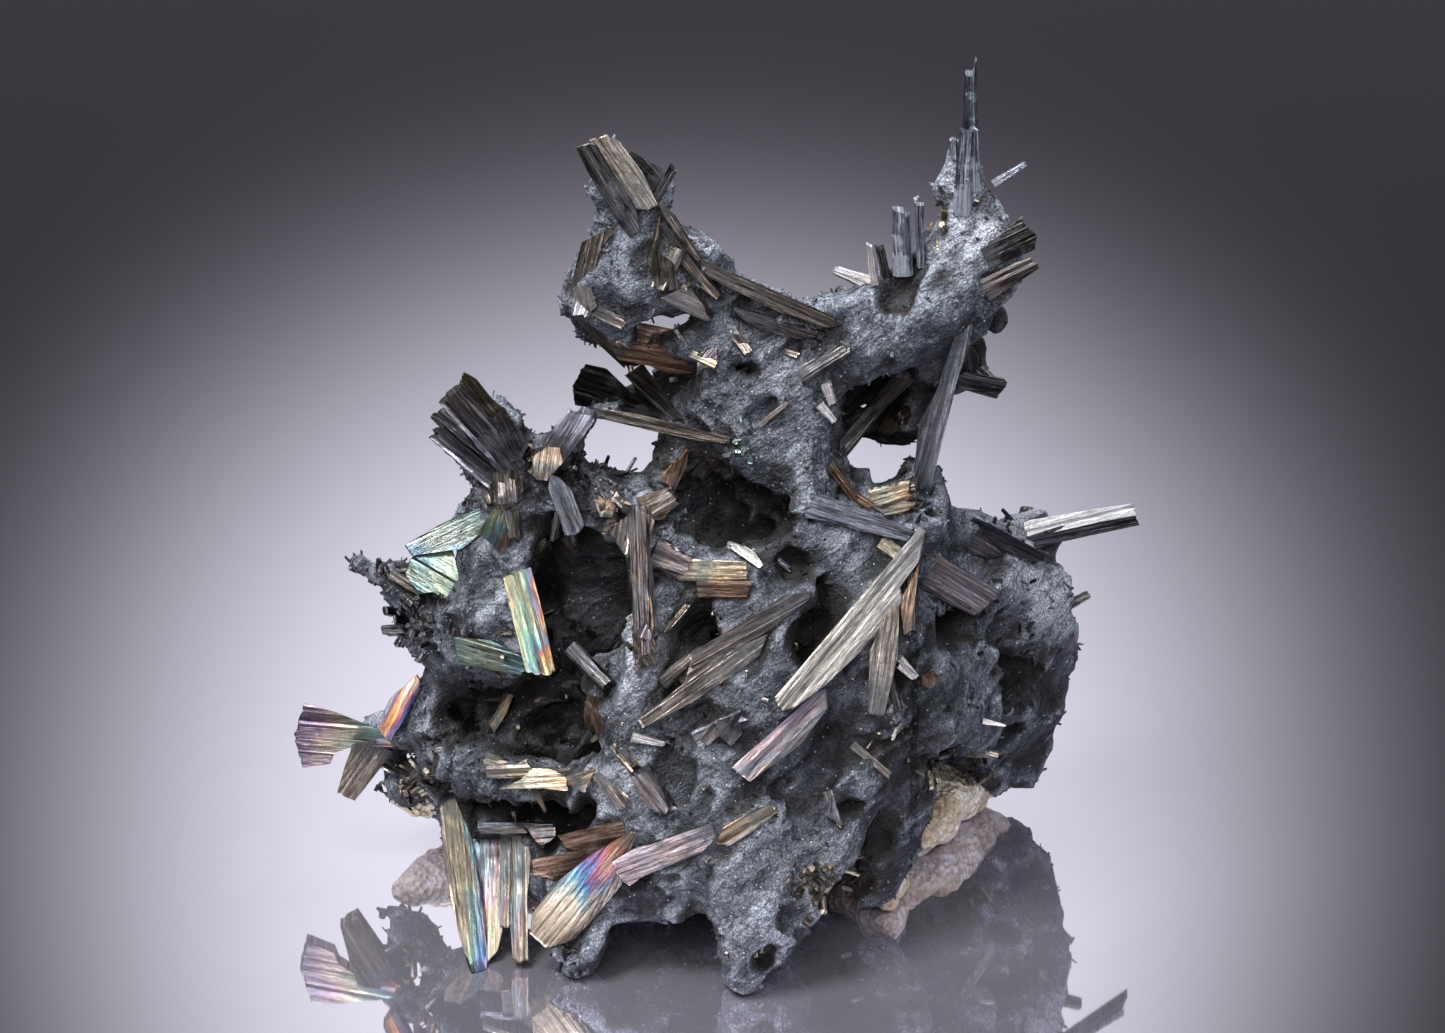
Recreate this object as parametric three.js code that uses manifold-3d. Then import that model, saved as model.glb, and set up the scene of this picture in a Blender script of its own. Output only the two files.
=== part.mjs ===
// A dyscrasite specimen: sooty, branching silver-antimony matrix with free blades, on cream calcite.
// Millimetres, +Z up. The origin is under the middle of the specimen, on the surface that it rests on.
//
// Most places are written as [across, up, depth]: across and up as they are seen from the front by an eye
// that looks down at the specimen by VIEW_TILT degrees from VIEW_DISTANCE, and depth as the true distance
// from the front edge. place() turns such a triple into a point of the specimen's own frame.
import * as THREE from "three";
import { mergeVertices } from "three/addons/utils/BufferGeometryUtils.js";
import Module from "manifold-3d";

const wasm = await Module();
wasm.setup();

// Driving dimensions.
const VIEW_TILT = 26;
const VIEW_DISTANCE = 800;
const VIEW_MIDDLE = [72.25, 48.35];
const MIDDLE = new THREE.Vector3(0.4, 0, 40.2);
const MIDDLE_DEPTH = 31.2;
const CELL = 3.7; // size of the facets that the matrix is broken into
const LIMB_BLEND = 2.4; // how softly limbs and webs flow into one another
const HOLLOW_BLEND = 1.2;
const SEAT_GAP = 0.3; // between a crystal and what carries it
const FORK_GAP = 0.3; // between two branches at a fork
const FAR = 60;
const REACH = 12; // beyond this a limb has no effect on a point
const LOW = [-46, -36, -3];
const HIGH = [46, 36, 97];
const LEAST_MITRE = 0.25; // keeps a sharp corner from moving too far as its outline grows
const END_SKEW = 0.3; // how slanted a crystal's free end is, against its width
const NEAR_ZERO = 1e-3;
const FILLED = -0.3; // distance given to a grid point that is filled in

const AXES = [[1, 0, 0], [0, 1, 0], [0, 0, 1]];
const CELL_CORNERS = [0, 1, 2, 3, 4, 5, 6, 7].map((n) => [n & 1, (n >> 1) & 1, (n >> 2) & 1]);
const CELL_EDGES = CELL_CORNERS.flatMap((from) =>
  AXES.filter((axis) => axis.every((step, i) => !(step && from[i])))
    .map((axis) => [from, from.map((value, i) => value + axis[i])]));

// A lath's section: fractions of its width and thickness, with bevelled edges and a ridge off the middle.
const LATH_OUTLINE = [[-0.5, 0], [-0.36, -0.5], [0.34, -0.5], [0.5, -0.08], [0.26, 0.5], [-0.38, 0.38]];

const ACROSS = new THREE.Vector3(1, 0, 0);
const tilt = THREE.MathUtils.degToRad(VIEW_TILT);
const SIGHT = new THREE.Vector3(0, Math.cos(tilt), -Math.sin(tilt));
const RISE = new THREE.Vector3(0, Math.sin(tilt), Math.cos(tilt));
const EYE = MIDDLE.clone().addScaledVector(SIGHT, -VIEW_DISTANCE);

// Limbs are chains of [across, up, depth, radius]; they swell and thin from one point to the next.
const LIMBS = [
  // Left horn: tip, neck and head, the arm to the saddle, the rim between its holes, the strip under them.
  [[61.0, 84.0, 26, 1.5], [62.3, 80.8, 26, 1.9], [63.6, 77.6, 26.5, 2.5], [62.4, 74.2, 27, 3.3],
    [60.2, 72.2, 27.5, 3.0], [59.8, 70.6, 27.5, 2.5]],
  [[64.6, 77.6, 26.5, 2.0], [67.4, 73.6, 26.5, 1.9], [70.4, 70.6, 27, 1.9], [75.6, 68.4, 28, 1.9],
    [80.6, 67.0, 29, 2.2]],
  [[61.6, 69.6, 26.5, 1.8], [65.8, 71.2, 26.5, 1.5], [69.4, 70.2, 27, 1.5], [71.4, 67.6, 27.5, 2.0]],
  [[62.4, 67.0, 27, 1.4], [67.0, 66.6, 28, 1.5], [71.0, 66.6, 28, 2.0]],
  // Saddle: middle column, right column, left wing, and the wall behind the head.
  [[72.0, 67.0, 28, 2.2], [75.0, 64.4, 28.5, 3.6], [76.0, 60.4, 29, 4.6], [75.6, 56.0, 28, 4.6],
    [76.0, 51.6, 27, 5.0]],
  [[81.0, 66.4, 29, 2.6], [80.0, 62.4, 29, 4.0], [80.4, 58.0, 28.5, 3.8], [81.0, 53.0, 27, 4.2]],
  [[71.6, 58.4, 28, 2.6], [68.8, 55.2, 28, 2.4], [67.4, 52.4, 27, 2.2]],
  [[70.5, 66.4, 34, 2.4], [67.8, 62.8, 37, 2.2], [66.4, 60.2, 36, 2.0], [69.6, 57.2, 32, 2.6]],
  // Right horn: column and shoulder down to the saddle, its two stubs, and the wall behind the tunnel.
  [[96.8, 84.4, 34, 1.4], [96.9, 80.6, 34, 1.8], [98.0, 77.6, 34, 3.1], [97.4, 74.0, 33.5, 3.9],
    [95.2, 71.2, 33, 4.4], [91.8, 68.6, 32.5, 4.8], [88.0, 66.4, 32, 4.3], [84.4, 65.2, 31, 3.8],
    [81.0, 64.0, 30, 3.6]],
  [[97.0, 70.4, 36, 2.6], [98.2, 68.4, 36, 1.8]],
  [[94.8, 66.4, 33, 2.6], [94.0, 62.6, 33, 2.0]],
  [[84.0, 61.6, 36, 2.4], [88.0, 62.2, 38, 2.6], [91.0, 60.0, 38, 2.4], [89.6, 58.2, 37, 2.0],
    [84.6, 57.6, 35, 2.2]],
  // Left cluster's branch.
  [[50.4, 51.2, 24, 2.3], [54.8, 50.8, 24, 2.2], [60.0, 49.4, 24, 2.3], [64.0, 48.0, 24, 2.6]],
  [[57.0, 54.0, 24, 1.6], [58.6, 51.6, 24, 2.0]],
  [[51.4, 52.0, 25, 2.0], [50.2, 55.0, 25.4, 1.7], [48.4, 58.0, 26, 1.3]],
  // Left branch: its column and its two twigs.
  [[36.6, 43.8, 31, 1.4], [39.6, 42.6, 31, 1.8], [43.0, 39.6, 30, 2.3], [45.6, 36.0, 28, 2.5],
    [44.6, 31.0, 28, 2.1], [43.4, 26.4, 29, 1.9], [43.6, 22.4, 28, 2.1]],
  [[43.4, 27.2, 30, 1.8], [40.2, 26.6, 32, 1.5], [38.4, 26.2, 33, 1.3]],
  [[44.0, 23.0, 30, 1.9], [41.0, 21.6, 33, 1.7], [38.4, 20.4, 35, 1.4]],
  // The back of the central cavity.
  [[64.0, 49.0, 37, 3.4], [70.0, 51.0, 38, 3.8], [76.0, 51.0, 38, 4.0], [82.0, 49.0, 36, 3.8]],
  // Main body: rim over the left cavity and the cavity's back.
  [[47.4, 42.0, 25, 2.5], [50.0, 46.0, 25, 3.0], [55.0, 48.0, 26, 3.2], [60.0, 48.4, 26, 3.0],
    [64.4, 47.8, 24, 3.0], [67.2, 45.0, 22, 3.0]],
  [[54.0, 43.0, 34, 4.5], [60.0, 39.0, 33, 4.5], [56.0, 34.0, 32, 4.5]],
  // Main body: the ridges that run down its front.
  [[65.2, 46.0, 20, 2.6], [65.6, 40.0, 18, 3.0], [64.4, 34.0, 16, 3.0], [63.0, 29.0, 14, 2.9],
    [63.6, 23.0, 12, 3.0], [66.0, 17.0, 11, 3.2]],
  [[70.6, 43.6, 22, 3.0], [74.0, 40.0, 20, 4.0], [77.0, 35.0, 18, 4.5], [76.0, 29.0, 16, 4.5],
    [72.0, 24.0, 13.5, 4.2], [71.6, 18.0, 11.5, 4.4], [74.6, 12.4, 10, 4.5], [75.4, 7.6, 8, 3.4],
    [74.0, 3.6, 6.6, 2.6]],
  [[79.0, 48.6, 25, 4.0], [84.0, 46.6, 26, 5.0], [86.4, 41.0, 24, 5.2], [87.4, 35.0, 23, 5.0],
    [86.4, 29.0, 20, 4.8], [84.4, 23.0, 17.5, 4.5], [82.0, 17.0, 14.5, 4.2], [79.8, 11.4, 12, 3.6],
    [77.0, 7.0, 9.6, 3.4]],
  [[88.4, 27.0, 25, 4.2], [88.6, 21.0, 24, 3.9], [88.0, 15.6, 22, 2.9], [87.6, 11.6, 21, 2.2]],
  [[92.4, 52.2, 32, 1.5], [92.6, 48.6, 31, 2.2]],
  // Main body: the shelves between the left cavities, the foot rim and its nub.
  [[46.8, 40.0, 24, 2.5], [49.0, 36.6, 22, 2.7], [52.4, 34.4, 20, 2.2], [57.0, 34.0, 18.5, 2.3],
    [62.0, 33.6, 16.5, 2.8]],
  [[48.0, 30.0, 34, 4.0], [54.0, 28.0, 28, 4.6], [59.0, 27.0, 24, 4.2]],
  [[44.0, 23.6, 27, 2.1], [48.0, 22.4, 22, 2.1], [53.0, 21.6, 18, 2.1], [59.0, 21.2, 15, 2.2],
    [63.0, 22.0, 13, 2.6]],
  [[50.0, 18.0, 26, 4.0], [56.0, 17.4, 22, 4.0], [62.0, 16.8, 17, 3.8]],
  [[48.0, 14.6, 21, 2.4], [54.0, 14.0, 18, 2.4], [58.6, 13.2, 15, 2.4], [62.4, 12.4, 13, 2.7],
    [66.6, 11.4, 11.5, 3.2]],
  [[57.0, 9.6, 14.5, 1.9], [56.6, 4.2, 13, 1.8]],
  [[60.0, 10.5, 11, 2.2], [57.5, 6.5, 10.5, 2.6], [56.4, 3.4, 10, 1.6]],
  // Main body: the slope that carries it back to the right mass.
  [[86.0, 34.0, 19, 3.0], [92.0, 33.0, 25, 3.4], [97.0, 33.0, 31, 3.4]],
  [[87.0, 29.0, 17, 2.6], [92.0, 29.0, 23, 2.8], [97.0, 27.5, 30, 3.0]],
  [[89.0, 41.0, 22, 2.5], [93.5, 42.0, 28, 3.0]],
  // Main body: the thick back.
  [[60.0, 38.0, 40, 7.0], [70.0, 36.0, 42, 8.0], [80.0, 36.0, 42, 8.0], [89.0, 36.0, 40, 6.5]],
  [[58.0, 26.0, 36, 6.0], [68.0, 24.0, 34, 7.5], [78.0, 24.0, 34, 8.0], [86.0, 24.0, 34, 6.5]],
  [[70.0, 44.0, 34, 5.5], [80.0, 44.0, 34, 6.0]],
  [[67.0, 15.0, 20, 5.0], [76.0, 16.0, 22, 6.0]],
  // Right mass: the ring round its pit and the wall that joins it to the body.
  [[92.0, 45.6, 34, 4.0], [97.0, 43.0, 40, 4.8], [101.0, 40.4, 45, 5.2], [103.0, 36.0, 47, 4.7],
    [102.0, 30.0, 46, 4.8], [99.6, 26.6, 44, 4.2], [95.4, 27.0, 41, 3.8], [91.0, 27.4, 33, 4.0]],
  [[93.0, 37.0, 36, 5.0], [97.0, 33.0, 42, 6.0]],
  [[103.0, 30.0, 46, 3.6], [101.6, 24.6, 45, 3.2], [98.6, 23.2, 43, 2.6]],
];

// Webs are thin sheets of matrix: three corners and half the thickness.
const WEBS = [
  [[65.5, 42.0, 20], [73.0, 42.0, 22], [66.0, 24.0, 14], 1.8],
  [[73.0, 42.0, 22], [76.0, 27.0, 15], [66.0, 24.0, 14], 1.8],
  [[76.0, 44.0, 25], [86.0, 44.0, 26], [80.0, 20.0, 16], 2.2],
  [[74.0, 40.0, 22], [77.0, 20.0, 14], [86.0, 40.0, 25], 2.2],
  [[72.0, 20.0, 13], [82.0, 20.0, 16], [76.0, 8.0, 9], 2.2],
  [[86.0, 42.0, 25], [90.0, 24.0, 24], [84.0, 22.0, 18], 2.0],
  [[80.0, 48.6, 26], [92.0, 49.0, 31], [88.0, 38.0, 26], 2.0],
  [[47.0, 41.0, 24], [54.0, 34.5, 20], [46.0, 33.0, 26], 1.8],
  [[44.0, 30.0, 31], [52.0, 30.0, 34], [46.0, 22.0, 30], 2.0],
  [[50.0, 18.0, 26], [62.0, 17.0, 18], [58.0, 12.0, 15], 1.8],
  [[64.0, 22.0, 14], [72.0, 22.0, 14], [68.0, 12.0, 11.5], 2.0],
  [[47.5, 42.0, 25], [50.0, 47.0, 25], [44.5, 36.0, 28], 1.5],
  [[56.0, 48.0, 27], [66.0, 47.0, 25], [62.0, 40.0, 33], 2.0],
  [[73.0, 66.0, 28], [84.0, 65.0, 31], [78.0, 54.0, 28], 2.6],
  [[69.0, 58.0, 29], [73.0, 66.0, 29], [75.0, 54.0, 28], 2.0],
  [[59.5, 72.0, 27], [66.0, 75.0, 26.5], [64.0, 70.5, 27], 2.2],
  [[66.0, 73.0, 27], [71.0, 70.0, 27], [70.0, 67.0, 28], 1.5],
  [[92.0, 48.0, 33], [101.0, 41.0, 44], [93.0, 36.0, 36], 2.5],
  [[88.0, 30.0, 26], [94.0, 26.0, 37], [92.0, 38.0, 34], 2.2],
];

// Hollows are egg-shaped: a middle, and half sizes across, up and along the line of sight.
const HOLLOWS = [
  { middle: [73.6, 48.4, 22], half: [6.0, 3.6, 9.0] }, // central cavity
  { middle: [54.9, 38.8, 22], half: [2.4, 6.2, 9.0] }, // left cavity, its deep side
  { middle: [60.4, 40.4, 20], half: [3.6, 6.0, 6.5] }, // left cavity, its shallow side
  { middle: [54.8, 27.6, 17], half: [5.2, 4.6, 9.0] }, // bowl
  { middle: [46.4, 28.6, 24], half: [3.0, 3.4, 6.0] },
  { middle: [54.0, 19.0, 17], half: [6.0, 2.2, 8.0] }, // slot over the foot rim
  { middle: [99.8, 32.8, 37], half: [3.4, 2.8, 7.0] }, // pit in the right mass
  { middle: [93.6, 23.0, 33], half: [4.8, 3.0, 8.0] }, // hollow over the calcite
  { middle: [83.2, 10.6, 15], half: [3.6, 4.0, 7.0] }, // pocket beside the foot lobe
  { middle: [80.2, 35.6, 15], half: [1.6, 2.2, 5.0] },
  { middle: [87.6, 58.6, 31], half: [3.6, 3.6, 5.5] }, // tunnel beside the saddle
];

// Calcite lumps: chains of [across, depth, height, radius], cut flat at the bottom.
const CALCITE_LUMPS = [
  [[42, 41, 4.0, 3.0], [50, 42, 4.5, 5.0], [62, 43, 4.5, 6.0], [76, 44, 4.5, 6.5], [88, 44, 4.5, 6.5],
    [96, 46.5, 5.0, 4.8]],
  [[86, 38, 4.0, 4.5], [91.4, 34.5, 2.6, 2.2], [93.6, 38, 2.8, 2.5], [97, 42.8, 3.0, 2.2], [101, 46.2, 3.4, 1.8]],
  [[87, 33, 3.0, 4.0], [88.6, 27, 2.4, 2.0], [88.8, 22.5, 1.6, 1.2]],
];

// Crystals: root, tip, width, thickness, roll about the length in degrees, and tip width over root width.
// A crystal with no roll turns its broad face to the front.
const FREE_CRYSTALS = {
  spire: [[[96.9, 79.0, 34], [97.1, 94.0, 34], 2.2, 1.6, 0, 0.5]],
  small_dark_blade: [[[44.0, 37.3, 26], [38.4, 36.9, 28.6], 1.3, 1.1, 0, 0.9]],
  upright_plate: [[[63.7, 49.4, 18.4], [64.4, 33.6, 11.6], 2.1, 0.9, 30, 0.8]],
};

// Plates: flat blades given by their outlines as [across, up]. Each has root, tip, thickness along the line
// of sight, and how much deeper it lies for each millimetre to the left of the line from root to tip.
const PLATES = {
  horn_tip_blades: [
    [[63.3, 77.0, 22.8], [58.3, 85.5, 24.4], 1.5, 0.12,
      [[57.5, 85.3], [58.8, 85.9], [59.5, 85.7], [63.6, 79.3], [64.0, 76.8], [63.0, 76.2], [61.8, 77.8],
      [60.1, 81.2], [59.0, 82.4]]],
    [[65.0, 79.6, 23.2], [60.3, 86.4, 24.8], 1.5, -0.15,
      [[58.9, 86.0], [60.6, 86.7], [61.8, 86.0], [64.2, 82.9], [65.8, 79.5], [64.7, 79.0], [63.3, 79.1],
      [60.1, 84.3]]],
    [[66.0, 81.4, 25.4], [62.6, 84.8, 25.8], 1.0, 0.0,
      [[62.3, 84.6], [63.1, 84.9], [66.2, 83.2], [66.5, 82.3], [65.9, 80.3], [64.0, 81.8]]],
  ],
  arm_blades: [
    [[66.2, 79.6, 23.8], [70.0, 73.9, 24.4], 0.9, 0.1,
      [[65.7, 79.9], [66.4, 79.5], [67.6, 78.4], [70.2, 74.0], [69.9, 73.3], [67.8, 76.0], [66.2, 78.7]]],
    [[66.9, 76.4, 23.6], [72.0, 70.2, 24.4], 0.9, -0.1,
      [[66.6, 76.6], [67.6, 76.1], [69.3, 73.1], [72.1, 70.4], [71.8, 69.9], [70.1, 71.2], [68.3, 73.2]]],
    [[70.3, 73.8, 24.2], [83.8, 67.7, 26.4], 1.1, 0.15,
      [[69.9, 74.2], [74.0, 72.2], [80.0, 69.4], [83.6, 68.3], [84.0, 67.3], [82.5, 67.1], [78.5, 68.5],
      [74.0, 70.7], [70.8, 72.3]]],
  ],
  lower_dark_blade: [
    [[50.3, 52.5, 22.8], [44.0, 57.8, 23.6], 1.6, 0.12,
      [[42.8, 58.4], [44.5, 59.4], [47.6, 56.0], [50.9, 53.0], [50.3, 51.3], [48.6, 51.3], [46.6, 52.8],
      [45.6, 55.6]]],
  ],
  upper_dark_blade: [
    [[52.2, 54.8, 22.8], [46.6, 62.0, 23.6], 1.6, -0.1,
      [[45.7, 61.2], [46.3, 62.9], [47.4, 62.4], [48.6, 60.7], [50.0, 59.6], [53.0, 55.6], [52.6, 53.8],
      [50.6, 52.6], [47.0, 56.8], [46.2, 59.4]]],
  ],
  inner_dark_blade: [
    [[51.9, 54.2, 21.2], [49.6, 59.0, 21.6], 1.1, 0.1,
      [[48.9, 58.3], [50.3, 59.5], [52.8, 55.4], [52.1, 54.0], [50.9, 53.7]]],
  ],
  prism_crystal: [
    [[55.5, 54.8, 22.0], [58.1, 58.8, 21.4], 1.9, -0.12,
      [[54.3, 56.0], [57.0, 59.3], [59.3, 58.6], [59.0, 57.3], [56.2, 53.6], [55.2, 54.0]]],
    [[54.5, 52.3, 21.4], [54.9, 55.4, 20.9], 1.3, 0.1,
      [[53.1, 54.4], [54.7, 55.6], [56.0, 55.4], [56.3, 53.8], [54.7, 51.9], [53.6, 52.0]]],
  ],
  hanging_tip_blade: [
    [[55.5, 52.0, 21.0], [57.5, 46.6, 19.6], 1.4, 0.1,
      [[55.0, 52.6], [56.0, 52.2], [57.2, 50.9], [58.5, 47.4], [57.7, 46.2], [56.5, 46.4], [55.6, 49.2],
      [54.8, 51.2]]],
  ],
  two_face_crystal: [
    [[50.3, 49.0, 21.2], [49.2, 45.4, 20.4], 1.3, 0.15,
      [[49.4, 49.2], [50.3, 49.0], [50.9, 45.9], [49.9, 44.5], [47.7, 46.6]]],
    [[50.6, 49.2, 21.3], [51.2, 46.0, 20.7], 1.3, -0.3,
      [[49.9, 49.3], [51.6, 48.7], [52.1, 46.2], [50.7, 45.8]]],
  ],
  left_long_blade: [
    [[49.0, 48.6, 23.6], [40.8, 44.8, 28.0], 1.2, 0.1,
      [[40.3, 45.4], [44.0, 47.6], [48.7, 49.6], [49.7, 49.1], [49.3, 47.7], [46.2, 45.1], [41.1, 44.3]]],
  ],
  turquoise_plate: [
    [[45.5, 41.0, 24.4], [41.0, 43.6, 28.0], 1.0, 0.15,
      [[40.4, 42.7], [41.7, 44.5], [44.7, 44.5], [46.3, 41.0], [46.2, 39.8], [45.0, 40.0], [43.2, 40.8],
      [42.0, 40.6]]],
  ],
  iridescent_blade: [
    [[51.6, 42.8, 20.4], [54.2, 32.7, 15.0], 1.3, -0.12,
      [[50.3, 42.3], [51.6, 42.8], [53.1, 43.3], [54.3, 38.5], [55.5, 32.9], [54.9, 32.4], [52.7, 32.5],
      [51.4, 37.0]]],
  ],
  shelf_blade: [
    [[45.8, 35.4, 20.6], [52.5, 33.5, 16.4], 1.2, 0.1,
      [[45.3, 36.3], [49.0, 36.0], [52.3, 34.3], [53.2, 33.2], [52.2, 32.4], [45.9, 33.6]]],
  ],
  left_fan_blades: [
    [[39.1, 25.9, 31.8], [29.6, 26.7, 34.6], 1.1, 0.0,
      [[30.3, 29.7], [33.7, 28.7], [39.1, 26.6], [40.4, 26.4], [40.4, 25.3], [39.0, 25.3], [36.8, 25.7],
      [34.9, 25.2], [33.4, 24.6], [33.0, 23.6], [30.2, 23.2], [29.3, 26.5]]],
    [[38.2, 25.8, 32.2], [34.5, 20.4, 33.4], 1.1, 0.2,
      [[35.2, 25.6], [37.4, 26.0], [39.3, 24.8], [35.4, 19.8], [33.7, 20.7], [34.4, 23.2]]],
  ],
  left_upper_blade: [
    [[39.1, 26.2, 29.6], [42.0, 32.4, 28.4], 1.1, -0.1,
      [[37.7, 27.3], [39.0, 30.2], [41.8, 32.7], [42.2, 31.4], [40.3, 27.9], [38.9, 25.7]]],
  ],
  bottom_left_blades: [
    [[45.5, 18.8, 23.4], [47.5, 2.0, 9.6], 1.3, 0.1,
      [[44.0, 19.4], [45.5, 20.4], [47.0, 16.8], [48.2, 12.0], [48.8, 7.0], [48.7, 2.4], [47.2, 1.6],
      [45.7, 7.3], [44.4, 13.2]]],
    [[48.6, 17.4, 22.6], [48.8, 3.8, 11.2], 1.2, -0.15,
      [[46.2, 16.4], [48.0, 17.4], [50.2, 16.8], [50.2, 6.4], [49.8, 4.6], [48.6, 3.2], [48.3, 7.5],
      [47.8, 12.3]]],
  ],
  narrow_foot_blades: [
    [[50.6, 17.0, 19.8], [50.4, 7.4, 12.6], 1.1, 0.1,
      [[50.0, 17.1], [51.3, 17.1], [51.4, 11.3], [50.9, 7.1], [50.0, 7.2]]],
    [[51.9, 16.6, 18.8], [52.1, 4.0, 10.4], 1.1, -0.1,
      [[51.2, 16.8], [52.6, 16.5], [53.1, 14.2], [52.7, 9.8], [52.8, 3.8], [52.0, 3.6], [51.3, 3.9],
      [51.0, 7.4]]],
  ],
  foot_fan: [
    [[62.2, 15.8, 7.6], [54.8, 6.8, 9.0], 1.2, -0.05,
      [[52.9, 6.6], [53.1, 8.4], [55.3, 11.5], [59.2, 14.6], [63.0, 16.8], [63.6, 16.8], [61.2, 12.2],
      [57.2, 5.8], [56.0, 5.5], [54.5, 5.2]]],
    [[62.8, 15.8, 7.8], [58.5, 7.0, 8.8], 1.3, -0.3,
      [[63.4, 17.1], [63.8, 16.6], [61.8, 13.2], [62.2, 11.6], [61.7, 10.9], [58.7, 7.3], [57.0, 5.6],
      [58.8, 10.3], [61.1, 13.8]]],
  ],
  copper_foot_blades: [
    [[63.0, 17.2, 8.4], [56.2, 15.8, 12.0], 1.1, 0.0,
      [[55.7, 16.4], [62.9, 18.2], [63.8, 17.2], [61.2, 14.3], [59.0, 14.4], [56.4, 15.3]]],
    [[59.0, 14.4, 11.2], [53.3, 13.4, 12.8], 1.0, 0.05,
      [[53.1, 14.0], [59.0, 15.1], [59.8, 14.4], [58.3, 13.2], [55.6, 12.0], [53.1, 12.5]]],
  ],
  rolled_foot_blade: [
    [[70.6, 16.4, 6.0], [62.2, 13.2, 7.6], 1.4, 0.15,
      [[61.1, 13.8], [63.6, 15.3], [68.0, 16.1], [71.2, 17.7], [71.7, 16.2], [70.4, 14.9], [68.0, 13.7],
      [65.2, 13.1], [63.0, 11.4], [61.8, 12.0]]],
  ],
  upper_foot_blade: [
    [[77.2, 19.0, 8.0], [72.2, 16.0, 5.8], 1.1, 0.1,
      [[72.2, 17.2], [75.8, 19.2], [77.6, 19.5], [77.8, 18.8], [75.2, 16.8], [72.8, 15.3], [71.6, 15.6]]],
  ],
  light_prism: [
    [[68.4, 43.2, 17.4], [74.7, 43.1, 16.2], 1.2, 0.25,
      [[69.2, 44.1], [74.8, 43.8], [74.9, 42.1], [70.0, 41.9], [67.7, 41.9]]],
    [[65.5, 45.0, 18.6], [69.0, 43.0, 17.3], 1.2, 0.1,
      [[64.9, 46.5], [65.5, 46.6], [69.4, 44.0], [68.0, 41.8], [65.2, 43.3]]],
  ],
  copper_prism: [
    [[69.9, 41.1, 16.4], [75.2, 41.0, 15.6], 1.2, -0.1,
      [[69.6, 42.0], [75.5, 41.9], [75.1, 40.3], [69.8, 40.2]]],
  ],
  blue_grey_blade: [
    [[81.0, 49.5, 21.0], [91.0, 46.4, 23.0], 1.5, 0.15,
      [[80.3, 48.9], [81.1, 50.4], [82.2, 50.6], [87.0, 48.8], [91.4, 47.0], [90.9, 45.8], [86.8, 46.7],
      [83.6, 47.7], [80.6, 48.2]]],
  ],
  long_front_blade: [
    [[92.0, 46.2, 22.6], [78.1, 29.6, 10.4], 1.6, -0.12,
      [[92.0, 47.3], [92.6, 46.9], [92.0, 44.0], [89.9, 41.8], [90.3, 39.9], [87.0, 35.7], [82.6, 31.5],
      [79.4, 29.1], [78.1, 28.7], [77.4, 30.2], [86.2, 39.6], [88.6, 42.9], [91.4, 46.5]]],
  ],
  second_front_blade: [
    [[82.4, 30.6, 13.6], [74.4, 22.6, 7.8], 1.4, -0.15,
      [[81.8, 31.0], [82.6, 31.2], [82.8, 29.2], [80.0, 25.5], [74.9, 21.7], [73.1, 23.2], [76.0, 25.8],
      [79.0, 28.2]]],
  ],
  middle_blades: [
    [[80.6, 40.3, 15.8], [69.2, 33.9, 11.6], 1.1, 0.1,
      [[81.1, 40.9], [81.1, 40.2], [76.6, 36.7], [73.0, 34.8], [69.0, 33.3], [68.6, 34.4], [73.3, 37.2],
      [78.5, 40.5]]],
    [[76.4, 36.0, 14.0], [64.0, 27.4, 9.6], 1.2, -0.15,
      [[76.8, 36.6], [76.0, 34.4], [73.1, 33.1], [69.0, 29.6], [64.0, 27.0], [63.6, 27.8], [67.9, 31.3],
      [69.0, 33.6], [74.0, 35.4]]],
  ],
  pink_ended_blade: [
    [[92.6, 43.0, 25.2], [98.4, 39.6, 29.4], 1.4, -0.1,
      [[92.0, 45.5], [94.5, 44.2], [97.5, 42.4], [100.0, 41.0], [99.8, 40.2], [97.5, 38.4], [95.0, 39.6],
      [91.8, 41.4]]],
  ],
  long_hanging_blade: [
    [[96.6, 67.6, 29.4], [92.4, 50.8, 28.6], 1.3, -0.1,
      [[96.1, 68.2], [97.3, 67.9], [97.0, 65.5], [94.6, 58.8], [93.5, 54.8], [93.0, 51.0], [91.9, 50.6],
      [91.4, 53.0], [91.9, 57.6], [93.6, 60.8]]],
  ],
  rear_horizontal_blade: [
    [[96.2, 62.0, 34.5], [100.4, 61.2, 36.0], 1.4, 0.1,
      [[95.5, 62.3], [96.5, 62.8], [100.5, 62.2], [100.9, 61.7], [99.7, 60.1], [95.8, 61.2]]],
    [[96.8, 65.0, 35.4], [97.2, 62.4, 35.2], 1.5, 0.1,
      [[96.3, 65.7], [97.4, 65.2], [98.3, 63.6], [96.6, 62.0], [95.8, 62.2]]],
  ],
  white_side_blade: [
    [[101.4, 46.4, 42.8], [113.7, 49.3, 54.0], 0.9, 0.2,
      [[100.8, 47.0], [103.0, 48.0], [110.0, 49.2], [113.5, 49.7], [113.8, 48.5], [110.0, 47.8],
      [102.8, 46.2]]],
    [[103.0, 45.8, 43.4], [113.8, 48.0, 54.2], 1.3, 0.2,
      [[102.0, 46.1], [106.0, 47.4], [113.7, 48.7], [114.0, 47.5], [109.5, 46.8], [106.0, 46.0],
      [103.6, 45.0]]],
  ],
  boxy_dark_blades: [
    [[97.4, 47.2, 35.4], [104.2, 44.0, 40.0], 1.8, 0.12,
      [[96.5, 47.6], [97.4, 48.3], [99.0, 47.6], [104.6, 44.6], [104.4, 43.8], [103.4, 43.8], [100.0, 45.4],
      [97.0, 46.2]]],
    [[97.3, 46.2, 35.0], [100.2, 44.4, 37.6], 1.2, -0.1,
      [[97.0, 46.6], [98.8, 46.1], [100.5, 44.4], [99.0, 44.0], [96.8, 44.8]]],
  ],
  rear_fan_crystal: [
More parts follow.
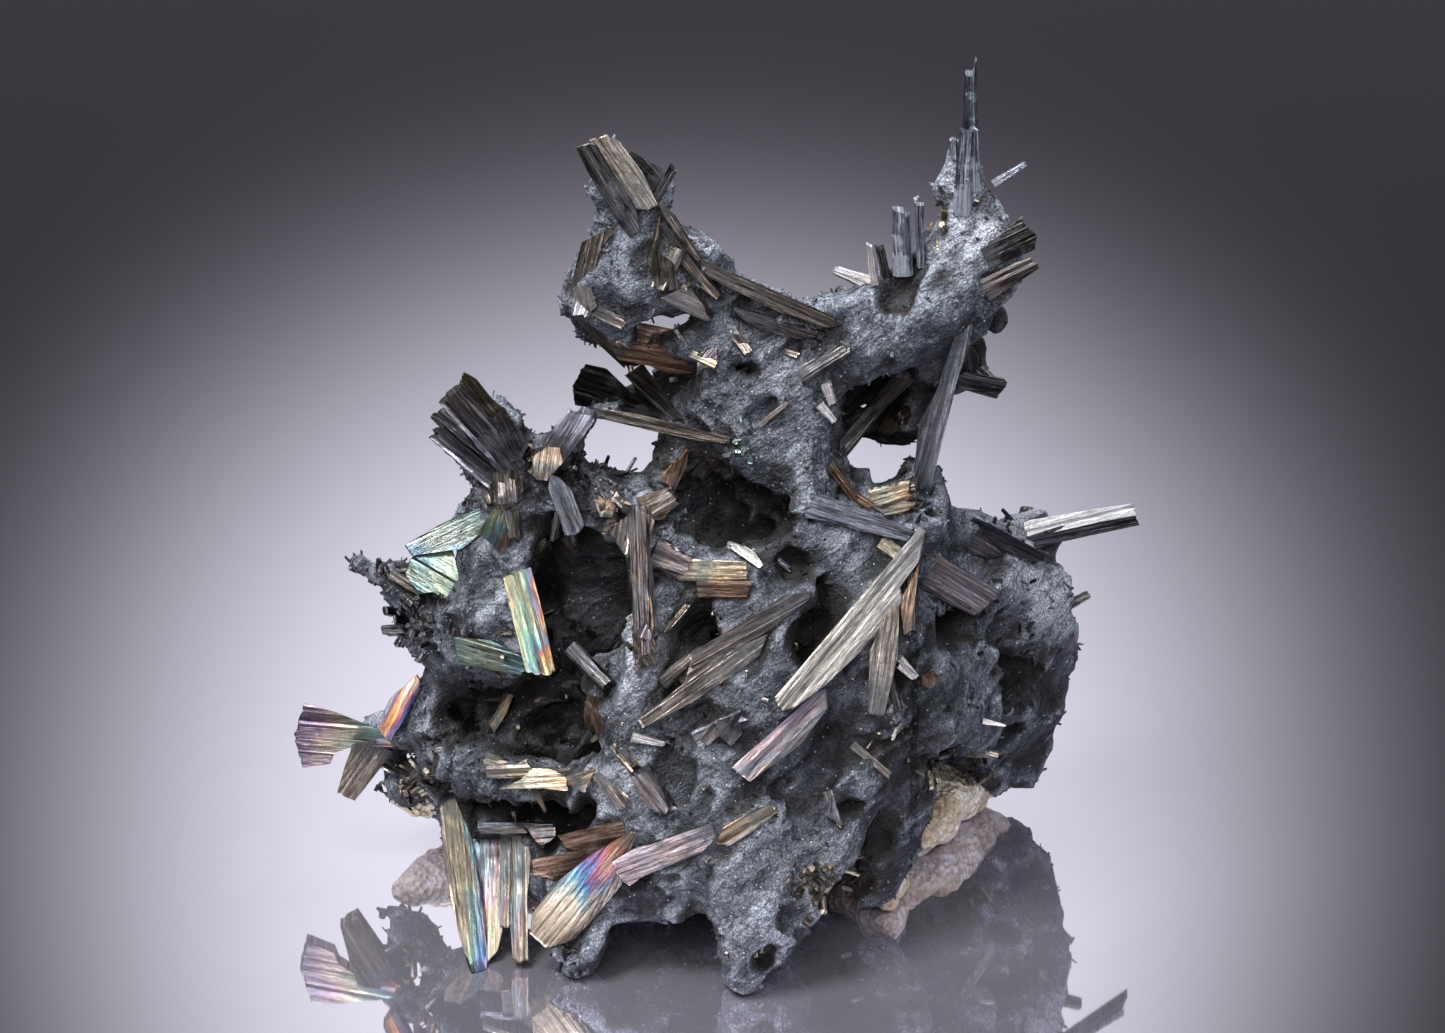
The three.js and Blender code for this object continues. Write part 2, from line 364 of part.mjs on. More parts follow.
    [[65.0, 59.2, 34.0], [57.8, 61.5, 33.0], 1.7, 0.1,
      [[57.2, 61.4], [58.3, 63.7], [60.6, 63.2], [65.6, 58.4], [62.8, 58.6], [57.4, 59.5]]],
  ],
  rear_copper_plate: [
    [[59.4, 67.0, 32.0], [71.6, 64.8, 30.8], 1.0, 0.1,
      [[59.0, 68.8], [62.5, 67.0], [66.0, 66.4], [69.0, 66.4], [71.8, 66.2], [71.7, 63.4], [69.7, 62.7],
      [67.2, 62.4], [63.9, 63.9], [61.8, 64.0]]],
    [[57.2, 69.4, 31.4], [63.4, 63.4, 32.6], 0.9, 0.1,
      [[56.9, 68.9], [57.5, 69.8], [64.0, 63.8], [62.5, 63.1], [59.7, 65.7]]],
  ],
  thin_bridge_blade: [
    [[59.4, 58.8, 27.0], [72.8, 56.0, 23.4], 0.9, 0.1,
      [[59.2, 59.3], [64.0, 58.6], [70.0, 57.0], [73.1, 56.3], [72.9, 55.6], [69.0, 56.0], [64.0, 57.2],
      [59.4, 58.3]]],
  ],
  upper_horn_block: [
    [[99.0, 74.8, 30.4], [103.2, 76.8, 31.5], 2.2, 0.12,
      [[98.0, 75.0], [100.4, 76.8], [102.2, 78.5], [103.7, 76.4], [103.5, 75.0], [100.6, 74.2], [99.0, 73.2]]],
  ],
  lower_horn_block: [
    [[98.0, 71.2, 30.0], [103.4, 73.8, 31.5], 1.9, -0.12,
      [[97.2, 71.6], [100.4, 73.2], [103.2, 74.5], [104.0, 73.2], [101.0, 71.2], [98.6, 69.6], [97.0, 70.0]]],
  ],
};

// Crystals that the matrix has overgrown, and so are part of it.
const OVERGROWN_CRYSTALS = [
  [[65.3, 79.8, 25], [67.5, 83.4, 25], 1.0, 0.9, 0, 1.0],
  [[66.0, 77.8, 24.2], [72.2, 70.0, 25], 1.0, 0.9, 0, 1.0],
  [[73.2, 68.9, 25.6], [82.4, 66.3, 26.6], 1.2, 1.0, 0, 0.9],
  [[80.2, 62.4, 24.2], [84.9, 65.4, 25], 1.5, 1.4, 0, 1.0],
  [[90.6, 63.0, 34], [83.6, 54.2, 29], 1.5, 1.0, 0, 1.0],
  [[88.0, 70.6, 33], [83.3, 73.1, 34], 1.0, 0.9, 0, 0.7],
  [[87.4, 70.8, 33], [87.0, 75.5, 34], 1.0, 0.9, 0, 0.8],
  [[90.3, 72.6, 31], [90.1, 79.1, 31], 1.9, 1.5, 0, 0.9],
  [[92.2, 73.4, 31.4], [91.9, 80.2, 31.4], 1.0, 0.9, 0, 0.9],
  [[99.4, 81.6, 33.4], [102.6, 83.7, 33.4], 0.9, 0.8, 0, 0.6],
  [[57.2, 35.2, 17], [61.0, 31.2, 12.4], 1.6, 1.2, 0, 1.0],
  [[58.6, 21.8, 14], [62.6, 19.4, 10.2], 1.5, 1.1, 0, 1.0],
  [[64.0, 23.2, 9.4], [66.6, 19.0, 8.0], 2.2, 1.2, 0, 1.0],
  [[87.2, 36.6, 18], [89.4, 28.4, 14.6], 2.0, 1.2, 20, 1.0],
  [[91.2, 42.8, 22], [91.0, 36.4, 19], 1.1, 1.0, 0, 1.0],
  [[86.8, 49.6, 27], [91.8, 51.2, 27.6], 2.2, 1.1, 0, 1.0],
  [[105.0, 38.6, 45], [109.0, 40.6, 46], 1.4, 1.2, 0, 0.6],
  // On the back.
  [[62.0, 40.0, 45], [55.0, 43.0, 54], 2.4, 1.4, 90, 1.1],
  [[74.0, 38.0, 48], [67.0, 44.0, 57], 2.8, 1.5, 80, 1.0],
  [[84.0, 38.0, 48], [90.0, 44.0, 57], 2.6, 1.5, 100, 1.0],
  [[78.0, 44.0, 36], [76.0, 56.0, 48], 2.4, 1.4, 80, 0.9],
  [[70.0, 28.0, 42], [60.0, 30.0, 53], 2.2, 1.3, 90, 1.2],
  [[101.0, 40.0, 49], [103.0, 49.0, 57], 2.4, 1.6, 60, 1.0],
  [[56.0, 30.0, 38], [48.0, 34.0, 46], 2.2, 1.2, 100, 1.2],
  [[88.0, 67.0, 36], [84.0, 71.0, 43], 1.6, 1.2, 90, 1.0],
];

// The branches, taken off the matrix in this order by a box from its low corner to its high corner.
// What is left is the main body.
const BRANCHES = {
  left_horn: [[-30, -40, 60.5], [1.5, 40, 99]],
  right_horn: [[9.6, -40, 46.8], [50, 40, 99]],
  saddle: [[-9.2, -40, 45.4], [9.3, 40, 99]],
  left_cluster: [[-40, -40, 45.2], [-9.5, 40, 60.2]],
  left_branch: [[-50, -40, 0.1], [-24.6, 40, 60]],
  right_mass: [[19.4, -40, 0.1], [50, 40, 46.5]],
};

const finish = (color, roughness, metalness) =>
  new THREE.MeshStandardMaterial({ color, roughness, metalness });
const SOOTY_MATRIX = finish("#545b66", 0.9, 0.1);
const DYSCRASITE = finish("#8a837a", 0.35, 0.85);
const TARNISHED = finish("#8f8aa0", 0.3, 0.85);
const COPPERY = finish("#8a6240", 0.4, 0.8);
const CALCITE = finish("#d8d0c2", 0.6, 0.0);
const CRYSTAL_FINISHES = {
  left_long_blade: TARNISHED,
  turquoise_plate: TARNISHED,
  left_upper_blade: TARNISHED,
  bottom_left_blades: TARNISHED,
  iridescent_blade: TARNISHED,
  left_fan_blades: TARNISHED,
  foot_fan: TARNISHED,
  rolled_foot_blade: TARNISHED,
  rear_copper_plate: COPPERY,
  copper_foot_blades: COPPERY,
  copper_prism: COPPERY,
};

// The point of the specimen's frame that is seen at (across, up) and lies at that depth.
function place([across, up, depth]) {
  const side = across - VIEW_MIDDLE[0];
  const lift = up - VIEW_MIDDLE[1];
  const share = (depth - MIDDLE_DEPTH - EYE.y) / (VIEW_DISTANCE * SIGHT.y + lift * RISE.y);
  return EYE.clone()
    .addScaledVector(SIGHT, VIEW_DISTANCE * share)
    .addScaledVector(ACROSS, side * share)
    .addScaledVector(RISE, lift * share);
}

// Distance to a capsule whose radius changes evenly from one end to the other.
function limbDistance(point, limb) {
  const offset = point.clone().sub(limb.start);
  const along = THREE.MathUtils.clamp(offset.dot(limb.span) / limb.span.lengthSq(), 0, 1);
  const gap = offset.addScaledVector(limb.span, -along).length();
  return gap - THREE.MathUtils.lerp(limb.startRadius, limb.endRadius, along);
}

// Distance to a triangular sheet with rounded rims.
function webDistance(point, web) {
  const nearest = web.triangle.closestPointToPoint(point, new THREE.Vector3());
  return nearest.distanceTo(point) - web.radius;
}

// Distance to an egg-shaped hollow, positive outside.
function hollowDistance(point, hollow) {
  const offset = point.clone().sub(hollow.centre);
  const [x, up, along] = [offset.x, offset.dot(RISE), offset.dot(SIGHT)];
  const [a, b, c] = hollow.half;
  return (Math.hypot(x / a, up / b, along / c) - 1) * Math.min(a, b, c);
}

// The smaller of two distances, rounded where they are alike.
function softMin(first, second, blend) {
  const share = THREE.MathUtils.clamp(0.5 + (0.5 * (second - first)) / blend, 0, 1);
  return THREE.MathUtils.lerp(second, first, share) - blend * share * (1 - share);
}

// Splits a chain of [.., radius] entries into capsules between neighbours.
function capsules(chain, toPoint) {
  return chain.slice(1).map((next, i) => {
    const start = toPoint(chain[i]);
    const end = toPoint(next);
    return {
      start,
      span: end.clone().sub(start),
      startRadius: chain[i][3],
      endRadius: next[3],
      reach: new THREE.Box3().setFromPoints([start, end]).expandByScalar(REACH),
      distance: limbDistance,
    };
  });
}

function webForm([a, b, c, radius]) {
  const corners = [place(a), place(b), place(c)];
  return {
    triangle: new THREE.Triangle(...corners),
    radius,
    reach: new THREE.Box3().setFromPoints(corners).expandByScalar(REACH),
    distance: webDistance,
  };
}

const matrixForms = [...LIMBS.flatMap((chain) => capsules(chain, place)), ...WEBS.map(webForm)];
const hollows = HOLLOWS.map(({ middle, half }) => ({ centre: place(middle), half }));
const calciteForms = CALCITE_LUMPS.flatMap((chain) =>
  capsules(chain, ([across, depth, height]) =>
    new THREE.Vector3(across - VIEW_MIDDLE[0] + MIDDLE.x, depth - MIDDLE_DEPTH, height)));

function blended(point, forms) {
  let distance = FAR;
  for (const form of forms) {
    if (form.reach.containsPoint(point))
      distance = softMin(distance, form.distance(point, form), LIMB_BLEND);
  }
  return distance;
}

// Signed distance to the matrix, cut off flat at the bottom.
function matrixField(point) {
  let distance = blended(point, matrixForms);
  for (const hollow of hollows)
    distance = -softMin(-distance, hollowDistance(point, hollow), HOLLOW_BLEND);
  return Math.max(distance, -point.z);
}

const calciteField = (point) => Math.max(blended(point, calciteForms), -point.z);

// Faceted surface of a field: one corner in each cell that the surface crosses, one quad round each
// grid edge that it crosses. Cells where it would touch itself are filled first.
function facetedSurface(field) {
  const counts = LOW.map((low, i) => Math.ceil((HIGH[i] - low) / CELL) + 1);
  const [nx, ny, nz] = counts;
  const at = (i, j, k) => (i * ny + j) * nz + k;
  const grid = new Float64Array(nx * ny * nz);
  const point = new THREE.Vector3();
  forEachNode(counts, (i, j, k) => {
    point.set(LOW[0] + i * CELL, LOW[1] + j * CELL, LOW[2] + k * CELL);
    const value = field(point);
    grid[at(i, j, k)] = Math.abs(value) < NEAR_ZERO ? NEAR_ZERO : value;
  });
  fillTouchingCells(grid, counts, at);

  const corners = [];
  const cornerOf = new Map();
  forEachNode(counts.map((n) => n - 1), (i, j, k) => {
    const sum = new THREE.Vector3();
    let crossings = 0;
    for (const [from, to] of CELL_EDGES) {
      const a = grid[at(i + from[0], j + from[1], k + from[2])];
      const b = grid[at(i + to[0], j + to[1], k + to[2])];
      if (a < 0 === b < 0) continue;
      const share = a / (a - b);
      sum.x += i + from[0] + share * (to[0] - from[0]);
      sum.y += j + from[1] + share * (to[1] - from[1]);
      sum.z += k + from[2] + share * (to[2] - from[2]);
      crossings += 1;
    }
    if (!crossings) return;
    sum.divideScalar(crossings).multiplyScalar(CELL);
    cornerOf.set(at(i, j, k), corners.length / 3);
    corners.push(LOW[0] + sum.x, LOW[1] + sum.y, LOW[2] + sum.z);
  });

  const triangles = [];
  forEachNode(counts.map((n) => n - 1), (i, j, k) => {
    const here = grid[at(i, j, k)];
    const node = [i, j, k];
    AXES.forEach((axis, a) => {
      const [b, c] = [(a + 1) % 3, (a + 2) % 3];
      if (node[b] === 0 || node[c] === 0) return;
      const next = grid[at(i + axis[0], j + axis[1], k + axis[2])];
      if (here < 0 === next < 0) return;
      const ring = [[0, 0], [-1, 0], [-1, -1], [0, -1]].map(([db, dc]) => {
        const cell = [...node];
        cell[b] += db;
        cell[c] += dc;
        return cornerOf.get(at(...cell));
      });
      if (here > 0) ring.reverse();
      triangles.push(ring[0], ring[1], ring[2], ring[0], ring[2], ring[3]);
    });
  });
  return { corners: new Float32Array(corners), triangles: new Uint32Array(triangles) };
}

function forEachNode([nx, ny, nz], visit) {
  for (let i = 0; i < nx; i++)
    for (let j = 0; j < ny; j++)
      for (let k = 0; k < nz; k++) visit(i, j, k);
}

// Fills grid points until no cell face is inside at two opposite corners only, and no cell is inside or
// outside at two opposite corners only, so that every edge of the surface has exactly two faces.
function fillTouchingCells(grid, counts, at) {
  let changed = true;
  const fill = (index) => {
    grid[index] = FILLED;
    changed = true;
  };
  while (changed) {
    changed = false;
    forEachNode(counts.map((n) => n - 1), (i, j, k) => {
      for (let a = 0; a < AXES.length; a++) {
        const [b, c] = [AXES[(a + 1) % 3], AXES[(a + 2) % 3]];
        const p = at(i, j, k);
        const q = at(i + b[0] + c[0], j + b[1] + c[1], k + b[2] + c[2]);
        const r = at(i + b[0], j + b[1], k + b[2]);
        const s = at(i + c[0], j + c[1], k + c[2]);
        const [inP, inQ, inR, inS] = [p, q, r, s].map((index) => grid[index] < 0);
        if (inP && inQ && !inR && !inS) fill(r);
        if (!inP && !inQ && inR && inS) fill(p);
      }
      const indices = CELL_CORNERS.map(([x, y, z]) => at(i + x, j + y, k + z));
      const inside = indices.filter((index) => grid[index] < 0);
      const opposite = (list) =>
        list.length === 2 && indices.indexOf(list[0]) + indices.indexOf(list[1]) === 7;
      const outside = indices.filter((index) => grid[index] >= 0);
      if (opposite(inside)) fill(indices.find((index) => grid[index] >= 0));
      if (opposite(outside)) fill(outside[0]);
    });
  }
}

const solidFrom = (corners, triangles) =>
  new wasm.Manifold(new wasm.Mesh({ numProp: 3, vertProperties: corners, triVerts: triangles }));

// The same surface moved outwards along its corners' normals.
function grownSurface({ corners, triangles }, distance) {
  const geometry = new THREE.BufferGeometry()
    .setAttribute("position", new THREE.BufferAttribute(corners, 3))
    .setIndex(new THREE.BufferAttribute(triangles, 1));
  geometry.computeVertexNormals();
  const normals = geometry.attributes.normal.array;
  return { corners: corners.map((value, i) => value + distance * normals[i]), triangles };
}

// A solid from one of three.js's closed geometries.
function solidOf(geometry) {
  const bare = geometry.clone();
  for (const name of Object.keys(bare.attributes)) if (name !== "position") bare.deleteAttribute(name);
  const merged = mergeVertices(bare);
  return solidFrom(merged.attributes.position.array, new Uint32Array(merged.index.array));
}

function boxBetween(low, high, growth) {
  const [a, b] = [new THREE.Vector3(...low), new THREE.Vector3(...high)];
  const size = b.clone().sub(a).addScalar(2 * growth);
  const middle = a.add(b).multiplyScalar(0.5);
  return solidOf(new THREE.BoxGeometry(...size).translate(...middle));
}

// A crystal: a six-sided lath from root to tip, flared or tapered, with a slanted end.
function crystalSolid([root, tip, width, thickness, roll, flare], growth = 0) {
  const start = place(root);
  const along = place(tip).sub(start);
  const length = along.length() + 2 * growth;
  along.normalize();
  const facing = SIGHT.clone().negate();
  facing.addScaledVector(along, -facing.dot(along)).normalize();
  facing.applyAxisAngle(along, THREE.MathUtils.degToRad(roll));
  const across = new THREE.Vector3().crossVectors(facing, along);
  const [w, t] = [width + 2 * growth, thickness + 2 * growth];
  const outline = LATH_OUTLINE.map(([x, y]) => new THREE.Vector2(x * w, y * t));
  const geometry = new THREE.ExtrudeGeometry(new THREE.Shape(outline), {
    depth: length,
    bevelEnabled: false,
  });
  const position = geometry.attributes.position;
  for (let i = 0; i < position.count; i++) {
    const share = position.getZ(i) / length;
    const x = position.getX(i) * THREE.MathUtils.lerp(1, flare, share);
    position.setXYZ(i, x, position.getY(i), position.getZ(i) + END_SKEW * x * share);
  }
  const frame = new THREE.Matrix4().makeBasis(across, facing, along);
  frame.setPosition(start.addScaledVector(along, -growth));
  return solidOf(geometry.applyMatrix4(frame));
}

// The outline moved outwards by growth: each corner along the mean of the normals of its two sides.
function grownOutline(outline, growth) {
  const corners = outline.map(([across, up]) => new THREE.Vector2(across, up));
  if (THREE.ShapeUtils.isClockWise(corners)) corners.reverse();
  const normals = corners.map((corner, i) => {
    const side = corners[(i + 1) % corners.length].clone().sub(corner).normalize();
    return new THREE.Vector2(side.y, -side.x);
  });
  return corners.map((corner, i) => {
    const mean = normals[i].clone().add(normals.at(i - 1)).multiplyScalar(0.5);
    return corner.clone().addScaledVector(mean, growth / Math.max(mean.lengthSq(), LEAST_MITRE));
  });
}

// A plate: its outline at the depth of each corner, carried back along the line of sight by its thickness.
function plateSolid([root, tip, thickness, slope, outline], growth = 0) {
  const foot = new THREE.Vector2(root[0], root[1]);
  const along = new THREE.Vector2(tip[0], tip[1]).sub(foot);
  const length = along.length();
  along.normalize();
  const corners = grownOutline(outline, growth);
  const front = corners.map((corner) => {
    const offset = corner.clone().sub(foot);
    const left = along.cross(offset);
    const share = along.dot(offset) / length;
    const depth = THREE.MathUtils.lerp(root[2], tip[2], share) + slope * left;
    return place([corner.x, corner.y, depth]).addScaledVector(SIGHT, -growth);
  });
  const back = front.map((corner) => corner.clone().addScaledVector(SIGHT, thickness + 2 * growth));
  const count = corners.length;
  const faces = THREE.ShapeUtils.triangulateShape(corners, []);
  const triangles = faces.flatMap(([a, b, c]) => [a, b, c, c + count, b + count, a + count]);
  corners.forEach((_, i) => {
    const next = (i + 1) % count;
    triangles.push(i, i + count, next + count, i, next + count, next);
  });
  const positions = [...front, ...back].flatMap((corner) => corner.toArray());
  return solidFrom(new Float32Array(positions), new Uint32Array(triangles));
}

const union = (solids) => solids.reduce((whole, solid) => whole.add(solid));
const largest = (solid) =>
  solid.decompose().reduce((best, body) => (body.volume() > best.volume() ? body : best));

function meshOf(name, solid, material) {
  const { vertProperties, triVerts } = solid.getMesh();
  const geometry = new THREE.BufferGeometry()
    .setAttribute("position", new THREE.BufferAttribute(vertProperties, 3))
    .setIndex(new THREE.BufferAttribute(triVerts, 1));
  geometry.computeVertexNormals();
  const mesh = new THREE.Mesh(geometry, material);
  mesh.name = name;
  return mesh;
}

const specimen = new THREE.Group();
const floorCutter = boxBetween([-99, -99, -30], [99, 99, 0], 0);

// The matrix with its overgrown crystals, and the same grown by the seat gap.
const matrixSurface = facetedSurface(matrixField);
const grown = grownSurface(matrixSurface, SEAT_GAP);
const matrix = union([
  solidFrom(matrixSurface.corners, matrixSurface.triangles),
  ...OVERGROWN_CRYSTALS.map((crystal) => crystalSolid(crystal)),
]).subtract(floorCutter);
let taken = union([
  solidFrom(grown.corners, grown.triangles),
  ...OVERGROWN_CRYSTALS.map((crystal) => crystalSolid(crystal, SEAT_GAP)),
]);

let rest = matrix;
for (const [name, [low, high]] of Object.entries(BRANCHES)) {
  const branch = largest(rest.intersect(boxBetween(low, high, 0)));
  specimen.add(meshOf(name, branch, SOOTY_MATRIX));
  rest = rest.subtract(boxBetween(low, high, FORK_GAP));
}
specimen.add(meshOf("main_body", largest(rest), SOOTY_MATRIX));

const crystalsOf = (name, growth) => [
  ...(FREE_CRYSTALS[name] ?? []).map((crystal) => crystalSolid(crystal, growth)),
  ...(PLATES[name] ?? []).map((plate) => plateSolid(plate, growth)),
];

// Free crystals, each cut back from the matrix and from the crystals placed before it.
for (const name of [...Object.keys(FREE_CRYSTALS), ...Object.keys(PLATES)]) {
  const free = largest(union(crystalsOf(name, 0)).subtract(taken).subtract(floorCutter));
  specimen.add(meshOf(name, free, CRYSTAL_FINISHES[name] ?? DYSCRASITE));
  taken = taken.add(union(crystalsOf(name, SEAT_GAP)));
}

const calciteSurface = facetedSurface(calciteField);
const calcite = solidFrom(calciteSurface.corners, calciteSurface.triangles);
specimen.add(meshOf("calcite_base", largest(calcite.subtract(taken).subtract(floorCutter)), CALCITE));

export default specimen;
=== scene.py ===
"""A dyscrasite specimen dressed for the camera: sooty skeletal matrix, striated blades, cream calcite.

Lengths are in millimetres in the frame's axes, unless a comment says metres. Most places are given as they
show from the front: [across, up] on the plane through MIDDLE that faces the eye, and a depth.
"""
from functools import partial

import bpy
import numpy as np
from mathutils import Matrix, Vector


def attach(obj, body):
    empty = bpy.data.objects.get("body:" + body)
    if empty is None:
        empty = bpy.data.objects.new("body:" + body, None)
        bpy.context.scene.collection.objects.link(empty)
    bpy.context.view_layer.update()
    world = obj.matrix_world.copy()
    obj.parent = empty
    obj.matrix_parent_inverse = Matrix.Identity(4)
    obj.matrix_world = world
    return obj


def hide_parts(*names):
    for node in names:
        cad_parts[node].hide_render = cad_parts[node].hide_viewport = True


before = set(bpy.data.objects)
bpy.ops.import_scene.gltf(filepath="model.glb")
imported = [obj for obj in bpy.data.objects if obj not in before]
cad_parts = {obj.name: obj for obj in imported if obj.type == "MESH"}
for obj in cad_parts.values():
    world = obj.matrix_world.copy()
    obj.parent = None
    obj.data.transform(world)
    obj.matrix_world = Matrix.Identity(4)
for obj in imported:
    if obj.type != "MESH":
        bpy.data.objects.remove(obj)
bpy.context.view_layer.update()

# ---------------------------------------------------------------- driving dimensions, in millimetres
MM = 0.001  # a millimetre in the scene's metres
VIEW_TILT = np.radians(26.0)  # how far the line of sight looks down
VIEW_DISTANCE = 800.0  # from the eye to MIDDLE
VIEW_WIDTH = 144.5  # what the camera takes in, side to side, at MIDDLE
VIEW_MIDDLE = (72.25, 48.35)  # where MIDDLE shows, as [across, up]
MIDDLE = np.array([0.4, 0.0, 40.2])  # the spot of the specimen that the camera looks at
MIDDLE_DEPTH = 31.2  # the depth of the frame's y = 0
SENSOR_WIDTH = 36.0  # of the camera
LIMB_BLEND = 2.4  # how wide the rounded seams between the matrix's forms are
HOLLOW_BLEND = 1.2  # the same for the rims of its hollows
DISH_BLEND = 0.4  # and for the rims of the dishes before its plates
FAR = 60.0  # a distance that means nothing is near
REACH = 12.0  # how far round a form its distance is worked out
TINY = 1e-9  # keeps a division by nothing from failing

ACROSS = np.array([1.0, 0.0, 0.0])
SIGHT = np.array([0.0, np.cos(VIEW_TILT), -np.sin(VIEW_TILT)])
RISE = np.array([0.0, np.sin(VIEW_TILT), np.cos(VIEW_TILT)])
EYE = MIDDLE - VIEW_DISTANCE * SIGHT

# ---------------------------------------------------------------- the specimen's forms

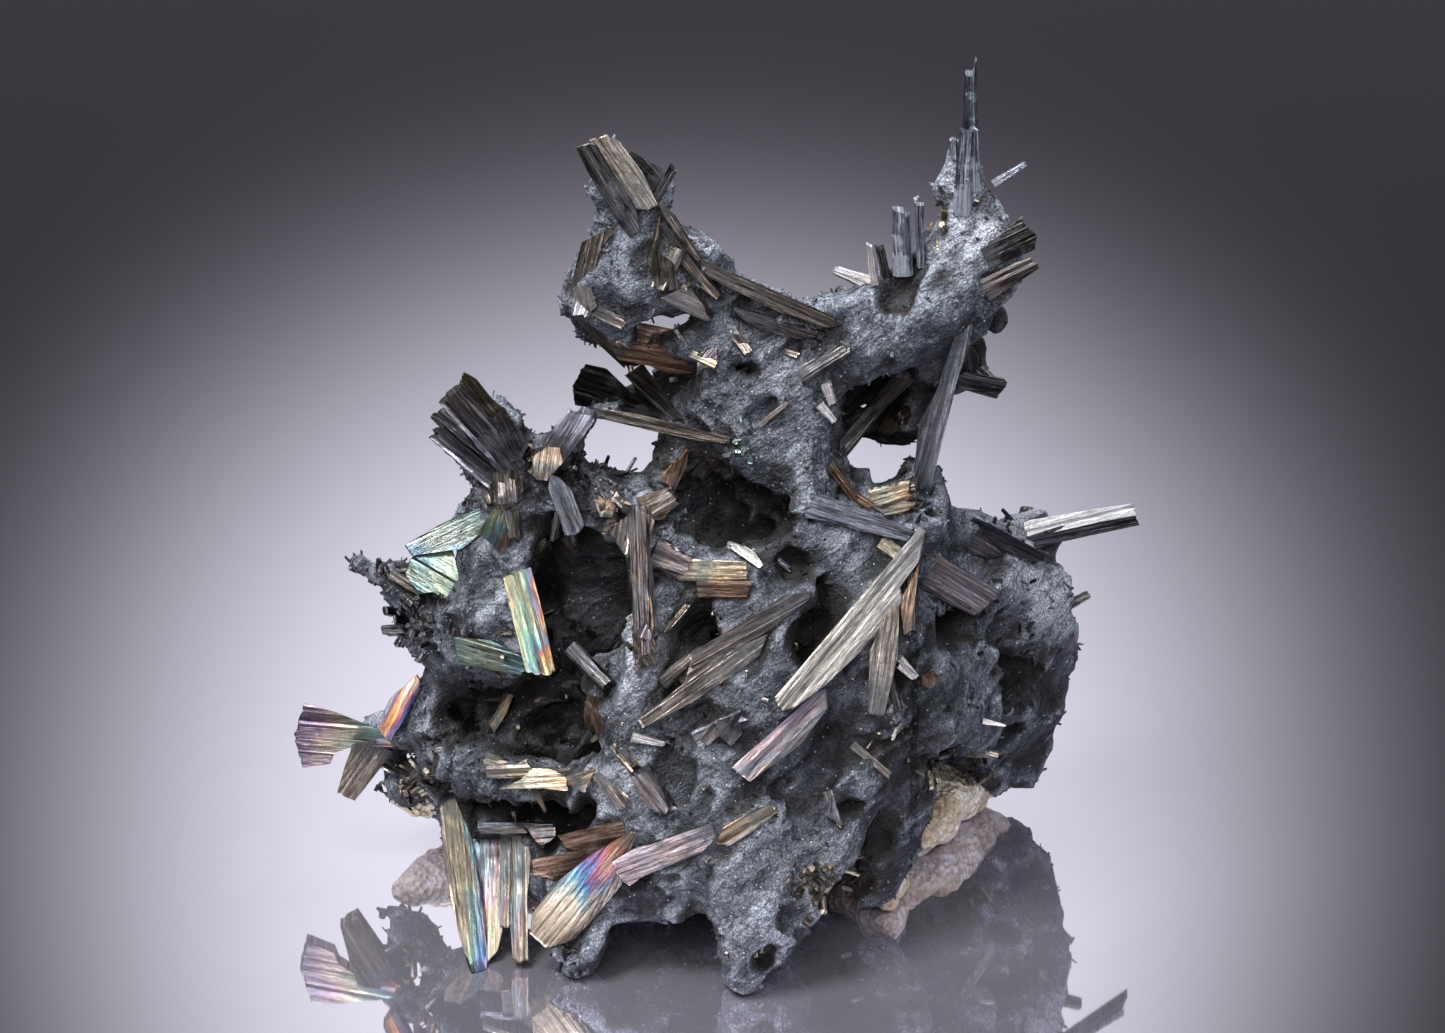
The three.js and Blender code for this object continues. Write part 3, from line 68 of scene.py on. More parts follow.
# The matrix's limbs: chains of [across, up, depth, radius].
LIMBS = [
    # Left horn: tip, neck and head, the arm to the saddle, the rim between its holes, the strip under them.
    [[61, 84, 26, 1.5], [62.3, 80.8, 26, 1.9], [63.6, 77.6, 26.5, 2.5], [62.4, 74.2, 27, 3.3],
     [60.2, 72.2, 27.5, 3], [59.8, 70.6, 27.5, 2.5]],
    [[64.6, 77.6, 26.5, 2], [67.4, 73.6, 26.5, 1.9], [70.4, 70.6, 27, 1.9], [75.6, 68.4, 28, 1.9],
     [80.6, 67, 29, 2.2]],
    [[61.6, 69.6, 26.5, 1.8], [65.8, 71.2, 26.5, 1.5], [69.4, 70.2, 27, 1.5], [71.4, 67.6, 27.5, 2]],
    [[62.4, 67, 27, 1.4], [67, 66.6, 28, 1.5], [71, 66.6, 28, 2]],
    # Saddle: middle column, right column, left wing, and the wall behind the head.
    [[72, 67, 28, 2.2], [75, 64.4, 28.5, 3.6], [76, 60.4, 29, 4.6], [75.6, 56, 28, 4.6], [76, 51.6, 27, 5]],
    [[81, 66.4, 29, 2.6], [80, 62.4, 29, 4], [80.4, 58, 28.5, 3.8], [81, 53, 27, 4.2]],
    [[71.6, 58.4, 28, 2.6], [68.8, 55.2, 28, 2.4], [67.4, 52.4, 27, 2.2]],
    [[70.5, 66.4, 34, 2.4], [67.8, 62.8, 37, 2.2], [66.4, 60.2, 36, 2], [69.6, 57.2, 32, 2.6]],
    # Right horn: column and shoulder down to the saddle, its two stubs, and the wall behind the tunnel.
    [[96.8, 84.4, 34, 1.4], [96.9, 80.6, 34, 1.8], [98, 77.6, 34, 3.1], [97.4, 74, 33.5, 3.9],
     [95.2, 71.2, 33, 4.4], [91.8, 68.6, 32.5, 4.8], [88, 66.4, 32, 4.3], [84.4, 65.2, 31, 3.8],
     [81, 64, 30, 3.6]],
    [[97, 70.4, 36, 2.6], [98.2, 68.4, 36, 1.8]],
    [[94.8, 66.4, 33, 2.6], [94, 62.6, 33, 2]],
    [[84, 61.6, 36, 2.4], [88, 62.2, 38, 2.6], [91, 60, 38, 2.4], [89.6, 58.2, 37, 2],
     [84.6, 57.6, 35, 2.2]],
    # Left cluster's branch.
    [[50.4, 51.2, 24, 2.3], [54.8, 50.8, 24, 2.2], [60, 49.4, 24, 2.3], [64, 48, 24, 2.6]],
    [[57, 54, 24, 1.6], [58.6, 51.6, 24, 2]],
    [[51.4, 52, 25, 2], [50.2, 55, 25.4, 1.7], [48.4, 58, 26, 1.3]],
    # Left branch: its column and its two twigs.
    [[36.6, 43.8, 31, 1.4], [39.6, 42.6, 31, 1.8], [43, 39.6, 30, 2.3], [45.6, 36, 28, 2.5],
     [44.6, 31, 28, 2.1], [43.4, 26.4, 29, 1.9], [43.6, 22.4, 28, 2.1]],
    [[43.4, 27.2, 30, 1.8], [40.2, 26.6, 32, 1.5], [38.4, 26.2, 33, 1.3]],
    [[44, 23, 30, 1.9], [41, 21.6, 33, 1.7], [38.4, 20.4, 35, 1.4]],
    # The back of the central cavity.
    [[64, 49, 37, 3.4], [70, 51, 38, 3.8], [76, 51, 38, 4], [82, 49, 36, 3.8]],
    # Main body: rim over the left cavity and the cavity's back.
    [[47.4, 42, 25, 2.5], [50, 46, 25, 3], [55, 48, 26, 3.2], [60, 48.4, 26, 3], [64.4, 47.8, 24, 3],
     [67.2, 45, 22, 3]],
    [[54, 43, 34, 4.5], [60, 39, 33, 4.5], [56, 34, 32, 4.5]],
    # Main body: the ridges that run down its front.
    [[65.2, 46, 20, 2.6], [65.6, 40, 18, 3], [64.4, 34, 16, 3], [63, 29, 14, 2.9], [63.6, 23, 12, 3],
     [66, 17, 11, 3.2]],
    [[70.6, 43.6, 22, 3], [74, 40, 20, 4], [77, 35, 18, 4.5], [76, 29, 16, 4.5], [72, 24, 13.5, 4.2],
     [71.6, 18, 11.5, 4.4], [74.6, 12.4, 10, 4.5], [75.4, 7.6, 8, 3.4], [74, 3.6, 6.6, 2.6]],
    [[79, 48.6, 25, 4], [84, 46.6, 26, 5], [86.4, 41, 24, 5.2], [87.4, 35, 23, 5], [86.4, 29, 20, 4.8],
     [84.4, 23, 17.5, 4.5], [82, 17, 14.5, 4.2], [79.8, 11.4, 12, 3.6], [77, 7, 9.6, 3.4]],
    [[88.4, 27, 25, 4.2], [88.6, 21, 24, 3.9], [88, 15.6, 22, 2.9], [87.6, 11.6, 21, 2.2]],
    [[92.4, 52.2, 32, 1.5], [92.6, 48.6, 31, 2.2]],
    # Main body: the shelves between the left cavities, the foot rim and its nub.
    [[46.8, 40, 24, 2.5], [49, 36.6, 22, 2.7], [52.4, 34.4, 20, 2.2], [57, 34, 18.5, 2.3],
     [62, 33.6, 16.5, 2.8]],
    [[48, 30, 34, 4], [54, 28, 28, 4.6], [59, 27, 24, 4.2]],
    [[44, 23.6, 27, 2.1], [48, 22.4, 22, 2.1], [53, 21.6, 18, 2.1], [59, 21.2, 15, 2.2], [63, 22, 13, 2.6]],
    [[50, 18, 26, 4], [56, 17.4, 22, 4], [62, 16.8, 17, 3.8]],
    [[48, 14.6, 21, 2.4], [54, 14, 18, 2.4], [58.6, 13.2, 15, 2.4], [62.4, 12.4, 13, 2.7],
     [66.6, 11.4, 11.5, 3.2]],
    [[57, 9.6, 14.5, 1.9], [56.6, 4.2, 13, 1.8]],
    [[60, 10.5, 11, 2.2], [57.5, 6.5, 10.5, 2.6], [56.4, 3.4, 10, 1.6]],
    # Main body: the slope that carries it back to the right mass.
    [[86, 34, 19, 3], [92, 33, 25, 3.4], [97, 33, 31, 3.4]],
    [[87, 29, 17, 2.6], [92, 29, 23, 2.8], [97, 27.5, 30, 3]],
    [[89, 41, 22, 2.5], [93.5, 42, 28, 3]],
    # Main body: the thick back.
    [[60, 38, 40, 7], [70, 36, 42, 8], [80, 36, 42, 8], [89, 36, 40, 6.5]],
    [[58, 26, 36, 6], [68, 24, 34, 7.5], [78, 24, 34, 8], [86, 24, 34, 6.5]],
    [[70, 44, 34, 5.5], [80, 44, 34, 6]],
    [[67, 15, 20, 5], [76, 16, 22, 6]],
    # Right mass: the ring round its pit and the wall that joins it to the body.
    [[92, 45.6, 34, 4], [97, 43, 40, 4.8], [101, 40.4, 45, 5.2], [103, 36, 47, 4.7], [102, 30, 46, 4.8],
     [99.6, 26.6, 44, 4.2], [95.4, 27, 41, 3.8], [91, 27.4, 33, 4]],
    [[93, 37, 36, 5], [97, 33, 42, 6]],
    [[103, 30, 46, 3.6], [101.6, 24.6, 45, 3.2], [98.6, 23.2, 43, 2.6]],
]

# Sheets between the limbs: three corners [across, up, depth] and half a thickness.
WEBS = [
    [[65.5, 42, 20], [73, 42, 22], [66, 24, 14], 1.8],
    [[73, 42, 22], [76, 27, 15], [66, 24, 14], 1.8],
    [[76, 44, 25], [86, 44, 26], [80, 20, 16], 2.2],
    [[74, 40, 22], [77, 20, 14], [86, 40, 25], 2.2],
    [[72, 20, 13], [82, 20, 16], [76, 8, 9], 2.2],
    [[86, 42, 25], [90, 24, 24], [84, 22, 18], 2],
    [[80, 48.6, 26], [92, 49, 31], [88, 38, 26], 2],
    [[47, 41, 24], [54, 34.5, 20], [46, 33, 26], 1.8],
    [[44, 30, 31], [52, 30, 34], [46, 22, 30], 2],
    [[50, 18, 26], [62, 17, 18], [58, 12, 15], 1.8],
    [[64, 22, 14], [72, 22, 14], [68, 12, 11.5], 2],
    [[47.5, 42, 25], [50, 47, 25], [44.5, 36, 28], 1.5],
    [[56, 48, 27], [66, 47, 25], [62, 40, 33], 2],
    [[73, 66, 28], [84, 65, 31], [78, 54, 28], 2.6],
    [[69, 58, 29], [73, 66, 29], [75, 54, 28], 2],
    [[59.5, 72, 27], [66, 75, 26.5], [64, 70.5, 27], 2.2],
    [[66, 73, 27], [71, 70, 27], [70, 67, 28], 1.5],
    [[92, 48, 33], [101, 41, 44], [93, 36, 36], 2.5],
    [[88, 30, 26], [94, 26, 37], [92, 38, 34], 2.2],
]

# Hollows in the matrix: middle [across, up, depth], and half sizes across, up and along the line of sight.
HOLLOWS = [
    ([73.6, 48.4, 22], [6, 3.6, 9]),  # central cavity
    ([54.9, 38.8, 22], [2.4, 6.2, 9]),  # left cavity, its deep side
    ([60.4, 40.4, 20], [3.6, 6, 6.5]),  # left cavity, its shallow side
    ([54.8, 27.6, 17], [5.2, 4.6, 9]),  # bowl
    ([46.4, 28.6, 24], [3, 3.4, 6]),
    ([54, 19, 17], [6, 2.2, 8]),  # slot over the foot rim
    ([99.8, 32.8, 37], [3.4, 2.8, 7]),  # pit in the right mass
    ([93.6, 23, 33], [4.8, 3, 8]),  # hollow over the calcite
    ([83.2, 10.6, 15], [3.6, 4, 7]),  # pocket beside the foot lobe
    ([80.2, 35.6, 15], [1.6, 2.2, 5]),
    ([87.6, 58.6, 31], [3.6, 3.6, 5.5]),  # tunnel beside the saddle
    ((65.7, 68.2, 27), (1.8, 1.35, 8)),
    ((68.6, 68.6, 27), (1.2, 1, 8)),
    ((74.3, 63.7, 25), (0.8, 0.6, 3)),
    ((79.1, 64.3, 25), (0.8, 0.6, 3)),
    ((71.5, 36.6, 16.5), (1.1, 0.6, 4)),
    ((65.9, 58.7, 28), (1.3, 0.8, 8)),
    ((90, 69.6, 28), (1.7, 1.9, 3)),
    ((91.3, 74.4, 29), (0.8, 0.8, 2)),
    ((57.4, 33.6, 17), (2.2, 3.4, 6)),
]

# The calcite's lumps: chains of [across, depth, height over the floor, radius].
CALCITE_LUMPS = [
    [[40.6, 37.5, 5.8, 1.9], [43.5, 39.5, 5.4, 2.4], [50, 42, 4.8, 4.4], [62, 43, 4.5, 6],
     [76, 44, 4.5, 6.5], [88, 44, 4.5, 6.5], [96, 46.5, 5, 4.8]],
    [[86, 38, 4, 4.5], [91.4, 34.5, 2.6, 2.2], [93.6, 38, 2.8, 2.5], [97, 42.8, 3, 2.2],
     [101, 46.2, 3.4, 1.8]],
    [[87, 33, 3, 4], [88.6, 27, 2.4, 2], [88.8, 22.5, 1.6, 1.2]],
]

# Boxes in the frame, low and high corner, that part the matrix at its forks. The rest is the main body.
BRANCHES = {
    "left_horn": [[-30, -40, 60.5], [1.5, 40, 99]],
    "right_horn": [[9.6, -40, 46.8], [50, 40, 99]],
    "saddle": [[-9.2, -40, 45.4], [9.3, 40, 99]],
    "left_cluster": [[-40, -40, 45.2], [-9.5, 40, 60.2]],
    "left_branch": [[-50, -40, 0.1], [-24.6, 40, 60]],
    "right_mass": [[19.4, -40, 0.1], [50, 40, 46.5]],
}

# Prisms that stand free: root and tip [across, up, depth], width, thickness, roll in degrees, and tip width
# to root width.
FREE_CRYSTALS = {
    "spire": [[[96.9, 79, 34], [97.1, 94, 34], 2.2, 1.6, 0, 0.5]],
    "small_dark_blade": [[[44, 37.3, 26], [38.4, 36.9, 28.6], 1.3, 1.1, 0, 0.9]],
    "upright_plate": [[[63.7, 49.4, 18.4], [64.4, 33.6, 11.6], 2.1, 0.9, 30, 0.8]],
}

# Flat blades given by their outlines: look, root, tip, thickness along the line of sight, how much deeper the
# blade lies for each millimetre to the left of the line from root to tip, and the outline as [across, up].
PLATES = {
    "horn_tip_blades": [
        ["DARK", [63.3, 77, 22.8], [58.3, 85.5, 24.4], 1.5, 0.12, [[57.5, 85.3], [58.8, 85.9], [59.5, 85.7],
         [63.6, 79.3], [64, 76.8], [63, 76.2], [61.8, 77.8], [60.1, 81.2], [59, 82.4]]],
        ["GREY", [65, 79.6, 23.2], [60.3, 86.4, 24.8], 1.5, -0.15, [[58.9, 86], [60.6, 86.7], [61.8, 86],
         [64.2, 82.9], [65.8, 79.5], [64.7, 79], [63.3, 79.1], [60.1, 84.3]]],
        ["DARK", [66, 81.4, 25.4], [62.6, 84.8, 25.8], 1, 0, [[62.3, 84.6], [63.1, 84.9], [66.2, 83.2],
         [66.5, 82.3], [65.9, 80.3], [64, 81.8]]],
    ],
    "arm_blades": [
        ["OLIVE", [66.2, 79.6, 23.8], [70, 73.9, 24.4], 0.9, 0.1, [[65.7, 79.9], [66.4, 79.5], [67.6, 78.4],
         [70.2, 74], [69.9, 73.3], [67.8, 76], [66.2, 78.7]]],
        ["OLIVE", [66.9, 76.4, 23.6], [72, 70.2, 24.4], 0.9, -0.1, [[66.6, 76.6], [67.6, 76.1],
         [69.3, 73.1], [72.1, 70.4], [71.8, 69.9], [70.1, 71.2], [68.3, 73.2]]],
        ["OLIVE", [70.3, 73.8, 24.2], [83.8, 67.7, 26.4], 1.1, 0.15, [[69.9, 74.2], [74, 72.2], [80, 69.4],
         [83.6, 68.3], [84, 67.3], [82.5, 67.1], [78.5, 68.5], [74, 70.7], [70.8, 72.3]]],
    ],
    "lower_dark_blade": [["DARK", [50.3, 52.5, 22.8], [44, 57.8, 23.6], 1.6, 0.12, [[42.8, 58.4],
     [44.5, 59.4], [47.6, 56], [50.9, 53], [50.3, 51.3], [48.6, 51.3], [46.6, 52.8], [45.6, 55.6]]]],
    "upper_dark_blade": [["OLIVE", [52.2, 54.8, 22.8], [46.6, 62, 23.6], 1.6, -0.1, [[45.7, 61.2],
     [46.3, 62.9], [47.4, 62.4], [48.6, 60.7], [50, 59.6], [53, 55.6], [52.6, 53.8], [50.6, 52.6],
     [47, 56.8], [46.2, 59.4]]]],
    "inner_dark_blade": [["DARK", [51.9, 54.2, 21.2], [49.6, 59, 21.6], 1.1, 0.1, [[48.9, 58.3],
     [50.3, 59.5], [52.8, 55.4], [52.1, 54], [50.9, 53.7]]]],
    "prism_crystal": [
        ["STEEL", [55.5, 54.8, 22], [58.1, 58.8, 21.4], 1.9, -0.12, [[54.3, 56], [57, 59.3], [59.3, 58.6],
         [59, 57.3], [56.2, 53.6], [55.2, 54]]],
        ["GILT", [54.5, 52.3, 21.4], [54.9, 55.4, 20.9], 1.3, 0.1, [[53.1, 54.4], [54.7, 55.6], [56, 55.4],
         [56.3, 53.8], [54.7, 51.9], [53.6, 52]]],
    ],
    "hanging_tip_blade": [["STEEL", [55.5, 52, 21], [57.5, 46.6, 19.6], 1.4, 0.1, [[55, 52.6], [56, 52.2],
     [57.2, 50.9], [58.5, 47.4], [57.7, 46.2], [56.5, 46.4], [55.6, 49.2], [54.8, 51.2]]]],
    "two_face_crystal": [
        ["GLINT", [50.3, 49, 21.2], [49.2, 45.4, 20.4], 1.3, 0.15, [[49.4, 49.2], [50.3, 49], [50.9, 45.9],
         [49.9, 44.5], [47.7, 46.6]]],
        ["GREY", [50.6, 49.2, 21.3], [51.2, 46, 20.7], 1.3, -0.3, [[49.9, 49.3], [51.6, 48.7], [52.1, 46.2],
         [50.7, 45.8]]],
    ],
    "left_long_blade": [["SEAGLASS", [49, 48.6, 23.6], [40.8, 44.8, 28], 1.2, 0.1, [[40.3, 45.4],
     [44, 47.6], [48.7, 49.6], [49.7, 49.1], [49.3, 47.7], [46.2, 45.1], [41.1, 44.3]]]],
    "turquoise_plate": [["SEAGLASS", [45.5, 41, 24.4], [41, 43.6, 28], 1, -0.3, [[40.4, 42.7], [41.4, 45],
     [44.9, 46.4], [46.3, 41], [46.2, 39.8], [45, 40], [43.2, 40.8], [42, 40.6]]]],
    "iridescent_blade": [["GLINT", [51.6, 42.8, 20.4], [54.2, 32.7, 15], 1.3, -0.12, [[50.3, 42.3],
     [51.6, 42.8], [53.1, 43.3], [54.3, 38.5], [55.5, 32.9], [54.9, 32.4], [52.7, 32.5], [51.4, 37]]]],
    "shelf_blade": [["SEAGLASS", [45.8, 35.4, 20.6], [52.5, 33.5, 16.4], 1.2, 0.1, [[45.3, 36.3], [49, 36],
     [52.3, 34.3], [53.2, 33.2], [52.2, 32.4], [45.9, 33.6]]]],
    "left_fan_blades": [
        ["OPAL", [39.1, 25.9, 31.8], [29.6, 26.7, 34.6], 1.1, 0, [[30.3, 29.7], [33.7, 28.7], [39.1, 26.6],
         [40.4, 26.4], [40.4, 25.3], [39, 25.3], [36.8, 25.7], [34.9, 25.2], [33.4, 24.6], [33, 23.6],
         [30.2, 23.2], [29.3, 26.5]]],
        ["OLIVE", [38.2, 25.8, 32.2], [34.5, 20.4, 33.4], 1.1, 0.2, [[35.2, 25.6], [37.4, 26], [39.3, 24.8],
         [35.4, 19.8], [33.7, 20.7], [34.4, 23.2]]],
    ],
    "left_upper_blade": [["FLAME", [39.1, 26.2, 29.6], [42, 32.4, 28.4], 1.1, -0.1, [[37.7, 27.3],
     [39, 30.2], [41.8, 32.7], [42.2, 31.4], [40.3, 27.9], [38.9, 25.7]]]],
    "bottom_left_blades": [
        ["BANDED", [45.5, 18.8, 23.4], [47.5, 2, 9.6], 1.3, 0.1, [[44, 19.4], [45.5, 20.4], [47, 16.8],
         [48.2, 12], [48.8, 7], [48.7, 2.4], [47.2, 1.6], [45.7, 7.3], [44.4, 13.2]]],
        ["ASHEN", [48.6, 17.4, 22.6], [48.8, 3.8, 11.2], 1.2, -0.15, [[46.2, 16.4], [48, 17.4],
         [50.2, 16.8], [50.2, 6.4], [49.8, 4.6], [48.6, 3.2], [48.3, 7.5], [47.8, 12.3]]],
    ],
    "narrow_foot_blades": [
        ["ASHEN", [50.6, 17, 19.8], [50.4, 7.4, 12.6], 1.1, 0.1, [[50, 17.1], [51.3, 17.1], [51.4, 11.3],
         [50.9, 7.1], [50, 7.2]]],
        ["ASHEN", [51.9, 16.6, 18.8], [52.1, 4, 10.4], 1.1, -0.1, [[51.2, 16.8], [52.6, 16.5], [53.1, 14.2],
         [52.7, 9.8], [52.8, 3.8], [52, 3.6], [51.3, 3.9], [51, 7.4]]],
    ],
    "foot_fan": [
        ["SUNSET", [62.2, 15.8, 7.6], [54.8, 6.8, 9], 1.2, -0.05, [[52.9, 6.6], [53.1, 8.4], [55.3, 11.5],
         [59.2, 14.6], [63, 16.8], [63.6, 16.8], [61.2, 12.2], [57.2, 5.8], [56, 5.5], [54.5, 5.2]]],
        ["GREY", [62.8, 15.8, 7.8], [58.5, 7, 8.8], 1.3, -0.3, [[63.4, 17.1], [63.8, 16.6], [61.8, 13.2],
         [62.2, 11.6], [61.7, 10.9], [58.7, 7.3], [57, 5.6], [58.8, 10.3], [61.1, 13.8]]],
    ],
    "copper_foot_blades": [
        ["BRONZE", [63, 17.2, 8.4], [56.2, 15.8, 12], 1.1, 0, [[55.7, 16.4], [62.9, 18.2], [63.8, 17.2],
         [61.2, 14.3], [59, 14.4], [56.4, 15.3]]],
        ["BRONZE", [59, 14.4, 11.2], [53.3, 13.4, 12.8], 1, 0.05, [[53.1, 14], [59, 15.1], [59.8, 14.4],
         [58.3, 13.2], [55.6, 12], [53.1, 12.5]]],
    ],
    "rolled_foot_blade": [["ROSE", [70.6, 16.4, 6], [62.2, 13.2, 7.6], 1.4, 0.15, [[61.1, 13.8],
     [63.6, 15.3], [68, 16.1], [71.2, 17.7], [71.7, 16.2], [70.4, 14.9], [68, 13.7], [65.2, 13.1],
     [63, 11.4], [61.8, 12]]]],
    "upper_foot_blade": [["GILT", [77.2, 19, 8], [72.2, 16, 5.8], 1.1, 0.1, [[72.2, 17.2], [75.8, 19.2],
     [77.6, 19.5], [77.8, 18.8], [75.2, 16.8], [72.8, 15.3], [71.6, 15.6]]]],
    "light_prism": [
        ["GILT", [68.4, 43.2, 17.4], [74.7, 43.1, 16.2], 1.2, 0.25, [[69.2, 44.1], [74.8, 43.8],
         [74.9, 42.1], [70, 41.9], [67.7, 41.9]]],
        ["ROSE", [65.5, 45, 18.6], [69, 43, 17.3], 1.2, 0.1, [[64.9, 46.5], [65.5, 46.6], [69.4, 44],
         [68, 41.8], [65.2, 43.3]]],
    ],
    "copper_prism": [["BRONZE", [69.9, 41.1, 16.4], [75.2, 41, 15.6], 1.2, -0.1, [[69.6, 42], [75.5, 41.9],
     [75.1, 40.3], [69.8, 40.2]]]],
    "blue_grey_blade": [["STEEL", [81, 49.5, 21], [91, 46.4, 23], 1.5, 0.15, [[80.3, 48.9], [81.1, 50.4],
     [82.2, 50.6], [87, 48.8], [91.4, 47], [90.9, 45.8], [86.8, 46.7], [83.6, 47.7], [80.6, 48.2]]]],
    "long_front_blade": [["PALE_GREY", [92, 46.2, 22.6], [78.1, 29.6, 10.4], 1.6, -0.12, [[92, 47.3],
     [92.6, 46.9], [92, 44], [89.9, 41.8], [90.3, 39.9], [87, 35.7], [82.6, 31.5], [79.4, 29.1],
     [78.1, 28.7], [77.4, 30.2], [86.2, 39.6], [88.6, 42.9], [91.4, 46.5]]]],
    "second_front_blade": [["OPAL_GREY", [82.4, 30.6, 13.6], [74.4, 22.6, 7.8], 1.4, -0.15, [[81.8, 31],
     [82.6, 31.2], [82.8, 29.2], [80, 25.5], [74.9, 21.7], [73.1, 23.2], [76, 25.8], [79, 28.2]]]],
    "middle_blades": [
        ["GREY", [80.6, 40.3, 15.8], [69.2, 33.9, 11.6], 1.1, 0.1, [[81.1, 40.9], [81.1, 40.2],
         [76.6, 36.7], [73, 34.8], [69, 33.3], [68.6, 34.4], [73.3, 37.2], [78.5, 40.5]]],
        ["GREY", [76.4, 36, 14], [64, 27.4, 9.6], 1.2, -0.15, [[76.8, 36.6], [76, 34.4], [73.1, 33.1],
         [69, 29.6], [64, 27], [63.6, 27.8], [67.9, 31.3], [69, 33.6], [74, 35.4]]],
    ],
    "pink_ended_blade": [["ROSE", [92.6, 43, 25.2], [98.4, 39.6, 29.4], 1.4, -0.1, [[92, 45.5],
     [94.5, 44.2], [97.5, 42.4], [100, 41], [99.8, 40.2], [97.5, 38.4], [95, 39.6], [91.8, 41.4]]]],
    "long_hanging_blade": [["STEEL", [96.6, 67.6, 29.4], [92.4, 50.8, 28.6], 1.3, -0.1, [[96.1, 68.2],
     [97.3, 67.9], [97, 65.5], [94.6, 58.8], [93.5, 54.8], [93, 51], [91.9, 50.6], [91.4, 53], [91.9, 57.6],
     [93.6, 60.8]]]],
    "rear_horizontal_blade": [
        ["DARK", [96.2, 62, 34.5], [100.4, 61.2, 36], 1.4, 0.1, [[95.5, 62.3], [96.5, 62.8], [100.5, 62.2],
         [100.9, 61.7], [99.7, 60.1], [95.8, 61.2]]],
        ["DARK", [96.8, 65, 35.4], [97.2, 62.4, 35.2], 1.5, 0.1, [[96.3, 65.7], [97.4, 65.2], [98.3, 63.6],
         [96.6, 62], [95.8, 62.2]]],
    ],
    "white_side_blade": [
        ["PALE", [101.4, 46.4, 42.8], [113.7, 49.3, 54], 0.9, 0.7, [[100.8, 47], [103, 48], [110, 49.2],
         [113.5, 49.7], [113.8, 48.5], [110, 47.8], [102.8, 46.2]]],
        ["DARK", [103, 45.8, 43.4], [113.8, 48, 54.2], 1.3, 0.2, [[102, 46.1], [106, 47.4], [113.7, 48.7],
         [114, 47.5], [109.5, 46.8], [106, 46], [103.6, 45]]],
    ],
    "boxy_dark_blades": [
        ["DARK", [97.4, 47.2, 35.4], [104.2, 44, 40], 1.8, 0.12, [[96.5, 47.6], [97.4, 48.3], [99, 47.6],
         [104.6, 44.6], [104.4, 43.8], [103.4, 43.8], [100, 45.4], [97, 46.2]]],
        ["ROSE", [97.3, 46.2, 35], [100.2, 44.4, 37.6], 1.2, -0.1, [[97, 46.6], [98.8, 46.1], [100.5, 44.4],
         [99, 44], [96.8, 44.8]]],
    ],
    "rear_fan_crystal": [["DARK", [65, 59.2, 34], [57.8, 61.5, 33], 1.7, 0.1, [[57.2, 61.4], [58.3, 63.7],
     [60.6, 63.2], [65.6, 58.4], [62.8, 58.6], [57.4, 59.5]]]],
    "rear_copper_plate": [
        ["BRONZE", [59.4, 67, 32], [71.6, 64.8, 30.8], 1, 0.1, [[59, 68.8], [62.5, 67], [66, 66.4],
         [69, 66.4], [71.8, 66.2], [71.7, 63.4], [69.7, 62.7], [67.2, 62.4], [63.9, 63.9], [61.8, 64]]],
        ["OLIVE", [57.2, 69.4, 31.4], [63.4, 63.4, 32.6], 0.9, 0.1, [[56.9, 68.9], [57.5, 69.8], [64, 63.8],
         [62.5, 63.1], [59.7, 65.7]]],
    ],
    "thin_bridge_blade": [["OLIVE", [59.4, 58.8, 27], [72.8, 56, 23.4], 0.9, 0.1, [[59.2, 59.3], [64, 58.6],
     [70, 57], [73.1, 56.3], [72.9, 55.6], [69, 56], [64, 57.2], [59.4, 58.3]]]],
    "upper_horn_block": [["DARK", [99, 74.8, 30.4], [103.2, 76.8, 31.5], 2.2, 0.12, [[98, 75],
     [100.4, 76.8], [102.2, 78.5], [103.7, 76.4], [103.5, 75], [100.6, 74.2], [99, 73.2]]]],
    "lower_horn_block": [["ROSE", [98, 71.2, 30], [103.4, 73.8, 31.5], 1.9, -0.12, [[97.2, 71.6],
     [100.4, 73.2], [103.2, 74.5], [104, 73.2], [101, 71.2], [98.6, 69.6], [97, 70]]]],
}

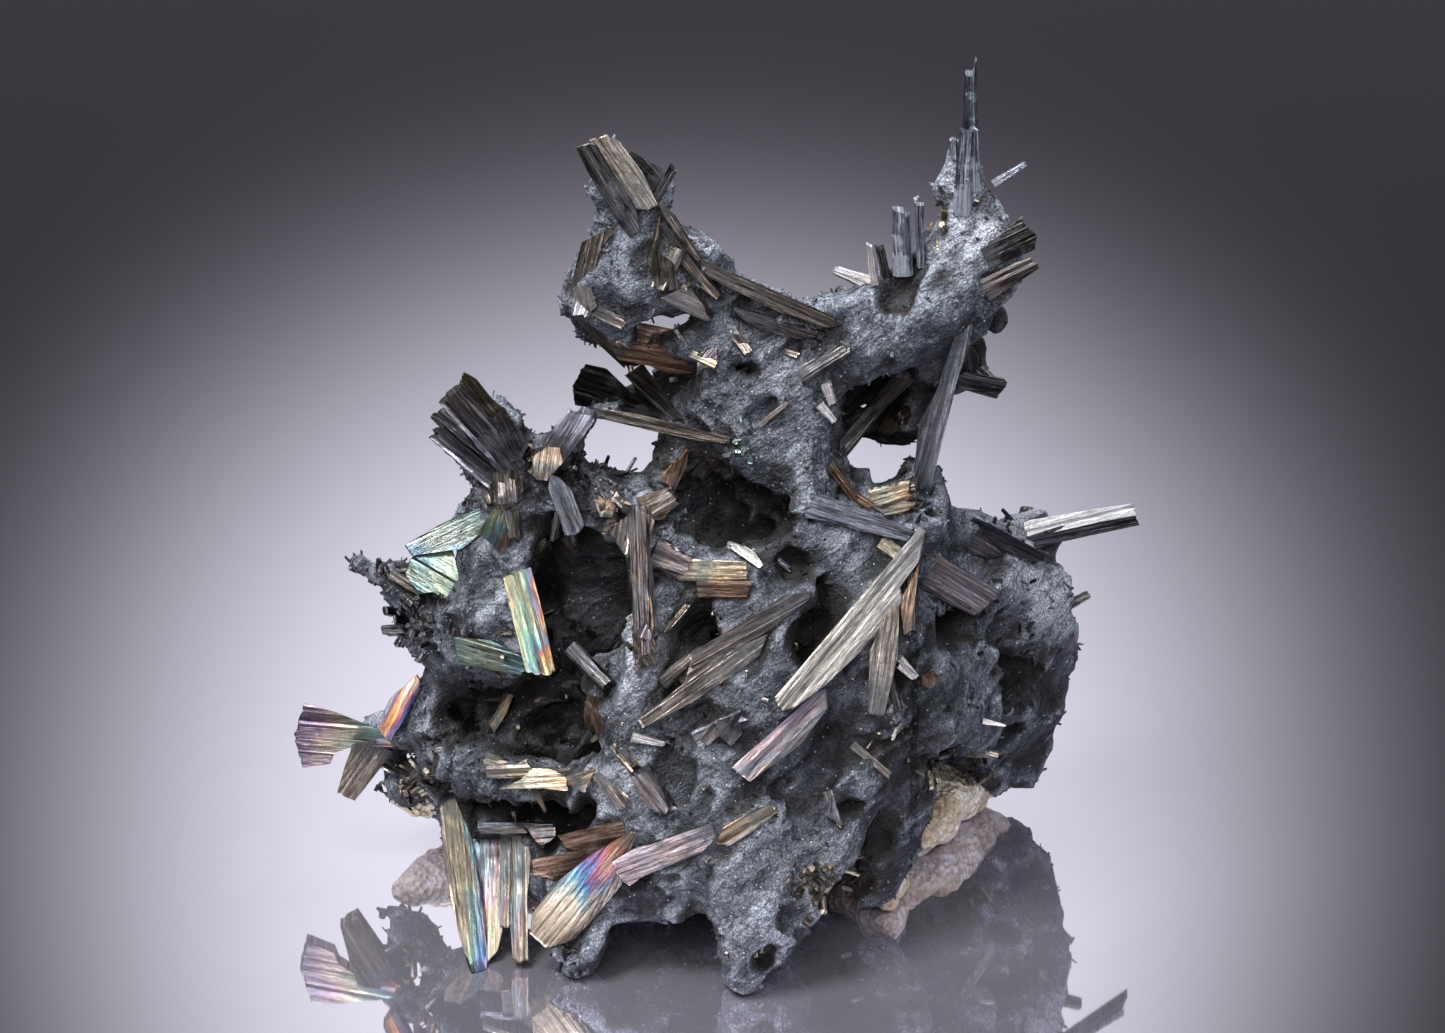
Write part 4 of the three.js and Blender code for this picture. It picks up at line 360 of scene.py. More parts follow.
# Flat crystals that lie on the matrix: look, where their lines start and end, thickness, how far they stand
# out of it, and the outline, all as [across, up].
LAID_PLATES = [
    ["OLIVE", [50.5, 48.8], [50, 53], 1.2, 0.7, [[48.9, 51.7], [50.5, 52.7], [52.2, 52.6], [52.4, 51],
     [51.5, 49.5], [50, 48.8], [49, 49.8]]],
    ["GLINT", [55.2, 45.9], [55.8, 48.8], 0.8, 0.8, [[55.1, 45.9], [55.1, 48], [55.6, 48.9], [56, 48.6],
     [55.9, 46.2]]],
    ["GREY", [63, 44], [64, 49.5], 1.4, 1.2, [[60.9, 47], [64, 49.5], [65.5, 48], [65, 45.5], [63.3, 46],
     [62.8, 44], [61.8, 45.5]]],
    ["ROSE", [63, 38.8], [63, 46.2], 0.9, 1.8, [[62.4, 46.2], [63.6, 45.5], [63.7, 42.5], [63.4, 40],
     [62.8, 38.8], [62.8, 42]]],
    ["DARK", [65.5, 37.2], [64.9, 46.5], 0.8, 1.6, [[64.8, 46.5], [65, 45.5], [65.8, 37.4], [65.5, 37.2],
     [64.5, 44]]],
    ["BRONZE", [65, 35], [64.2, 44.7], 0.8, 1.2, [[63.7, 44.5], [64.8, 44.8], [65.5, 38], [65, 35]]],
    ["OPAL_GREY", [63.2, 36], [64.5, 38.8], 1, 2, [[62.9, 38.3], [64, 38.8], [65.2, 36.8], [65.1, 36],
     [64, 36.2], [63.1, 37]]],
    ["OLIVE", [66, 33.2], [64, 36.6], 1.2, 1.4, [[63.1, 36.8], [65.5, 36], [65.6, 33.5], [64, 33.2],
     [63.2, 34.5]]],
    ["PALE_GREY", [73.1, 45.3], [76.2, 43.2], 0.8, 1.6, [[73.1, 45.5], [74.5, 45.4], [75.7, 44.7],
     [76.4, 43.4], [76, 43.1], [75.4, 44.2], [74.2, 44.9], [73.1, 45.1]]],
    ["BRONZE", [90.8, 36.4], [91.8, 44], 1.2, 1.8, [[92, 44], [91.1, 36.9], [90.4, 36.4], [90, 39.9]]],
    ["GREY", [87.6, 28.4], [89.3, 39.7], 1.6, 1.4, [[90, 39.9], [89.8, 34.5], [88.4, 28.4], [86.8, 28.6],
     [87, 35], [88.6, 38.8]]],
    ["OLIVE", [66.4, 36.7], [68.8, 39.4], 0.8, 1.2, [[68.6, 39.6], [69, 39.1], [66.5, 36.6], [66.3, 36.8]]],
    ["BRONZE", [67.4, 50.8], [68.8, 55.2], 1.2, 1.6, [[68.9, 55.2], [68.7, 53.4], [67.4, 50.8],
     [66.7, 51.6], [65.9, 51.9]]],
    ["ROSE", [69.7, 52.3], [71, 54.1], 1, 1.2, [[69.1, 52.5], [70.2, 53.8], [71.7, 54.2], [70.2, 52.1]]],
    ["BRONZE", [64, 49.5], [67.7, 51], 1.4, 1.4, [[63.5, 50.2], [67.4, 51.5], [67.7, 50], [66.6, 48],
     [65.4, 48]]],
    ["GILT", [60.4, 48], [60.4, 50.3], 1, 1, [[59.4, 50], [60.6, 50.4], [61.7, 49.7], [61.2, 48.2],
     [60, 48.3]]],
    ["GILT", [49, 27.2], [51.2, 30.7], 1, 1.2, [[50.9, 30.8], [51.4, 30.5], [50.6, 28.5], [49.4, 26.7],
     [48.8, 27.7]]],
    ["DARK", [59.5, 29.9], [56.4, 35.8], 1.2, 1.4, [[56.3, 36], [56.7, 35.9], [60.6, 30.8], [58.4, 29.9],
     [57.2, 33.6]]],
    ["BRONZE", [58.8, 29.9], [60, 26.6], 1.2, 1.8, [[58.4, 29.9], [58.9, 29.9], [60.4, 28], [60.2, 26.5],
     [58.4, 27.4]]],
    ["OLIVE", [48.5, 22.8], [53.1, 23], 2, 2.6, [[48.5, 23.4], [51.8, 23.7], [52.6, 24.1], [53.3, 23.3],
     [53.1, 22.3], [51.8, 22.1], [48.6, 22.2]]],
    ["GILT", [49.9, 21.1], [56.8, 21.4], 1, 2, [[49.8, 21.1], [52, 22], [53.3, 23.2], [55.3, 23.1],
     [56.9, 22.2], [56.8, 20.9], [54.8, 21.1], [53, 21.5], [51, 21.2]]],
    ["GILT", [57, 21.8], [59.8, 23], 1, 2.2, [[56.5, 22.3], [59.8, 23.3], [59, 21.7], [58.4, 20.7],
     [57, 21.5]]],
    ["GREY", [59.5, 22.5], [62, 19.1], 1.4, 2, [[59.3, 22.3], [59.9, 22.8], [62.8, 20.4], [62.6, 19.1],
     [61.7, 19], [61.3, 20.1]]],
    ["ROSE", [63.8, 22.3], [66.5, 18.7], 1.8, 2, [[63.1, 22.3], [64.6, 22.8], [66.2, 21.1], [67.1, 18.9],
     [66.6, 18.5], [65, 19], [64.1, 20.1]]],
    ["GREY", [62, 25.2], [63.6, 23.2], 0.8, 1.4, [[61.7, 25], [62.4, 25.2], [64, 23.6], [63.6, 23.1],
     [62.9, 23.6]]],
    ["OPAL_GREY", [52.8, 16.8], [55.8, 17], 1, 2.4, [[52.6, 17.3], [55.8, 17.3], [55.8, 16.4], [54.2, 15.2],
     [53.3, 16.2]]],
    ["GREY", [48, 17], [52.7, 17], 1.2, 2.4, [[47.9, 17.2], [52.6, 17.3], [52.8, 16.7], [50.1, 16.7],
     [48.1, 16.6]]],
    ["OLIVE", [51.3, 18.8], [51.4, 17.4], 0.8, 2.6, [[51.1, 18.8], [51.5, 18.9], [51.8, 17.4],
     [51.5, 17.4]]],
    ["OLIVE", [58.5, 71.5], [60, 77], 1.2, 0.8, [[57, 71.1], [58.2, 75.9], [61.2, 77.4], [61.3, 76.7],
     [59.1, 73.9], [58.2, 72.8], [59.1, 71.7]]],
    ["PALE_GREY", [58.3, 71.2], [58.8, 68.8], 1, 1, [[57, 71.1], [58, 71.5], [59.1, 71.2], [59.7, 69.4],
     [59.1, 68.6], [57.7, 69.7]]],
    ["GREY", [59.3, 68.8], [62.6, 67.4], 1, 0.8, [[59.1, 68.6], [60, 69.4], [61.6, 68.6], [62.8, 67.7],
     [62.3, 67], [60.5, 67.8]]],
    ["OLIVE", [66.8, 70.9], [66.4, 74.8], 1.2, 1, [[65, 73.3], [65.9, 75], [67.3, 73.9], [68.1, 71.1],
     [65.9, 70.8], [65.3, 71.9]]],
    ["PALE_GREY", [66.2, 70], [71, 67.9], 0.9, 1.2, [[66, 70.2], [68.1, 71.2], [69.2, 71.1], [70.1, 70],
     [71.2, 68], [70.7, 67.8], [69.5, 69.7], [68.1, 70.5], [66.7, 69.7]]],
    ["OLIVE", [64.8, 73.8], [66, 78.6], 0.9, 1, [[65, 72.8], [65.7, 75], [66.1, 78.7], [65.9, 78.4],
     [64.7, 74.8]]],
    ["DARK", [73.3, 69.2], [81.8, 66.5], 1.2, 1.4, [[73.3, 69], [75.7, 68.6], [79.7, 66.9], [81.9, 66.9],
     [81.8, 66.2], [80, 66], [76.3, 67], [74.3, 68]]],
    ["OLIVE", [73.4, 66.5], [75, 64.7], 1, 0.9, [[73.2, 66.6], [74.3, 66.6], [75.3, 64.9], [74.6, 64.6]]],
    ["GREY", [80.3, 62.3], [85, 65.2], 2, 1.2, [[79.8, 62.9], [80.2, 63.5], [84.5, 65.7], [85.2, 65.4],
     [85, 64.6], [81.4, 62.3], [80.8, 61.6], [80.1, 61.8]]],
    ["ROSE", [70, 63], [71.7, 65], 1, 1, [[69.7, 64.6], [71.8, 65.5], [71.8, 63.8], [69.7, 62.8]]],
    ["OLIVE", [67.8, 58.1], [63, 62.5], 1.2, 1.2, [[62.3, 62.6], [64.2, 63.8], [68.3, 58.1], [67.3, 58],
     [64.7, 60.1]]],
    ["PALE", [91.3, 32], [89.7, 33.6], 1, 1.4, [[89.9, 33.7], [91.7, 32.2], [91.2, 32], [89.7, 33.2]]],
    ["BRONZE", [93, 31.2], [93, 33], 1.4, 0.8, [[92.2, 32.6], [93, 33.1], [93.8, 32.6], [93.8, 31.6],
     [93, 31.1], [92.2, 31.6]]],
    ["STEEL", [83.5, 17.6], [83.3, 20.4], 1, 1.2, [[82.5, 18.5], [83.2, 20.6], [84.3, 17.4]]],
    ["DARK", [72.2, 25.5], [74.4, 28.5], 1.2, 1.2, [[71.7, 27.9], [74.6, 29.1], [74.3, 26.7], [73.1, 25.3],
     [71.8, 26.5]]],
    ["ROSE", [70, 25.8], [71.6, 27.8], 1, 1, [[69.8, 26.2], [71.6, 28], [71.8, 26.4], [70.8, 25.4]]],
    ["GREY", [96, 24.6], [99.8, 24.8], 1, 0.8, [[95.8, 24.4], [97.5, 24.9], [100, 24.9], [99.8, 24.3],
     [97.5, 24.2]]],
    ["BRONZE", [88, 56.8], [91, 59.2], 1.2, 0.5, [[87.7, 57], [89, 58.8], [90.8, 59.6], [91.4, 58.8],
     [90.5, 57.2], [88.8, 56.4]]],
    ["OLIVE", [84.3, 55.4], [91, 62], 1.4, 1, [[84, 55.9], [89.4, 62.4], [91.7, 62.1], [88.6, 59.3],
     [84, 55]]],
    ["GILT", [87.5, 49.7], [91.5, 50.5], 1.2, 0.6, [[87.1, 50.3], [89, 51.1], [91.2, 51.9], [91.8, 51.3],
     [91.8, 49.7], [90.5, 48.7], [88.5, 48.5], [87.2, 49.3]]],
]

# Prisms that grow out of the matrix, given like those that stand free: each piece's look and crystals.
PRISM_PIECES = {
    "overgrown_crystals": ("DARK", [
        [[65.3, 79.8, 25], [67.5, 83.4, 25], 1, 0.9, 0, 1],
        [[66, 77.8, 24.2], [72.2, 70, 25], 1, 0.9, 0, 1],
        [[73.2, 68.9, 25.6], [82.4, 66.3, 26.6], 1.2, 1, 0, 0.9],
        [[80.2, 62.4, 24.2], [84.9, 65.4, 25], 1.5, 1.4, 0, 1],
        [[90.6, 63, 34], [83.6, 54.2, 29], 1.5, 1, 0, 1],
        [[57.2, 35.2, 17], [61, 31.2, 12.4], 1.6, 1.2, 0, 1],
        [[58.6, 21.8, 14], [62.6, 19.4, 10.2], 1.5, 1.1, 0, 1],
        [[64, 23.2, 9.4], [66.6, 19, 8], 2.2, 1.2, 0, 1],
        [[87.2, 36.6, 18], [89.4, 28.4, 14.6], 2, 1.2, 20, 1],
        [[91.2, 42.8, 22], [91, 36.4, 19], 1.1, 1, 0, 1],
        [[86.8, 49.6, 27], [91.8, 51.2, 27.6], 2.2, 1.1, 0, 1],
        [[105, 38.6, 45], [109, 40.6, 46], 1.4, 1.2, 0, 0.6],
        # On the back.
        [[62, 40, 45], [55, 43, 54], 2.4, 1.4, 90, 1.1],
        [[74, 38, 48], [67, 44, 57], 2.8, 1.5, 80, 1],
        [[84, 38, 48], [90, 44, 57], 2.6, 1.5, 100, 1],
        [[78, 44, 36], [76, 56, 48], 2.4, 1.4, 80, 0.9],
        [[70, 28, 42], [60, 30, 53], 2.2, 1.3, 90, 1.2],
        [[101, 40, 49], [103, 49, 57], 2.4, 1.6, 60, 1],
        [[56, 30, 38], [48, 34, 46], 2.2, 1.2, 100, 1.2],
        [[88, 67, 36], [84, 71, 43], 1.6, 1.2, 90, 1],
    ]),
    # Two that cross below the right horn.
    "pale_crossing_crystals": ("PALE", [
        [[88, 71, 32.6], [83.3, 73.1, 33], 1.2, 0.9, 0, 0.8],
        [[87.8, 70.8, 32.2], [87, 75.6, 34], 0.9, 0.8, 0, 0.4],
    ]),
    # The right horn's.
    "dusty_horn_crystals": ("DUSTY", [
        [[90.3, 72.6, 31], [90.1, 79.1, 31], 1.9, 1.5, 0, 0.9],
        [[92.2, 73.4, 31.4], [91.9, 80.2, 31.4], 1, 0.9, 0, 0.9],
        [[99.4, 81.6, 33.4], [102.6, 83.7, 33.4], 0.9, 0.8, 0, 0.6],
    ]),
}

# Crystals that the matrix carries in places too small for a solid of their own, by their look: root and tip
# [across, up], width, thickness, roll in degrees, tip width to root width, and how far root and tip stand out
# from the matrix's front. A tip past the matrix's edge keeps its root's depth.
SURFACE_CRYSTALS = {
    "DARK": [
        [[51.6, 53.2], [45, 60.6], 3, 1.4, 0, 0.9, -0.2, 0.6],
        [[49.8, 51.6], [43.4, 57], 2, 1.2, 10, 0.9, -0.4, 0],
        [[56.4, 35.8], [59.4, 30.8], 1.2, 0.7, 20, 0.7, -0.1, 0.5],
        [[88.6, 72.4], [87.9, 75.4], 0.9, 0.8, 0, 1, -0.2, 0.6],
        [[53.4, 17.6], [55.8, 16.6], 1.5, 0.6, 0, 0.6, 0.2, 0.9],
        [[97.2, 63.4], [99.4, 61.4], 1.6, 0.8, 10, 0.9, 0, 0.6],
        [[65.9, 63.2], [68.4, 58.4], 1.6, 1, 0, 0.9, 0.2, 0.2],
    ],
    "OLIVE": [
        [[65.1, 73], [66.2, 78.2], 0.8, 0.7, 0, 1, 0, 0.5],
        [[67.7, 75.2], [65.8, 71], 2, 0.9, 20, 1, 0, 0.4],
        [[66.2, 70.4], [68.7, 71.4], 0.8, 0.7, 0, 1, 0.1, 0.5],
        [[68.6, 71.5], [71.2, 68.4], 0.8, 0.7, 0, 0.9, 0.4, 0.2],
        [[66.6, 36.9], [68.8, 39.6], 0.8, 0.7, 0, 1, 0.1, 0.7],
        [[49.2, 26.8], [51, 30.6], 1.7, 0.6, 20, 0.7, 0.2, 1.2],
        [[48.4, 23.7], [53, 22.7], 1.9, 1.5, 0, 1, 0, 0.4],
        [[48.6, 51], [49.2, 49.6], 1.1, 0.8, 0, 1, 0.2, 0.6],
        [[41, 41], [44, 36.4], 1.4, 0.7, 20, 0.8, 0.1, 0.5],
        [[39, 42.6], [42.6, 40.4], 1.3, 0.7, -10, 0.8, 0.1, 0.6],
    ],
    "GREY": [
        [[73.4, 66.7], [75, 64.5], 1.2, 1.1, 0, 1, 0, 0.8],
        [[78.3, 65], [80, 64.4], 0.8, 0.7, 0, 1, 0.1, 0.5],
        [[69.3, 52.3], [71, 54.2], 0.7, 0.6, 0, 1, 0, 0.7],
        [[70.1, 52.2], [71.9, 54], 0.6, 0.5, 0, 1, 0, 0.7],
        [[50.8, 50.2], [50.6, 52.6], 2.6, 1.6, 0, 0.9, 0.2, 0.9],
        [[64, 48.4], [67.8, 50.6], 2.1, 1, 0, 0.9, 0.1, 0.6],
        [[82.8, 20.9], [84, 17.2], 1.1, 0.7, 0, 0.5, 0.1, 0.6],
        [[66.2, 31.8], [70.4, 35.2], 1.6, 0.8, 0, 0.6, 0.1, 0.5],
        [[68.2, 32], [73.6, 35.8], 1.5, 0.8, 10, 0.5, 0.2, 0.7],
        [[85.2, 25.6], [89, 22.4], 1.2, 0.8, 0, 0.7, 0, 0.5],
        [[98.4, 24.8], [99.8, 24.4], 0.7, 0.5, 0, 1, 0, 0.3],
    ],
    "DUSTY": [
        [[96.2, 78.6], [96.7, 87], 1.9, 1, 0, 0.8, 0.3, 0.9],
        [[97.5, 81], [97.4, 87.4], 1, 0.9, 20, 0.7, 0.3, 0.7],
        [[95.4, 84.2], [95.3, 86.2], 0.8, 0.6, 0, 0.9, 0.1, 0.4],
    ],
    "STEEL": [
        [[55.8, 48.8], [55.2, 45.9], 0.5, 0.5, 0, 1, 0.4, 0.9],
        [[47.8, 17.5], [55.4, 17.3], 0.9, 0.6, 0, 1, 0.3, 0.8],
        [[69.6, 26], [74.4, 28.6], 1.8, 0.7, 0, 0.7, 0.1, 0.6],
        [[57.2, 56.2], [59, 58.8], 2.2, 1.4, 10, 0.95, 0.9, 1.3],
        [[76.6, 45], [79, 43], 1, 0.6, 0, 0.7, 0, 0.4],
    ],
    "BRONZE": [
        [[66.4, 51.8], [68.9, 55.2], 1.3, 0.7, 10, 0.4, 0.1, 0.9],
        [[82.9, 53.6], [85.4, 50.2], 1.2, 1, 0, 0.8, 0.2, 0.6],
        [[85.1, 50.6], [87.2, 49.3], 1, 0.8, 0, 0.9, 0.3, 0.6],
        [[59.4, 30.4], [59.5, 27.2], 1.5, 0.7, 20, 0.6, 0.2, 0.8],
        [[50.4, 23], [53.6, 20.8], 1, 0.6, 0, 0.6, 0.2, 0.8],
        [[55, 22.3], [59.2, 22.9], 1.4, 0.6, 0, 0.7, 0.2, 0.7],
        [[59.8, 50.2], [61.6, 48.9], 0.7, 0.5, 0, 0.8, 0.2, 0.6],
        [[64.6, 66.2], [71.4, 64.4], 1.6, 0.7, 0, 1, 0.2, 0.4],
        [[66.8, 63.8], [71.6, 65.4], 1.6, 0.7, 10, 1, 0.3, 0.6],
    ],
    "GILT": [
        [[61.4, 25.4], [63.6, 22.9], 1.2, 0.8, 0, 1, 0.1, 0.8],
        [[52, 22.7], [56.4, 21], 1.2, 0.6, 0, 0.6, 0.3, 0.9],
        [[56.4, 21.4], [59.4, 21.6], 1, 0.6, 0, 0.8, 0.2, 0.8],
        [[53.4, 21.2], [54.6, 18.9], 0.8, 0.5, 0, 0.5, 0.5, 1],
        [[59.9, 22.6], [62.4, 19.3], 1.3, 0.8, 0, 0.9, 0.1, 0.8],
        [[88, 45.8], [90.9, 43.8], 1.5, 0.7, 0, 1, 0.1, 0.7],
        [[53.4, 52.4], [55.9, 55.3], 1.7, 0.9, 15, 0.9, 0.6, 1.2],
        [[87.2, 50], [91.4, 51.2], 2.2, 0.9, 0, 0.8, 0.4, 0.9],
        [[69.2, 64.6], [71.8, 63.4], 1, 0.6, 0, 1, 0.5, 0.8],
    ],
    "ROSE": [
        [[65.3, 44.7], [69, 43.2], 3, 0.8, 15, 0.7, 0.2, 0.7],
        [[63.8, 46.4], [63.6, 38.6], 0.9, 0.6, 30, 0.8, 0.6, 1.4],
        [[75.8, 57.3], [78.9, 59.9], 0.6, 0.5, 0, 1, 0.1, 0.8],
        [[43.6, 25], [47.8, 25.1], 0.8, 0.6, 0, 0.7, 0.3, 0.8],
        [[64, 23.2], [66.8, 18.9], 2.2, 0.9, 0, 0.9, 0.3, 0.9],
    ],
    "PALE": [
        [[82.5, 61.8], [83.3, 59.6], 1.2, 0.8, 20, 0.7, 0.2, 0.8],
        [[81.9, 59.6], [83.4, 57.9], 1, 0.7, -10, 0.7, 0.2, 0.8],
        [[72.8, 45.5], [75.2, 44.7], 0.8, 0.5, 0, 1, 0.3, 0.8],
        [[75.1, 44.9], [76.2, 43], 0.9, 0.5, 0, 0.8, 0.8, 0.5],
        [[89.9, 34.2], [91.7, 32.3], 0.8, 0.6, 0, 0.7, 0, 0.6],
        [[98.3, 27.9], [100.6, 27.4], 0.6, 0.4, 0, 0.5, 0, 0.5],
        [[63.3, 38.6], [64.8, 36.4], 1.7, 0.8, 15, 0.9, 0.8, 1.2],
        [[63.2, 26.3], [66.4, 25.6], 1.1, 0.6, 0, 0.6, 0.2, 0.6],
        [[87, 72], [83.4, 73.1], 0.9, 0.7, 0, 0.6, 0.3, 0.8],
        [[87.5, 71.6], [86.9, 75.6], 0.9, 0.7, 0, 0.6, 0.2, 0.6],
        [[92.4, 76.4], [91.6, 80.3], 0.8, 0.6, 0, 0.7, 0, 0.4],
        [[58.6, 70.6], [58, 68.6], 2.2, 0.8, 0, 0.8, 0.2, 0.4],
    ],
    "GLINT": [
        [[51.5, 49], [51.9, 46.2], 0.9, 0.7, 0, 0.9, 0.5, 1],
        [[42, 20.8], [44.6, 22.4], 1.1, 0.6, 10, 0.8, 0.3, 0.9],
    ],
}

# Sprays of little crystals: look, middle [across, up], spread sideways and upwards, count, length and width.
SPRAYS = [
    ["DARK", [59, 52.4], 3.4, 2.2, 44, 2.4, 0.4],
    ["DARK", [41.6, 39], 2.6, 4.4, 40, 1.5, 0.8],
    ["DARK", [38.4, 43.2], 1.8, 1.4, 14, 1.4, 0.6],
    ["GREY", [61.8, 48.2], 2.2, 1.6, 18, 2.2, 0.7],
    ["OLIVE", [41, 22], 3, 1.6, 26, 2, 0.6],
    ["SEAGLASS", [74.4, 56.2], 1.4, 2, 26, 1.1, 0.4],
    ["GILT", [94.2, 78], 1.2, 1.6, 18, 1.2, 0.5],
    ["GREY", [88.7, 27.4], 1.8, 1, 20, 1.1, 0.4],
    ["OLIVE", [83, 11], 3.4, 3, 60, 1.5, 0.6],
    ["OLIVE", [94, 22.4], 3.8, 1.6, 46, 1.5, 0.6],
    ["DARK", [43.6, 10.6], 0.8, 2, 18, 1.4, 0.5],
    ["GREY", [96.4, 84], 0.8, 3.4, 20, 0.9, 0.3],
    ["DARK", [101, 47], 4, 2.4, 24, 1.6, 0.4],
    ["OLIVE", [49.6, 54], 3.4, 3.4, 34, 1.8, 0.5],
    ["DARK", [92, 50], 1.6, 2.6, 22, 1.5, 0.4],
    ["GREY", [63.4, 64.8], 4.4, 2.4, 18, 1.8, 0.5],
    ["DARK", [57, 4], 2, 2, 26, 1.1, 0.4],
    ["GREY", [74, 3.6], 3, 2.6, 30, 0.9, 0.4],
    ["GREY", [72, 29], 12, 14, 60, 1.1, 0.35],
    ["OLIVE", [56, 34], 9, 13, 50, 1.4, 0.45],
    ["DARK", [100, 34], 6, 11, 40, 1.3, 0.4],
]

# Where the crust is painted pale, as light falls brightest on it: [across, up] in the view, reach and how
# much of the painted light shows.
PAINTED_LIGHT_SPOTS = [
    [98.4, 79, 4.4, 1.6], [94, 75, 3, 0.3], [101.5, 42.6, 5.5, 0.9], [107, 39, 4, 0.8],
     [67, 33.6, 4.6, 1.5],
    [68.4, 74, 2.6, 0.8], [78, 16, 6, 0.35], [72.6, 7.6, 4, 0.2], [48.6, 47, 4, 0.6], [78, 63, 3, 0.3],
    [84.5, 47.5, 4, 0.3], [89, 57, 3, 0.3], [62, 22, 4, 0.4],
]

# How many crystals the crust of each part of the matrix has.
CRUST_COUNTS = {
    "left_horn": 260, "right_horn": 420, "saddle": 400, "left_cluster": 420, "left_branch": 700,
    "right_mass": 700, "main_body": 1600,
}

# How much of a blade the matrix grows up behind, as a share of its length from the root.
BED_SHARE = 0.6
FREE_STANDING = {
    "spire": 0.2, "horn_tip_blades": 0.3, "upper_horn_block": 0.35, "lower_horn_block": 0.35,
    "long_hanging_blade": 0.15, "rear_horizontal_blade": 0.3, "thin_bridge_blade": 0.15,
    "rear_fan_crystal": 0.3, "rear_copper_plate": 0.9, "lower_dark_blade": 0.5, "upper_dark_blade": 0.5,
    "prism_crystal": 0.4, "hanging_tip_blade": 0.3, "two_face_crystal": 0.4, "left_long_blade": 0.35,
    "turquoise_plate": 0.3, "small_dark_blade": 0.4, "left_fan_blades": 0.1, "left_upper_blade": 0.25,
    "bottom_left_blades": 0.3, "narrow_foot_blades": 0.3, "foot_fan": 0.35, "white_side_blade": 0.25,
    "boxy_dark_blades": 0.4,
}
WIDEST_BED = 3.0  # a wider blade's bed is as wide as for one of this width
BED_ROOT = 0.6  # a bed's radius at the root, as a share of the blade's width
BED_TIP = 0.35  # and at its other end
PRISM_BACK = 0.6  # how far behind a prism's middle its bed starts, past the bed's own radius
BURIED = 0.12  # how much of a plate's length stays under the matrix
DISH = 3.0  # how far the matrix is cleared beside a plate, at most
DISH_WIDENING = 0.5  # how fast a dish widens towards the eye
# Plates that get no dish.
UNDER_THE_CRUST = ("rear_copper_plate", "rear_horizontal_blade", "rear_fan_crystal")

GRAIN_CELL = 0.5  # spacing of the grid that the matrix and the calcite are meshed on
BLOCK = 8  # grid cells to a side of the blocks that are worked out finely
BLOCKS_AT_ONCE = 900  # how many of them are worked out together
GRID_LOW = np.array([-46.0, -34.0, -2.0])
GRID_HIGH = np.array([46.0, 34.0, 94.0])
CALCITE_HIGH = np.array([46.0, 34.0, 30.0])
BRANCH_OVERLAP = 1.0  # how far neighbouring branches run into each other at a fork

# Unevenness: spacing, height and seed of the noise.
NOISE_TABLE = 64  # values to a side of a noise's lattice
WARPS = [(8.0, 1.0, 30), (3.0, 0.35, 33)]  # how the matrix's forms wander; each axis has its own seed
SWELL = (6.0, 0.55, 5)  # spacing, height and seed, in this order for the rest too
RIBS = [(4.0, 0.5, 0), (2.0, 0.42, 1), (1.1, 0.3, 2)]
RIB_CREST = 0.6  # how far a rib's crest stands out, as a share of its height
RIB_FALL = 2  # how steeply it falls away
FLOW = 0.72 * ACROSS + 0.6 * RISE + 0.35 * SIGHT  # the way the ribs run
FLOW_STRETCH = 0.3  # how narrow the ribs are to their length
PITS = (4.2, 1.0, 11)
PIT_DEPTH = 1.3
PIT_FROM = 0.6  # where in its noise a pit starts
PIT_RANGE = 0.3  # how far on it is at its deepest
WIDE_HOLLOW = 2.0  # the least reach of a hollow whose wall is rough
HOLLOW_WALLS = [(4.0, 0.9, 51), (1.8, 0.6, 52)]  # how rough that wall is
CALCITE_SWELL = (2.6, 0.8, 21)
CALCITE_GRAINS = (1.3, 0.5, 22)

RECESS_REACHES = (1.5, 3.0, 6.0)  # how far out the room before the surface is looked at
CREST_REACHES = (-0.8, -1.6)  # and how far in its thickness is
OPEN_ENOUGH = 0.75  # the crust grows on what is less hidden than this
FOREMOST = -27.0  # how far forward the crust and the sprays may reach, as y

COLUMNS = 14  # strips across a prism's face
STATIONS = 12  # rings along a prism
STEP = 0.06  # how far one facet stands over the next, as a share of the thickness
CHIP = 0.05  # how unevenly a prism's edges run, as a share of its width
TATTERED = 0.1  # how far its facets may end short of the tip, as a share of its length
STEP_SLOPE = 0.13  # how steeply its facets lean across it
FACET_SPREAD = 0.36  # how far from its middle line they part, as a share of its width
SKEW = 0.5  # how slanted their tips are
BEVEL = 0.3  # how far its edges fall back, as a share of the thickness
BEVEL_FROM = 0.72  # where they start to, as a share of half the width
LEAST_HEIGHT = 0.12  # how thin it may get to one side, as a share of the thickness
MOST_HEIGHT = 0.62  # and how thick
FINE_RIDGE = 0.014  # height of the finest striations
RIDGE_CHANGE = 0.4  # how much of it changes along the blade
PLATE_STATIONS = np.array([0, 0.015, 0.1, 0.2, 0.3, 0.4, 0.5, 0.6, 0.7, 0.8, 0.9, 0.985, 1.0])
PLATE_STRIP = 0.28  # width of a plate's strips
LEAST_STRIPS = 8  # strips across a narrow plate
PLATE_FACET = 0.9  # a plate may have a facet more for each of these of its width
PLATE_SPREAD = 0.4  # how far from its middle line its facets part, as a share of its width
PLATE_LEAN = 0.16  # how steeply its facets lean across it
PLATE_STEP = 0.07  # how far they stand over one another
RAGGED = 0.25  # how far its facets may end short of its outline
FRAYED = 0.06  # and its strips
SHORTEST_STRIP = 0.2  # length that a strip keeps at least
SIDE_INSET = 0.01  # how far a plate's outermost strips stay inside its outline, as a share of its width
ROUNDING = 1e-3  # how far past the end of an outline's side a strip still counts as crossing it
PLATE_BEVEL = 0.12  # how far its rim falls back
PLATE_RIM = 0.04  # the rim's width, as a share of the plate's
LEVEL_SIDE = 1e-6  # an outline's side that rises less than this counts as level

